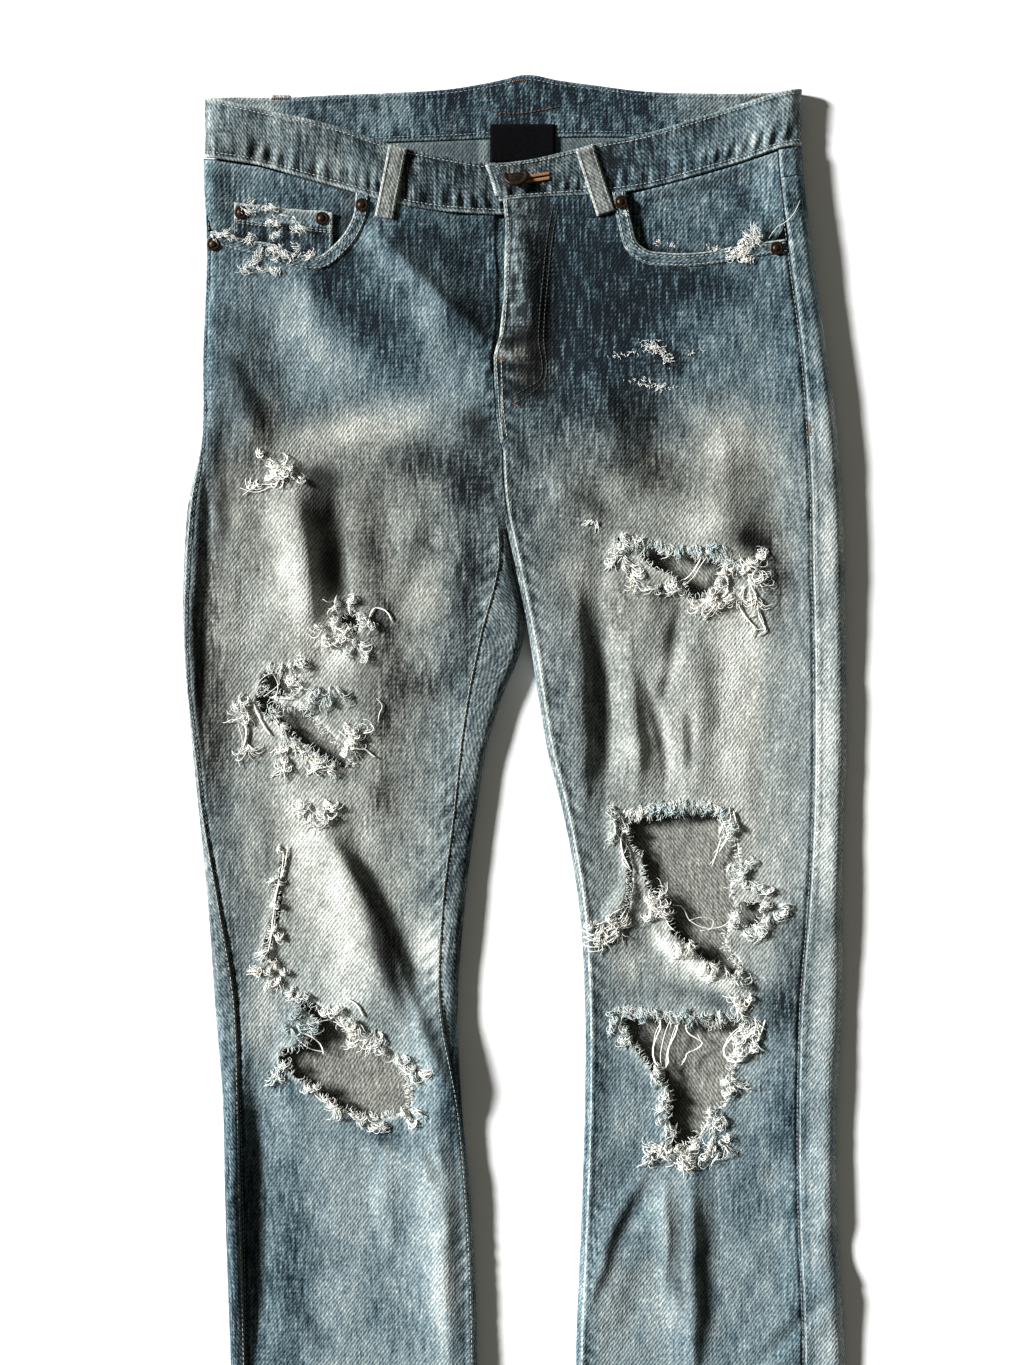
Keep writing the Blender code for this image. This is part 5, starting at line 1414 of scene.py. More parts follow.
def threadColour(rng, n, blue):
    # between white, cream and the pale blue of worn warp
    cream, white, tint = (np.array(threadLook[k]) for k in ("cream", "white", "blue"))
    base = cream + (white - cream) * rng.random((n, 1))
    share = np.clip(blue + 0.35 * (rng.random((n, 1)) - 0.5), 0.0, 1.0)
    return (base + (tint - base) * share) * (0.82 + 0.2 * rng.random((n, 1)))


def ground(leg, x, y):
    # the cloth's upper face; loose threads sag a little where a hole is under them
    top = topHeight(leg, x, y)
    return top - 2.0 * smooth(-ripDistance(leg, x, y, 14.0), 1.0, 10.0)


def lockRoots(rng, x, y, rx, ry, count, heading):
    # threads in locks: each lock has one root, one heading and one curl that its threads share
    locks = max(1, count // threadLook["lock"])
    which = rng.integers(0, locks, count)
    radius, turn = np.sqrt(rng.random(locks)), 2 * math.pi * rng.random(locks)
    centre = np.stack([x + rx * radius * np.cos(turn), y + ry * radius * np.sin(turn)], -1)
    aim = heading + rng.normal(0.0, 0.75, locks)
    drift = 1.2 * (rng.random(locks) - 0.5)
    roots = centre[which] + rng.normal(0.0, 0.75, (count, 2))
    aim = aim[which] + rng.normal(0.0, 0.15, count)
    return roots, aim, drift[which] + rng.normal(0.0, 0.08, count)


def curlyPaths(rng, leg, roots, heading, length, curl, rise, drift=None):
    # each thread's heading swings and drifts as it runs; its height arches over the cloth
    n, k = len(roots), threadLook["points"]
    s = np.linspace(0.0, 1.0, k)[None, :]
    drift = rng.random(n) - 0.5 if drift is None else drift
    drift = drift[:, None] * 2.0 * curl * length[:, None]
    turns = s * (0.8 + 1.2 * rng.random((n, 1))) + rng.random((n, 1))
    swing = 0.4 * np.sin(2 * math.pi * turns)
    angle = heading[:, None] + drift * s**1.5 + swing * (0.3 + s)
    step = length[:, None] / (k - 1)
    x = roots[:, :1] + np.cumsum(np.cos(angle) * step, axis=1)
    y = roots[:, 1:] + np.cumsum(np.sin(angle) * step, axis=1)
    high = rise * (0.25 + rng.random((n, 1)))
    arch = high * np.sin(math.pi * np.clip(s * (0.8 + 0.5 * rng.random((n, 1))), 0, 1))
    z = ground(leg, x, y) + 0.25 + arch + 0.5 * rng.random((n, 1))
    return np.stack([x, y, z], -1)


# Tufts: x, y, reach, reach, threads, their length, how blue, how high.
tuftRows = {
    "knee_right": (
        (-114, -127, 8, 6, 60, 13, 0.1, 2.4), (-106, -135, 12, 8, 44, 17, 0.2, 1.0),
        (-93, -144, 8, 5, 36, 11, 0.3, 1.8), (-80, -152, 7, 6, 36, 11, 0.35, 1.8),
        (-70, -160, 5, 7, 40, 11, 0.15, 2.2), (-130, -117, 8, 5, 40, 11, 0.2, 2.0),
        (-143, -168, 7, 5, 34, 11, 0.1, 2.0), (-125, -182, 8, 5, 36, 11, 0.1, 2.0),
        (-107, -193, 8, 4, 34, 10, 0.1, 2.0), (-91, -196, 7, 4, 28, 10, 0.2, 2.0),
        (-72, -192, 5, 6, 34, 10, 0.1, 2.2), (-165, -158, 8, 8, 50, 12, 0.45, 1.8),
        (-152, -128, 9, 12, 70, 12, 0.75, 1.6), (-152, -104, 8, 5, 34, 11, 0.3, 1.8),
    ),
    "shin_right": (
        (-161, -7, 2, 5, 10, 8, 0.1, 1.5), (-166, -24, 3, 9, 24, 8, 0.1, 1.6),
        (-167, -41, 4, 4, 14, 8, 0.1, 2.0), (-167, -58, 4, 10, 24, 9, 0.1, 1.5),
        (-173, -77, 4, 5, 20, 9, 0.1, 1.8), (-181, -87, 6, 2, 18, 11, 0.05, 1.8),
        (-168, -92, 7, 9, 60, 12, 0.05, 2.2),
    ),
    "thigh_right": (
        (-162, 126, 14, 5, 54, 11, 0.25, 1.8), (-164, 112, 13, 8, 16, 22, 0.05, 0.6),
        (-190, 94, 10, 12, 80, 13, 0.2, 2.0), (-189, 72, 5, 9, 24, 13, 0.1, 1.5),
        (-134, 104, 15, 10, 100, 12, 0.6, 2.2), (-113, 75, 13, 16, 100, 13, 0.1, 2.4),
        (-160, 60, 7, 15, 64, 10, 0.15, 2.0), (-137, 55, 15, 8, 64, 10, 0.2, 2.0),
        (-136, 26, 16, 11, 100, 14, 0.15, 2.2),
    ),
    "curl_right": (
        (-116, 168, 8, 4, 44, 10, 0.2, 2.4), (-102, 157, 5, 8, 40, 10, 0.4, 2.4),
        (-130, 147, 8, 11, 90, 12, 0.05, 2.6), (-111, 134, 8, 9, 54, 12, 0.3, 2.2),
    ),
    "hip_right": (
        (-166, 261, 9, 8, 130, 11, 0.1, 2.4), (-181, 249, 9, 2, 18, 13, 0.05, 1.2),
        (-178, 274, 3, 4, 12, 8, 0.05, 1.5), (-152, 255, 5, 5, 24, 9, 0.15, 1.8),
    ),
    "thigh_left": (
        (78, 208, 9, 4, 54, 8, 0.2, 1.8), (73, 200, 8, 7, 40, 10, 0.3, 1.6),
        (81, 188, 4, 10, 34, 12, 0.1, 1.8), (91, 183, 3, 8, 16, 11, 0.1, 1.2),
        (108, 180, 12, 8, 70, 12, 0.3, 2.0), (139, 169, 10, 12, 130, 13, 0.0, 2.6),
        (148, 186, 3, 11, 34, 9, 0.0, 2.4), (166, 192, 11, 12, 100, 14, 0.15, 2.2),
        (165, 166, 8, 13, 36, 16, 0.05, 1.4), (88, 213, 16, 2, 54, 7, 0.35, 1.2),
        (130, 207, 24, 3, 90, 8, 0.85, 1.2), (56, 226, 12, 4, 24, 6, 0.3, 0.6),
    ),
    "knee_left": (
        (112, 25, 34, 2, 130, 7, 0.85, 1.4), (72, 14, 6, 11, 54, 10, 0.45, 1.8),
        (62, -58, 13, 12, 90, 15, 0.1, 1.4), (99, -44, 9, 12, 100, 13, 0.05, 2.6),
        (150, 14, 8, 13, 64, 11, 0.45, 1.8), (157, -14, 5, 18, 54, 10, 0.4, 1.8),
        (170, -32, 12, 7, 60, 11, 0.3, 2.2), (181, -46, 6, 12, 54, 11, 0.25, 2.2),
        (168, -62, 12, 6, 54, 11, 0.3, 2.2), (153, -50, 5, 10, 40, 10, 0.3, 2.2),
        (156, -92, 9, 6, 50, 11, 0.3, 2.0), (117, -70, 10, 4, 44, 9, 0.1, 2.0),
        (140, -86, 13, 4, 54, 9, 0.1, 2.0), (162, -110, 9, 7, 70, 12, 0.05, 2.2),
        (164, -126, 8, 11, 60, 13, 0.15, 1.8),
    ),
    "shin_left": (
        (88, -118, 13, 3, 64, 8, 0.8, 1.8), (116, -119, 18, 3, 70, 9, 0.85, 1.8),
        (146, -119, 16, 4, 64, 9, 0.6, 1.8), (69, -124, 6, 7, 44, 9, 0.6, 1.6),
        (80, -140, 4, 11, 44, 9, 0.4, 1.8), (97, -158, 4, 11, 44, 9, 0.4, 1.8),
        (106, -178, 4, 13, 50, 10, 0.3, 1.8), (109, -198, 5, 9, 44, 10, 0.3, 1.8),
        (101, -214, 11, 7, 90, 12, 0.15, 2.2), (122, -220, 15, 8, 120, 12, 0.1, 2.4),
        (143, -210, 8, 11, 80, 11, 0.2, 2.2), (142, -190, 6, 8, 50, 10, 0.3, 2.0),
        (152, -166, 6, 12, 60, 11, 0.25, 2.0), (158, -138, 12, 11, 90, 12, 0.25, 2.0),
    ),
}
# Single strands: their points.
strandRows = {
    "knee_left": (
        ((110, -42), (117, -43), (122, -52), (133, -58), (147, -56), (155, -45)),
        ((156, 26), (149, 15), (148, 5), (139, -6)),
        ((150, 12), (144, 2), (141, -8), (136, -14)),
        ((66, -56), (56, -62), (46, -66), (44, -72)),
    ),
    "thigh_left": (
        ((135, 203), (130, 196), (125, 188), (117, 182), (112, 181)),
        ((160, 178), (159, 163), (164, 156)),
        ((164, 182), (166, 170), (172, 162), (174, 152), (166, 151)),
    ),
    "shin_left": (
        ((103, -122), (98, -134), (98, -147), (101, -156)),
        ((115, -120), (110, -134), (106, -149), (106, -158)),
        ((109, -121), (104, -136), (102, -150), (104, -160)),
        ((128, -133), (131, -138), (121, -147), (117, -152)),
        ((160, -125), (149, -136), (146, -145), (156, -152)),
        ((64, -117), (74, -116), (85, -119)),
    ),
    "thigh_right": (
        ((-97, 103), (-93, 98), (-95, 92), (-96, 86)),
        ((-182, 112), (-172, 120), (-158, 118), (-150, 110), (-158, 103), (-172, 104)),
        ((-176, 104), (-166, 112), (-160, 121)),
        ((-170, 122), (-166, 112), (-168, 101)),
        ((-194, 86), (-191, 70), (-194, 62), (-192, 54)),
    ),
    "knee_right": (
        ((-150, -126), (-140, -124), (-130, -122)),
        ((-152, -136), (-142, -143), (-132, -145)),
    ),
    "hip_right": (
        ((-170, 251), (-181, 247), (-192, 250)),
        ((-180, 278), (-179, 274), (-176, 269)),
        ((-168, 252), (-180, 252), (-190, 245)),
    ),
}
# Thick loose yarns: radius, points.
yarnRows = {
    "shin_left": (
        (0.62, (101, -119), (102, -129), (98, -137), (96.5, -145), (100, -154.5), (104, -157),
         (107, -154), (107, -147), (109, -139), (113, -131), (114.5, -119)),
        (0.50, (119.5, -120), (121, -131), (127.5, -135.5), (131.5, -138), (127.5, -143),
         (120.5, -146), (119, -151), (116.5, -154)),
        (0.70, (175, -122), (170.5, -135.5), (164, -145), (156, -151.5), (148.5, -150),
         (146.5, -142), (153, -134), (160, -127)),
    ),
    "knee_left": (
        (0.50, (72.5, 22), (76.5, 14), (74, 4), (76, -7), (81.5, -18)),
        (0.42, (69, 19), (71, 8), (78, 0), (75, -10), (84, -20)),
        (0.45, (150, 27), (151, 17), (145, 6), (142, -4), (138, -15)),
        (0.45, (153, 24), (155, 11), (148, 3), (143, -5)),
        (0.50, (46.5, -59), (56, -62.5), (65.5, -59), (73.5, -51), (78.5, -43)),
        (0.50, (46.5, -69.5), (57.5, -71), (68, -65.5), (77, -56)),
        (0.38, (49.5, -56), (62, -53.5), (69.5, -46.5), (77, -43)),
        (0.55, (48, -64), (58, -67), (68, -62), (76, -50)),
        (0.45, (97, -32), (107, -35.5), (102, -41.5), (105, -49.5), (108.5, -57), (112.5, -60)),
        (0.30, (122, -53), (131, -50.5), (139, -53), (138, -58), (130, -60)),
    ),
    "thigh_left": (
        (0.70, (150, 200), (147.5, 191), (149, 182), (146, 173)),
        (0.60, (152, 199), (158, 195), (164, 190), (168, 183)),
        (0.60, (147, 177), (142, 170), (137, 164), (132, 158)),
        (0.55, (112, 184), (120, 187), (128, 197), (132, 207)),
        (0.45, (160, 182), (157, 168), (163, 158), (168, 152), (166, 146)),
        (0.45, (163, 186), (169, 173), (171, 160), (175, 150), (170, 147)),
    ),
    "thigh_right": (
        (0.65, (-185, 101), (-190, 90), (-188, 79), (-191, 66)),
        (0.60, (-183, 99), (-180, 92), (-176, 84), (-171, 77)),
        (0.50, (-119, 86), (-112, 79), (-108, 70), (-100, 64)),
        (0.50, (-123, 80), (-113, 72), (-105, 67), (-97, 61)),
    ),
    "curl_right": (
        (0.60, (-103, 157), (-98, 166), (-90, 164), (-86, 157)),
    ),
    "knee_right": (
        (0.60, (-118, -107), (-111, -111), (-106, -120)),
        (0.50, (-149, -131), (-142, -134), (-136, -140), (-134, -147)),
    ),
    "shin_right": (
        (0.45, (-159, -1), (-161, -14), (-166, -30), (-169, -48), (-171, -66), (-174, -80)),
        (0.40, (-162, -4), (-163, -18), (-168, -36), (-168, -52), (-173, -68)),
    ),
}
fringeLook = dict(perMillimetre=0.9, length=4.2, rise=0.8, furPerMillimetre=5.0, tuftShare=1.08)
# Fur of cut warp along an edge: heading in degrees, length, how blue, points.
furRows = {
    "thigh_left": (
        (-84, 9.0, 0.45, (76, 212), (92, 213), (112, 209), (132, 207), (150, 201), (160, 194)),
    ),
    "knee_left": (
        (-88, 9.5, 0.30, (74, 24), (88, 26), (104, 30), (122, 31), (138, 29), (152, 26)),
    ),
    "shin_left": (
        (-90, 9.5, 0.45, (72, -113), (84, -113), (98, -115)),
        (-60, 9.0, 0.35, (104, -117), (118, -119), (132, -121), (146, -122)),
    ),
    "thigh_right": (
        (-60, 8.0, 0.20, (-172, 98), (-164, 82), (-152, 68), (-140, 58)),
    ),
}


def addFringe(rng, bundle, leg, curve):
    # threads all round a torn edge, pointing into the opening
    ends = np.roll(curve, -1, axis=0)
    size = np.linalg.norm(ends - curve, axis=1)
    count = int(size.sum() * fringeLook["perMillimetre"])
    at = rng.choice(len(curve), count, p=size / size.sum())
    along = (ends - curve)[at]
    roots = curve[at] + along * rng.random((count, 1))
    area = np.sum(curve[:, 0] * ends[:, 1] - ends[:, 0] * curve[:, 1])
    inward = np.arctan2(along[:, 0], -along[:, 1]) + (0.0 if area > 0 else math.pi)
    heading = inward + rng.normal(0.0, 0.38, count)
    length = fringeLook["length"] * (0.35 + rng.random(count))
    roots = roots - 1.4 * np.stack([np.cos(inward), np.sin(inward)], -1) * rng.random((count, 1))
    lines = curlyPaths(rng, leg, roots, heading, length, 0.18, fringeLook["rise"])
    radii = threadLook["radius"] * (0.6 + 0.4 * rng.random(count))
    addTubes(bundle, lines, radii, threadColour(rng, count, 0.45))


def addFur(rng, bundle, leg, heading, length, blue, *points):
    # close, nearly parallel threads along an edge, leaning together in locks
    line = openCurve(points, 0.5)
    count = int(0.5 * len(line) * fringeLook["furPerMillimetre"])
    at = rng.integers(0, len(line), count)
    x, y = line[at, 0], line[at, 1]
    roots = line[at] + rng.normal(0.0, 1.1, (count, 2))
    lock = softNoise(x, y, 2.6, 51)
    aim = math.radians(heading) + (0.75 * lock + rng.normal(0.0, 0.14, count))
    size = length * (0.45 + 0.6 * rng.random(count)) * (0.8 + 0.45 * softNoise(x, y, 4, 52))
    lines = curlyPaths(rng, leg, roots, aim, size, 0.12, 1.4, 0.8 * lock)
    radii = threadLook["radius"] * (0.6 + 0.4 * rng.random(count))
    addTubes(bundle, lines, radii,
             threadColour(rng, count, blue + 0.5 * softNoise(x, y, 5, 53)[:, None]))


def addTuft(rng, bundle, leg, x, y, rx, ry, count, length, blue, rise):
    # hanging locks of curled threads about one place
    count = int(fringeLook["tuftShare"] * count)
    roots, heading, drift = lockRoots(rng, x, y + 0.3 * length, 0.8 * rx, 0.7 * ry, count,
                                      math.radians(threadLook["hang"]))
    size = length * (0.45 + 0.85 * rng.random(count))
    lines = curlyPaths(rng, leg, roots, heading, size, threadLook["curl"], 1.5 * rise, drift)
    radii = threadLook["radius"] * (0.65 + 0.6 * rng.random(count))
    addTubes(bundle, lines, radii, threadColour(rng, count, blue))


def addStrand(rng, bundle, leg, *points):
    line = sampled(openCurve(points, 0.5), threadLook["longPoints"])
    z = ground(leg, line[:, 0], line[:, 1]) + 1.2
    addLine(bundle, line, z, threadLook["radius"] * 1.25, threadColour(rng, 1, 0.05))


def addYarn(rng, bundle, leg, radius, *points):
    # three plies wound round the yarn's own line
    line = sampled(openCurve(points, 0.5), threadLook["longPoints"])
    high = ground(leg, line[:, 0], line[:, 1]) + 1.3
    for part in range(3):
        turn = np.linspace(0, 2.5 * math.pi, len(line)) + 2.1 * part
        ply = line + 0.5 * radius * np.stack([np.cos(turn), np.sin(turn)], -1)
        z = high + 0.5 * radius * np.sin(turn + 1.0)
        addLine(bundle, ply, z, 0.6 * radius, threadColour(rng, 1, 0.0))


def frayMesh(name, rips, seed):
    # a fringe all round the torn edge, fur, tufts and single strands, as one piece
    rng = np.random.default_rng(seed)
    leg = name.split("_")[1]
    short, long = ([], [], []), ([], [], [])
    for rip in rips:
        addFringe(rng, short, leg, ripCurves[rip][1])
    for rows, add, bundle in ((furRows, addFur, short), (tuftRows, addTuft, short),
                              (strandRows, addStrand, long), (yarnRows, addYarn, long)):
        for row in rows.get(name, ()):
            add(rng, bundle, leg, *row)
    points, faces, wearAndShade = joinedTubes([bundle for bundle in (short, long) if bundle[0]])
    return clothPiece("frays_" + name, "fray_" + name, points, faces,
                      [frayedCotton], wearAndShade=wearAndShade)


bandForm = dict(along=560, face=22, edge=5, pucker=1.5, ridge=0.65, puckerSpan=10.5, round=0.035,
                endSlant=9.0)


def bandTable():
    # the band's own line round the waist: run length to x, z, lower and upper edge
    rows = [dict(zip(bandColumns, row)) for row in bandRows]
    table = []
    for row in rows:
        leg = "right" if row["x"] < centreLine else "left"
        y = np.linspace(row["lower"], row["upper"], 4)
        x = np.full(4, float(row["x"]))
        if row["face"] == "front":
            owner = "left" if row["drop"] else leg
            if owner == "right":
                y = np.full(4, 530.0)
            z = float((topHeight(owner, x, y, False) - row["drop"]).mean())
        elif row["face"] == "back":
            z = float(floorHeight(leg, x, y).mean())
        else:
            z = 0.5 * (float(heightAt("edge", 500.0)) + seatLift)
        table.append((row["x"], z, row["lower"], row["upper"]))
    table = np.array(table, float)
    # an extra station above and below each turn rounds it
    extra = []
    for i, row in enumerate(rows):
        if row["face"] == "roll":
            for j in (i - 1, i + 1):
                station = table[i] + (table[j] - table[i]) * 0.30
                station[1] = table[j][1] + (table[i][1] - table[j][1]) * 0.22
                extra.append((0.5 * (i + j), station))
    order = [(float(i), station) for i, station in enumerate(table)] + extra
    table = np.array([station for _, station in sorted(order, key=lambda item: item[0])])
    steps = np.hypot(np.diff(table[:, 0]), np.diff(table[:, 1]))
    return np.concatenate([[0.0], np.cumsum(steps)]), table


bandRun, bandStations = bandTable()


def bandPoint(at, h, out=0.0):
    # a point of the band: share of its length, share of its height, distance outwards
    at, h = np.broadcast_arrays(np.asarray(at, float), np.asarray(h, float))
    behind, here, ahead = (
        curveAt(np.clip(at + step, 0, 1) * bandRun[-1], bandRun, bandStations)
        for step in (-0.002, 0.0, 0.002))
    tx, tz = (ahead - behind)[..., 0], (ahead - behind)[..., 1]
    size = np.maximum(np.hypot(tx, tz), 1e-6)
    slant = smooth(at, 0.975, 1.0) * bandForm["endSlant"] * (1.0 - h)
    y = here[..., 2] + (here[..., 3] - here[..., 2]) * h
    return np.stack([here[..., 0] + tz / size * out + slant, y, here[..., 1] - tx / size * out], -1)


def bandPuckers(run, h):
    # a wave along the band that wanders, and how strong it is from place to place
    phase = run * 2 * math.pi / bandForm["puckerSpan"] + 1.2 * h
    wave = np.sin(phase + 5.0 * softNoise(run, h * 20, 34, 51))
    return wave, 0.9 * np.abs(softNoise(run, 0 * run, 21, 52))


def bandRelief(at, h):
    # puckers above the lower seam, a ridge along both edges and broad waves
    run = at * bandRun[-1]
    wave, strength = bandPuckers(run, h)
    relief = bandForm["pucker"] * wave * hump(h, 0.22, 0.16) * (0.35 + strength)
    relief += bandForm["ridge"] * (hump(h, 0.03, 0.05) + 0.7 * hump(h, 0.97, 0.05))
    relief -= 0.35 * hump(h, 0.145, 0.03) + 0.25 * hump(h, 0.885, 0.03)
    relief += 0.9 * softNoise(run, h * 36.0, 30, 53)
    relief += 0.5 * softNoise(run + 9.0 * h, h * 24.0, 10, 54)
    return relief + 0.16 * softNoise(run, h * 36.0, 4.5, 60)


def bandWearAndShade(at, h, points, isOuter):
    # its fading: pale edges, dark beside the stitching, puckers, painted shadow beside the front
    # loops, and painted shade inside the back about the centre
    x, run = points[..., 0], at * bandRun[-1]
    h = np.broadcast_to(h, x.shape)
    tone = 0.41 + 0.07 * softNoise(run, h * 36, 34, 55)
    tone += 0.09 * softNoise(run + 8 * h, h * 24, 9, 56)
    tone += 0.08 * softNoise(run, h * 36, 15, 57) + 0.09 * softNoise(run, h * 30, 4.5, 58)
    tone += 0.20 * hump(h, 0.985, 0.045) + 0.32 * hump(h, 0.03, 0.03)
    tone -= 0.20 * hump(h, 0.10, 0.035) + 0.10 * hump(h, 0.90, 0.04)
    wave, strength = bandPuckers(run, h)
    tone += 0.22 * wave * hump(h, 0.26, 0.17) * (0.30 + strength)
    front = isOuter * (points[..., 2] > 9.0)
    tone += front * (
        0.04 * smooth(-x, 130.0, 200.0) - 0.17 * smooth(x, -84.0, -72.0) * smooth(-x, -54.0, -44.0)
        - 0.20 * smooth(x, 58.0, 66.0) * smooth(-x, -150.0, -84.0) + 0.12 * smooth(x, 130.0, 185.0))
    # painted shadow of each front loop, on its side away from the sun
    tone -= front * 0.16 * (hump(x, -72.0, 7.0) + hump(x, 72.0, 8.0))
    inner = 1.0 - isOuter
    # inside: paler towards both ends, and painted shade about the centre back
    tone += inner * (-0.02 + 0.14 * smooth(-x, 130.0, 205.0) + 0.12 * smooth(x, 110.0, 160.0)
                     - 0.22 * smooth(x, -100.0, -60.0) * smooth(-x, -120.0, -80.0))
    # the free end's own edge and the row of stitches beside it
    tone += 0.45 * smooth(at, 0.9965, 0.9985)
    tone += 0.10 * smooth(at, 0.965, 0.97) * smooth(h, 0.30, 0.16)
    tone -= 0.16 * hump(at, 0.9925, 0.002)
    warm = 0.40 + 0.15 * inner - 0.3 * smooth(x, 40.0, 80.0) * (1.0 - inner)
    warm += 0.2 * softNoise(run, h * 36, 24, 59)
    blue = inner * smooth(x, -180.0, -145.0) * (1.0 - smooth(x, 95.0, 140.0))
    tone += blue * (0.09 * softNoise(run, h * 30, 18, 61) - 0.03) - 0.02 * front
    return wearAndShadeOf(x, tone, warm - 0.55 * blue)


def waistband():
    # a rounded-rectangle profile carried along the band's line
    n, m = bandForm["face"], bandForm["edge"]
    at = np.linspace(0.0, 1.0, bandForm["along"])[:, None]
    low, high = bandForm["round"], 1.0 - bandForm["round"]
    face = np.linspace(low, high, n)
    turn = np.linspace(0.0, math.pi, m + 2)[1:-1]
    half = bandThickness / 2
    h = np.concatenate([face, high + low * np.sin(turn), face[::-1],
                        low - low * np.sin(turn)])[None, :]
    out = np.concatenate([np.zeros(n), -half + half * np.cos(turn), np.full(n, -bandThickness),
                          -half - half * np.cos(turn)])[None, :]
    isOuter = np.concatenate([np.ones(n), 0.5 + 0.5 * np.cos(turn), np.zeros(n),
                              0.5 - 0.5 * np.cos(turn)])[None, :]
    points = bandPoint(at, h, out + bandRelief(at, h) * isOuter)
    uv = np.stack(np.broadcast_arrays(at * bandRun[-1], h * 40.0), -1)
    return clothPiece("waistband_cloth", "waistband", points,
                      tubeFaces(*points.shape[:2]), [pocketDenim], uv,
                      bandWearAndShade(at, h, points, isOuter))


def bandTop(x, y):
    # height of the band's outer face under a plan point of the front, or of the cloth
    run = np.linspace(0.0, 1.0, 900)
    line = bandPoint(run, 0.5)
    isFront = (line[:, 2] > 10.5) & (run > 0.04)
    low = curveAt(run * bandRun[-1], bandRun, bandStations)[isFront, 2]
    line = line[isFront]
    order = np.argsort(line[:, 0])
    at = line[order, 0]
    z = np.interp(x, at, line[order, 2])
    cloth = np.where(x < -9.0, topHeight("right", x, y), topHeight("left", x, y))
    return np.maximum(cloth, np.where(y > np.interp(x, at, low[order]) - 0.5, z, 0.0))


facingForm = dict(across=56, down=52, bottom=386.0, inner=dict(right=-98.0, left=64.0),
                  edge=dict(right=(446.0, 434.0), left=(442.0, 430.0)))


def facingGrid(leg):
    # share across and level to a point of the facing
    side = sideNames[leg]
    inner = facingForm["inner"][leg]
    level = np.linspace(sideLevel(leg) - 1.0, facingForm["bottom"], facingForm["down"])[:, None]
    spread = np.linspace(0.0, 1.0, facingForm["across"])[None, :] ** 1.25
    outseam = legEdge(leg, "outseam", level) - side * seamGap / 2
    start = outseam - side * 12.0 * smooth(level, 438.0, 420.0)
    x = start + (inner - start) * spread
    y = level + rowShift(x, level, frontWaistSeam[leg], sideLevel(leg), sideLevel(leg))
    inside = (outseam - x) * side
    sunk = np.maximum(smooth(inside, 1.0, 22.0), smooth(y, *facingForm["edge"][leg]))
    bare = smooth(-mouthDistance(leg, x, y), 2.0, 14.0)
    sunk = sunk * (1.0 - bare * smooth(y - lineAt(frontWaistSeam[leg], x), -14.0, -1.0))
    z = topHeight(leg, x, y, False) - 2 * (clothThickness + layerGap) * sunk
    return x, y, z + 0.35 * softNoise(x, y, 16, 61) * smooth(inside, 4.0, 20.0)


def pocketFacing(leg):
    # the cloth inside a pocket's mouth, with painted shade under the mouth's edge
    x, y, z = facingGrid(leg)
    out = (x - legEdge(leg, "outseam", y)) * sideNames[leg]
    waist = lineAt(frontWaistSeam[leg], x) - y
    tone = (0.36 if leg == "right" else 0.33) + 0.05 * softNoise(x, y, 18, 62)
    tone += 0.04 * softNoise(x, y, 6, 63)
    tone += 0.10 * softNoise(x, 0.15 * y, 9, 64) + 0.12 * hump(waist, 0.0, 12.0)
    tone += 0.16 * hump(out, -3.0, 6.0)
    # painted shade under the mouth's edge, and on the right leg right of the coin pocket
    shade = 1.0 - 0.6 * smooth(mouthDistance(leg, x, y), -9.0, -0.5)
    if leg == "right":
        shade = shade * (1.0 - 0.6 * smooth(x, -138.0, -126.0) * smooth(-y, -452.0, -440.0))
    return clothPiece("pocket_facing_cloth_" + leg, "pocket_facing_" + leg,
                      np.stack([x, y, z], -1), gridFaces(*x.shape, flip=leg == "right"),
                      [pocketDenim, denimInside], np.stack([x, y], -1),
                      wearAndShadeOf(x, tone, shade=shade), clothThickness)


coinForm = dict(left=-196.0, right=-127.5, top=449.5, drop=7.0, bottom=398.0, cloth=1.1)


def coinHeight(x, y):
    # the coin pocket's face, one layer above the right facing
    outseam = legEdge("right", "outseam", y) + seamGap / 2
    sunk = np.maximum(smooth(x - outseam, 1.0, 22.0), smooth(y, *facingForm["edge"]["right"]))
    facing = topHeight("right", x, y, False) - 2 * (clothThickness + layerGap) * sunk
    return facing + layerGap + coinForm["cloth"]


def coinPocket():
    # a patch whose ragged top edge stands a little off the facing
    s = np.linspace(0.0, 1.0, 40)[:, None]
    t = np.linspace(0.0, 1.0, 52)[None, :]
    x = coinForm["left"] + (coinForm["right"] - coinForm["left"]) * t + 0.0 * s
    top = coinForm["top"] - coinForm["drop"] * t + 0.7 * softNoise(x, 0.0 * x, 5, 71)
    y = top + (coinForm["bottom"] - top) * s
    z = coinHeight(x, y) + 0.8 * hump(s, 0.0, 0.07) + 0.3 * softNoise(x, y, 10, 72)
    z += 0.4 * (hump(t, 0.0, 0.03) + hump(t, 1.0, 0.03))
    tone = 0.10 + 0.06 * softNoise(x, y, 12, 73) + 0.37 * smooth(-s, -0.30, -0.20) + 0.07 * t
    tone = tone - 0.14 * hump(s, 0.29, 0.03) + 0.26 * (hump(t, 0.0, 0.03) + hump(t, 1.0, 0.035))
    return clothPiece("coin_pocket_cloth", "coin_pocket",
                      np.stack([x, y, z], -1), gridFaces(*x.shape, flip=True),
                      [pocketDenim, denimInside, rawEdge], np.stack([x, y], -1),
                      wearAndShadeOf(x, tone, 0.1, 0.5 * hump(s, 0.0, 0.04)), coinForm["cloth"], 2)


lipForm = dict(width=9.5, thickness=0.9)


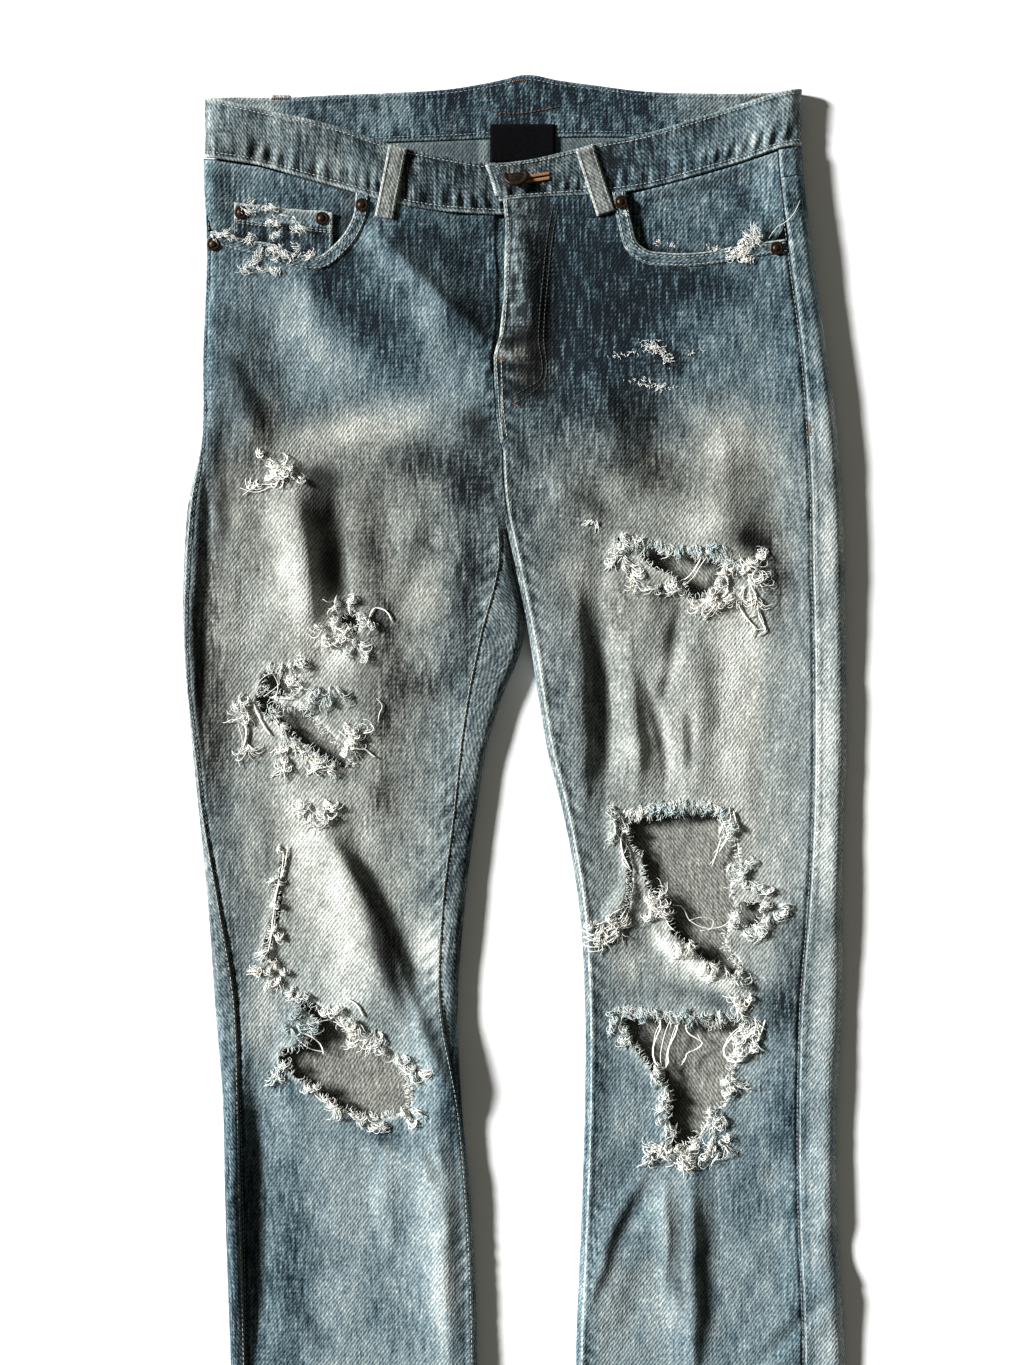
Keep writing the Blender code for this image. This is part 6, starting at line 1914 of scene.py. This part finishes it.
def pocketLipStrip(leg):
    # the folded edge of a pocket's mouth, sewn down as a flat strip
    side = sideNames[leg]
    path = openCurve(pocketLip[leg], 1.6)
    outseam = legEdge(leg, "outseam", path[:, 1])
    waist = lineAt(frontWaistSeam[leg], path[:, 0])
    path = path[((outseam - path[:, 0]) * side > 1.0) & (path[:, 1] < waist + 1.0)]
    points, faces, uv, q, run = ribbonMesh(
        path, lipForm["width"], lipForm["thickness"], lambda x, y: topHeight(leg, x, y), 0.1, 13,
        (0.5 * lipForm["width"] - 0.8) * -side)
    away = q * side
    x, y = points[:, 0], points[:, 1]
    tone = 0.40 + 0.34 * hump(away, 0.92, 0.13) - 0.16 * hump(away, 0.62, 0.12)
    tone = tone - 0.14 * hump(away, -0.66, 0.14) + 0.12 * hump(away, -0.95, 0.12)
    wave = np.sin(run * 2 * math.pi / 7.0 + 2 * softNoise(run, 0 * run, 20, 82))
    tone = tone + 0.07 * softNoise(x, y, 7, 81) + 0.09 * wave
    piece = clothPiece("pocket_lip_" + leg, "front_" + leg, points, faces, [pocketDenim],
                       uv, wearAndShadeOf(x, tone, 0.1, 0.25 * hump(away, 1.0, 0.15)))
    return piece, path


shieldForm = dict(left=-30.0, width=42.0, top=439.0, length=87.0, under=2.1)


def flyShield():
    # a plain strip behind the fly
    s = np.linspace(0.0, 1.0, 30)[:, None]
    t = np.linspace(0.0, 1.0, 16)[None, :]
    x = shieldForm["left"] + shieldForm["width"] * t + 0.0 * s
    y = shieldForm["top"] - shieldForm["length"] * s + 0.0 * t
    z = topHeight("left", np.full(x.shape, -6.0), y, False) - flyDrop - shieldForm["under"]
    return clothPiece("fly_shield_cloth", "fly_shield", np.stack([x, y, z], -1),
                      gridFaces(*x.shape, flip=True), [pocketDenim, denimInside],
                      np.stack([x, y], -1), wearAndShadeOf(x, 0.30), clothThickness)


loopForm = dict(width=13.0, thickness=1.7, lift=0.6, across=13, backLift=0.15, tone=0.50)
frontLoops = {"right": (-81.8, 488.2, -91.5, 438.5), "left": (48.3, 488.0, 63.5, 441.5)}
backLoops = {"right": -165.0, "centre": 3.0, "left": 171.5}


def beltLoop(name, node, path, base, front=True):
    # a folded strip with two sewn channels; both ends are turned under and thicker
    across = loopForm["across"]
    points, faces, uv, q, run = ribbonMesh(
        path, loopForm["width"], loopForm["thickness"] if front else clothThickness - 0.2, base,
        loopForm["lift"] if front else loopForm["backLift"], across, sink=0.1)
    toEnd = run - run.max()
    edge = np.abs(q)
    if front:
        ends = hump(run, 3.0, 2.6) + hump(toEnd, -3.0, 2.6)
        top = np.tile(np.arange(2 * across) < across, len(points) // (2 * across))
        points[:, 2] += top * (0.9 * ends + 0.25 * hump(edge, 0.88, 0.12)
                               - 0.3 * hump(edge, 0.62, 0.10) + 0.2 * softNoise(run, q * 6, 6, 91))
    tone = loopForm["tone"] + 0.24 * hump(edge, 0.95, 0.10) - 0.16 * hump(edge, 0.6, 0.12)
    tone = tone + 0.10 * softNoise(run, q * 6.5, 4, 92) - 0.14 * hump(toEnd, -5.0, 1.0)
    tone = tone + 0.14 * (hump(run, 1.0, 2.0) + hump(toEnd, -1.0, 2.0))
    return clothPiece(name, node, points, faces, [pocketDenim], uv,
                      wearAndShadeOf(q, tone, 0.8, 0.06))


patchForm = dict(away=98.0, half=68.0, top=432.0, bottom=305.0, point=288.0, cells=34, z=0.15)


def backPocket(leg):
    # plain patch under the seat, on the floor side
    side = sideNames[leg]
    half, top, point, count = (patchForm[key] for key in ("half", "top", "point", "cells"))
    s = np.linspace(0.0, 1.0, count)[:, None]
    t = np.linspace(-1.0, 1.0, count)[None, :]
    x = centreLine + side * patchForm["away"] + half * t * (1.0 - 0.12 * s)
    low = point + (patchForm["bottom"] - point) * np.abs(t)
    upper = top + 6.0 * side * t
    y = upper + (low - upper) * s
    edge = np.minimum(np.minimum(s, 1 - s) * 125.0, (1 - np.abs(t)) * half)
    tone = 0.50 + 0.05 * softNoise(x, y, 26, 95) + 0.14 * hump(edge, 0.0, 2.2)
    tone -= 0.06 * hump(edge, 8.0, 2.5)
    piece = clothPiece("back_pocket_cloth_" + leg, "back_pocket_" + leg,
                       np.stack([x, y, patchForm["z"] + 0.0 * x], -1), gridFaces(*x.shape),
                       [washedDenim, denimInside], np.stack([x, y], -1), wearAndShadeOf(x, tone),
                       clothThickness - 0.15)
    return piece, x, y


def turnedMesh(profile, place, sides=28, tilt=0.0):
    # a profile of radius and height turned about an upright axis, tipped about X
    profile = np.array(profile, float)
    turn = np.arange(sides) * 2 * math.pi / sides
    x = profile[:, :1] * np.cos(turn)[None, :]
    y = profile[:, :1] * np.sin(turn)[None, :]
    z = np.broadcast_to(profile[:, 1:], x.shape)
    y, z = y * math.cos(tilt) - z * math.sin(tilt), y * math.sin(tilt) + z * math.cos(tilt)
    points = np.stack([x + place[0], y + place[1], z + place[2]], -1).reshape(-1, 3)
    return points, tubeFaces(len(profile), sides, False)


rivetPlaces = (
    ("right", -191.5, 442.5, "coin"), ("right", -135, 438.5, "coin"),
    ("right", -107.0, 447.5, "front"), ("right", -210.5, 420.0, "front"),
    ("left", 74.0, 449.5, "front"), ("left", 182.5, 417.0, "front"),
)
rivetProfile = ((3.4, -0.3), (4.6, 0.0), (4.75, 0.5), (4.5, 0.95), (3.9, 1.15), (3.2, 1.0),
                (2.7, 0.85), (2.3, 1.05), (1.9, 1.55), (1.2, 1.8), (0.5, 1.85))
buttonProfile = ((2.4, 0.0), (2.4, 4.4), (7.6, 4.6), (8.5, 5.1), (8.7, 5.8), (8.4, 6.6),
                 (7.7, 7.0), (6.9, 6.8), (6.4, 6.3), (5.0, 6.15), (4.2, 6.5), (3.0, 6.75),
                 (1.0, 6.85))


def rivets():
    # one cap at each place, resting on the mean height of a ring under its rim
    ring = np.linspace(0, 2 * math.pi, 12)
    for number, (leg, x, y, carrier) in enumerate(rivetPlaces, start=1):
        rx, ry = x + 3.5 * np.cos(ring), y + 3.5 * np.sin(ring)
        if carrier == "coin":
            z = coinHeight(rx, ry)
        else:
            z = topHeight(leg, rx, ry) + lipForm["thickness"]
        points, faces = turnedMesh(rivetProfile, (x, y, float(np.mean(z)) + 0.3))
        clothPiece(f"rivet_cap_{number}", f"rivet_{number}", points, faces,
                   [antiqueMetal])


# Everything in its place.
# Thread colours: pale on the cloth, warm brown at the bar tacks and the buttonhole.
pale, blueGrey, brown, orange = ((0.44, 0.46, 0.42), (0.26, 0.31, 0.32), (0.13, 0.07, 0.04),
                                 (0.34, 0.17, 0.08))
# Rows of thread: how far apart the stitches are, their length, radius and colour.
rowLook = dict(
    lip=(3.2, 2.5, 0.26, (0.42, 0.44, 0.40)), patch=(3.2, 2.5, 0.22, (0.42, 0.44, 0.40)),
    loop=(2.9, 2.2, 0.24, (0.36, 0.37, 0.32)), band=(3.1, 2.4, 0.25, pale),
    bandInside=(3.1, 2.4, 0.24, blueGrey), seam=(3.4, 2.6, 0.22, pale),
    seamEdge=(3.4, 2.6, 0.22, blueGrey), hem=(3.3, 2.5, 0.25, pale),
    waistBack=(3.0, 2.6, 0.34, brown), fly=(3.0, 2.4, 0.30, (0.05, 0.06, 0.06)),
    flyEdge=(3.2, 2.5, 0.24, pale), tack=(0.6, 1.9, 0.24, (0.30, 0.12, 0.06), 0.0),
    seat=(3.2, 2.5, 0.25, pale), coin=(3.0, 2.3, 0.25, pale))
tackLook = dict(stitches=9, width=11.0, high=4.1, lean=0.6, half=0.9, radius=0.32)
slotForm = dict(left=7.0, right=23.5, level=465.5, slope=0.16, half=1.5, stitches=34)

pieces = {}
for leg in sideNames:
    pieces["front_" + leg] = frontPanel(leg)
    pieces["back_" + leg] = backPanel(leg)
    pieces["yoke_" + leg] = yokePanel(leg)
    pieces["hem_" + leg] = hemRing(leg)
    pieces["facing_" + leg] = pocketFacing(leg)
    pieces["lip_" + leg], lipPath = pocketLipStrip(leg)
    pieces["pocket_" + leg], *patch = backPocket(leg)
    # two rows of thread along the pocket's lip, one along the back pocket's border
    for away in (1.6, 7.2):
        line = lipPath - lineNormals(lipPath) * sideNames[leg] * away
        sewOn(leg, line[:, 0], line[:, 1], lipForm["thickness"] + 0.25, *rowLook["lip"])
    rim = [np.concatenate([grid[2:-3, 2:3], grid[-3:-2, 2:-2].T, grid[2:-3, -3:-2][::-1]])
           for grid in patch]
    stitchAlong(np.column_stack([*rim, np.full(len(rim[0]), 0.18)]), *rowLook["patch"])
pieces["waistband"] = waistband()
pieces["coin"] = coinPocket()
pieces["shield"] = flyShield()
print("panels, waistband and pockets made")

for leg, (x0, y0, x1, y1) in frontLoops.items():
    line = np.array([np.linspace(x0, x1, 46), np.linspace(y0, y1, 46)]).T
    beltLoop("belt_loop_cloth_front_" + leg, "belt_loop_front_" + leg, line,
                               bandTop)
    for q in (-0.38, 0.38):
        across = np.array([y1 - y0, -(x1 - x0)]) / math.hypot(x1 - x0, y1 - y0) * -1.0
        row = line[2:-2] + across * q * loopForm["width"]
        z = bandTop(row[:, 0], row[:, 1]) + loopForm["lift"] + loopForm["thickness"] + 0.05
        stitchAlong(np.column_stack([row, z]), *rowLook["loop"])
for place, x in backLoops.items():
    line = np.array([np.full(20, x), np.linspace(487.0, 527.0, 20)]).T
    beltLoop("belt_loop_cloth_back_" + place, "belt_loop_back_" + place, line,
                               lambda x, y: 0.0 * x, front=False)


def labelBase(x, y):
    return 0.0 * x + seatLift + bandThickness + 0.5 + 0.2 * softNoise(x, y, 14, 97)


labelForm = dict(left=-17.5, right=28.0, level=492.5, width=27.0, thickness=0.5)
labelLine = np.array([np.linspace(labelForm["left"], labelForm["right"], 24),
                      np.full(24, labelForm["level"])]).T
points, faces, uv, _, _ = ribbonMesh(labelLine, labelForm["width"], labelForm["thickness"],
                                     labelBase, 0.0, 9, sink=0.1)
label = clothPiece("label_cloth", "label", points, faces, [labelCloth], uv)

rivets()
buttonForm = dict(x=0.5, y=464.0, sunk=3.4, sides=36, tilt=-0.62)
flapHeight = float(bandTop(np.array([0.0]), np.array([465.0]))[0])
points, faces = turnedMesh(buttonProfile,
                           (buttonForm["x"], buttonForm["y"], flapHeight - buttonForm["sunk"]),
                           buttonForm["sides"], buttonForm["tilt"])
clothPiece("waist_button_cap", "waist_button", points, faces, [antiqueMetal])

# two rows along the waistband, outside and inside
for h in (0.10, 0.92):
    t = np.linspace(0.012, 0.992, 1600)
    line = bandPoint(t, h, bandRelief(t, np.full(t.shape, h)) + 0.12)
    stitchAlong(line, *rowLook["band"])
    line = bandPoint(np.linspace(0.3, 0.75, 900), h, -bandThickness - 0.1)
    stitchAlong(line, *rowLook["bandInside"])

# rows beside the long seams, and one along the hem
inseamTop = {"right": 222.0, "left": crotchLevel - 6.0}
for leg, side in sideNames.items():
    level = np.linspace(sideLevel(leg) - 3.0, hemLevel + 1.0, 700)
    for away, row in ((-1.2, "seamEdge"), (1.0, "seam")):
        x = legEdge(leg, "outseam", level) + side * away
        bend = rowShift(x, level, frontWaistSeam[leg], sideLevel(leg), sideLevel(leg))
        sewOn(leg, x, level + bend, 0.2, *rowLook[row])
    level = level[level < inseamTop[leg]]
    sewOn(leg, legEdge(leg, "inseam", level) + side * 1.6, level, 0.2, *rowLook["seam"])
    ends = (legEdge(leg, column, -528.0) for column in ("outseam", "inseam"))
    sewOn(leg, np.linspace(*ends, 200), -528.5, 0.2, *rowLook["hem"])

line = openCurve(((-23, 516.5), (-10, 514), (0, 513.5), (14, 515), (31, 518.5)), 1.0)
z = np.full(len(line), seatLift + bandThickness + 0.55)
stitchAlong(np.column_stack([line, z]), *rowLook["waistBack"])

# fly: the curved double row, the rows along its edge, and the crotch seam below it
for away in (0.0, 3.6):
    line = [(x - away, y + (away if i > 5 else 0.0)) for i, (x, y) in enumerate(flyCurve)]
    sewAlong("left", line, 0.25, *rowLook["fly"])
for away, first in ((2.4, 0), (5.4, 4)):
    line = [(x + away, y) for x, y in flyEdge[first:]]
    sewAlong("left", line, 0.25, *rowLook["flyEdge"])
for x0, y0, x1, y1 in ((-13, 343, -7, 340), (-13, 341.5, -7, 338.5), (-2, 309.5, 4, 306.5)):
    sewAlong("left", ((x0, y0), (x1, y1)), 0.5, *rowLook["tack"])
sewOn("left", centreLine + 2.0, np.linspace(318, 283, 60), 0.2, *rowLook["seat"])

# buttonhole: close stitches round the slot; bar tacks at loops and at a seam
for edge in (-1.0, 1.0):
    for x in np.linspace(slotForm["left"], slotForm["right"], slotForm["stitches"]):
        y = slotForm["level"] + slotForm["slope"] * (x - slotForm["left"]) + edge * slotForm["half"]
        z = float(bandTop(np.array([x]), np.array([y]))[0]) + 0.55
        oneStitch([x, y - edge * 1.0, z], [x + 0.3, y + edge * 1.4, z], 0.27, orange)
for x, y in ((-165.0, 524.0), (3.0, 537.0), (171.5, 525.0)):
    last, wide, z = tackLook["stitches"] - 1, tackLook["width"], tackLook["high"]
    for at in x - wide / 2 + np.arange(last + 1) * wide / last:
        oneStitch([at - tackLook["lean"], y - tackLook["half"], z],
                  [at + tackLook["lean"], y + tackLook["half"], z], tackLook["radius"], brown)
for y in 286.5 + np.arange(10):
    z = float(topHeight("left", np.array([206.0]), np.array([y]))[0]) + 0.5
    oneStitch([204.6, y, z], [207.4, y + 0.4, z], 0.3, brown)
# coin pocket: rows along its hem and its sides
coinX = np.linspace(coinForm["left"] + 2, coinForm["right"] - 2, 90)
for drop in (12.5, 14.0):
    y = coinForm["top"] - drop - coinForm["drop"] * (coinX - coinForm["left"]) / 68.5
    stitchAlong(np.column_stack([coinX, y, coinHeight(coinX, y) + 0.3]), *rowLook["coin"])
for x, low, drop in ((coinForm["left"] + 1.8, 428.0, 0.0),
                     (coinForm["right"] - 1.8, 420.0, coinForm["drop"])):
    x, y = np.full(60, x), np.linspace(coinForm["top"] - 3.0, low, 60) - drop
    stitchAlong(np.column_stack([x, y, coinHeight(x, y) + 0.5]), *rowLook["coin"])
seams = stitchMesh("seam_stitches")
print("loops, small pieces and stitches made")

# The torn openings whose edges each piece of loose threads follows.
frayRips = dict(
    knee_right=("knee_right",), shin_right=("shin_right",),
    thigh_right=("thigh_right", "web_right"), curl_right=("curl_right",), hip_right=(),
    thigh_left=("thigh_left", "slit_left"), knee_left=("knee_left", "tear_left", "hole_left"),
    shin_left=("shin_left",))
frayPieces = {name: frayMesh(name, rips, seed)
              for seed, (name, rips) in enumerate(frayRips.items(), start=101)}


# Rubbed pocket edges: x, y, reach, reach, threads, length, rise, heading in degrees.
rubbedRows = {
    "right": (
        (-204, 427, 8, 2, 60, 6, 0.9, -10), (-186, 424, 9, 2, 40, 6, 0.9, 170),
        (-172, 417, 9, 3, 60, 7, 1.2, -60), (-160, 413, 8, 3, 60, 7, 1.2, -20),
        (-146, 411, 7, 2, 30, 6, 0.9, 20), (-178, 408, 4, 4, 40, 13, 1.2, -115),
        (-184, 400, 2, 3, 10, 12, 0.5, -125), (-168, 402, 6, 3, 24, 8, 0.8, -80),
        (-214, 424, 2, 3, 14, 5, 0.6, -90), (-150, 419, 2, 3, 10, 8, 1.2, 80),
        (-178, 445, 12, 3, 60, 6, 0.9, -40), (-164, 438, 10, 3, 60, 7, 1.0, -60),
        (-152, 433, 5, 3, 30, 8, 1.0, -40), (-166, 429, 5, 3, 20, 7, 0.8, -90)),
    "left": (
        (160, 421, 8, 5, 110, 8, 1.5, -100), (170, 424, 5, 6, 80, 9, 1.6, 150),
        (153, 416, 6, 3, 50, 9, 1.2, -70), (162, 411, 7, 3, 40, 8, 0.9, -100),
        (140, 418, 14, 1, 30, 4, 0.4, -90), (110, 420, 16, 1, 20, 3, 0.3, -90),
        (78, 436, 1, 12, 16, 3, 0.3, 180)),
}
# Scraped places: x, y, reach, reach, turn in degrees, nubs.
scrapeRows = {
    "left": (
        (76, 343, 12, 1.5, 14, 26), (97, 348, 9, 4, -20, 90), (106, 341, 5, 4, -50, 50),
        (124, 345, 7, 2, 0, 10), (98, 321, 14, 2.0, -6, 60), (90, 326, 9, 1.5, 0, 14)),
    "right": ((-184, 444, 10, 3, 0, 30),),
}
looseThread = ((177, 424), (183, 432), (190, 436), (195, 442), (199, 451))


def pocketFrays():
    # short loose threads along the rubbed pocket edges and the coin pocket's top
    rng = np.random.default_rng(131)
    bundle = ([], [], [])
    for leg, rows in rubbedRows.items():
        for x, y, rx, ry, count, length, rise, turn in rows:
            roots, heading, drift = lockRoots(rng, x, y, rx, ry, count, math.radians(turn))
            roots = roots + rng.normal(0.0, 0.8, (count, 2))
            size = 0.75 * length * (0.4 + 0.9 * rng.random(count))
            lines = curlyPaths(rng, leg, roots, heading, size, threadLook["curl"], rise, drift)
            lines[..., 2] += 0.7
            radii = threadLook["radius"] * (0.45 + 0.4 * rng.random(count))
            addTubes(bundle, lines, radii, threadColour(rng, count, 0.1))
    for leg, rows in scrapeRows.items():
        for x, y, rx, ry, turn, count in rows:
            a = math.radians(turn)
            u, v = rx * rng.normal(0, 0.5, count), ry * rng.normal(0, 0.5, count)
            roots = np.column_stack([x + u * math.cos(a) - v * math.sin(a),
                                     y + u * math.sin(a) + v * math.cos(a)])
            lines = curlyPaths(rng, leg, roots, rng.random(count) * 6.3,
                               1.2 + 1.6 * rng.random(count), 0.5, 0.3)
            addTubes(bundle, lines, np.full(count, 0.19), threadColour(rng, count, 0.15))
    line = sampled(openCurve(looseThread, 0.5), threadLook["points"])
    z = ground("left", line[:, 0], line[:, 1]) + 1.6
    addLine(bundle, line, z, 0.25, threadColour(rng, 1, 0.0))
    points, faces, wearAndShade = joinedTubes([bundle])
    piece = makeMesh("frays_pockets", points, faces, [frayedCotton], wearAndShade=wearAndShade)
    return piece


frayPieces["pockets"] = pocketFrays()
print("frays made")

floorForm = dict(half=40, warm=0.97)
half = floorForm["half"]
floorMesh = bpy.data.meshes.new("floor")
floorMesh.from_pydata([(-half, -half, 0), (half, -half, 0), (half, half, 0), (-half, half, 0)],
                      [], [(0, 1, 2, 3)])
floor = bpy.data.objects.new("floor", floorMesh)
bpy.context.scene.collection.objects.link(floor)
paper, g, shader = startMaterial("whitePaper", 0.95)
tone = light["floorTone"]
where = g.node("ShaderNodeTexCoord").outputs["Object"]
stops = ((0.0, (tone, tone, tone)), (1.0, (tone * 0.98, tone * 0.98, tone * floorForm["warm"])))
g.put(shader.inputs["Base Color"], g.ramp(g.noise(where, 3.0, 2.0), stops))
floorMesh.materials.append(paper)
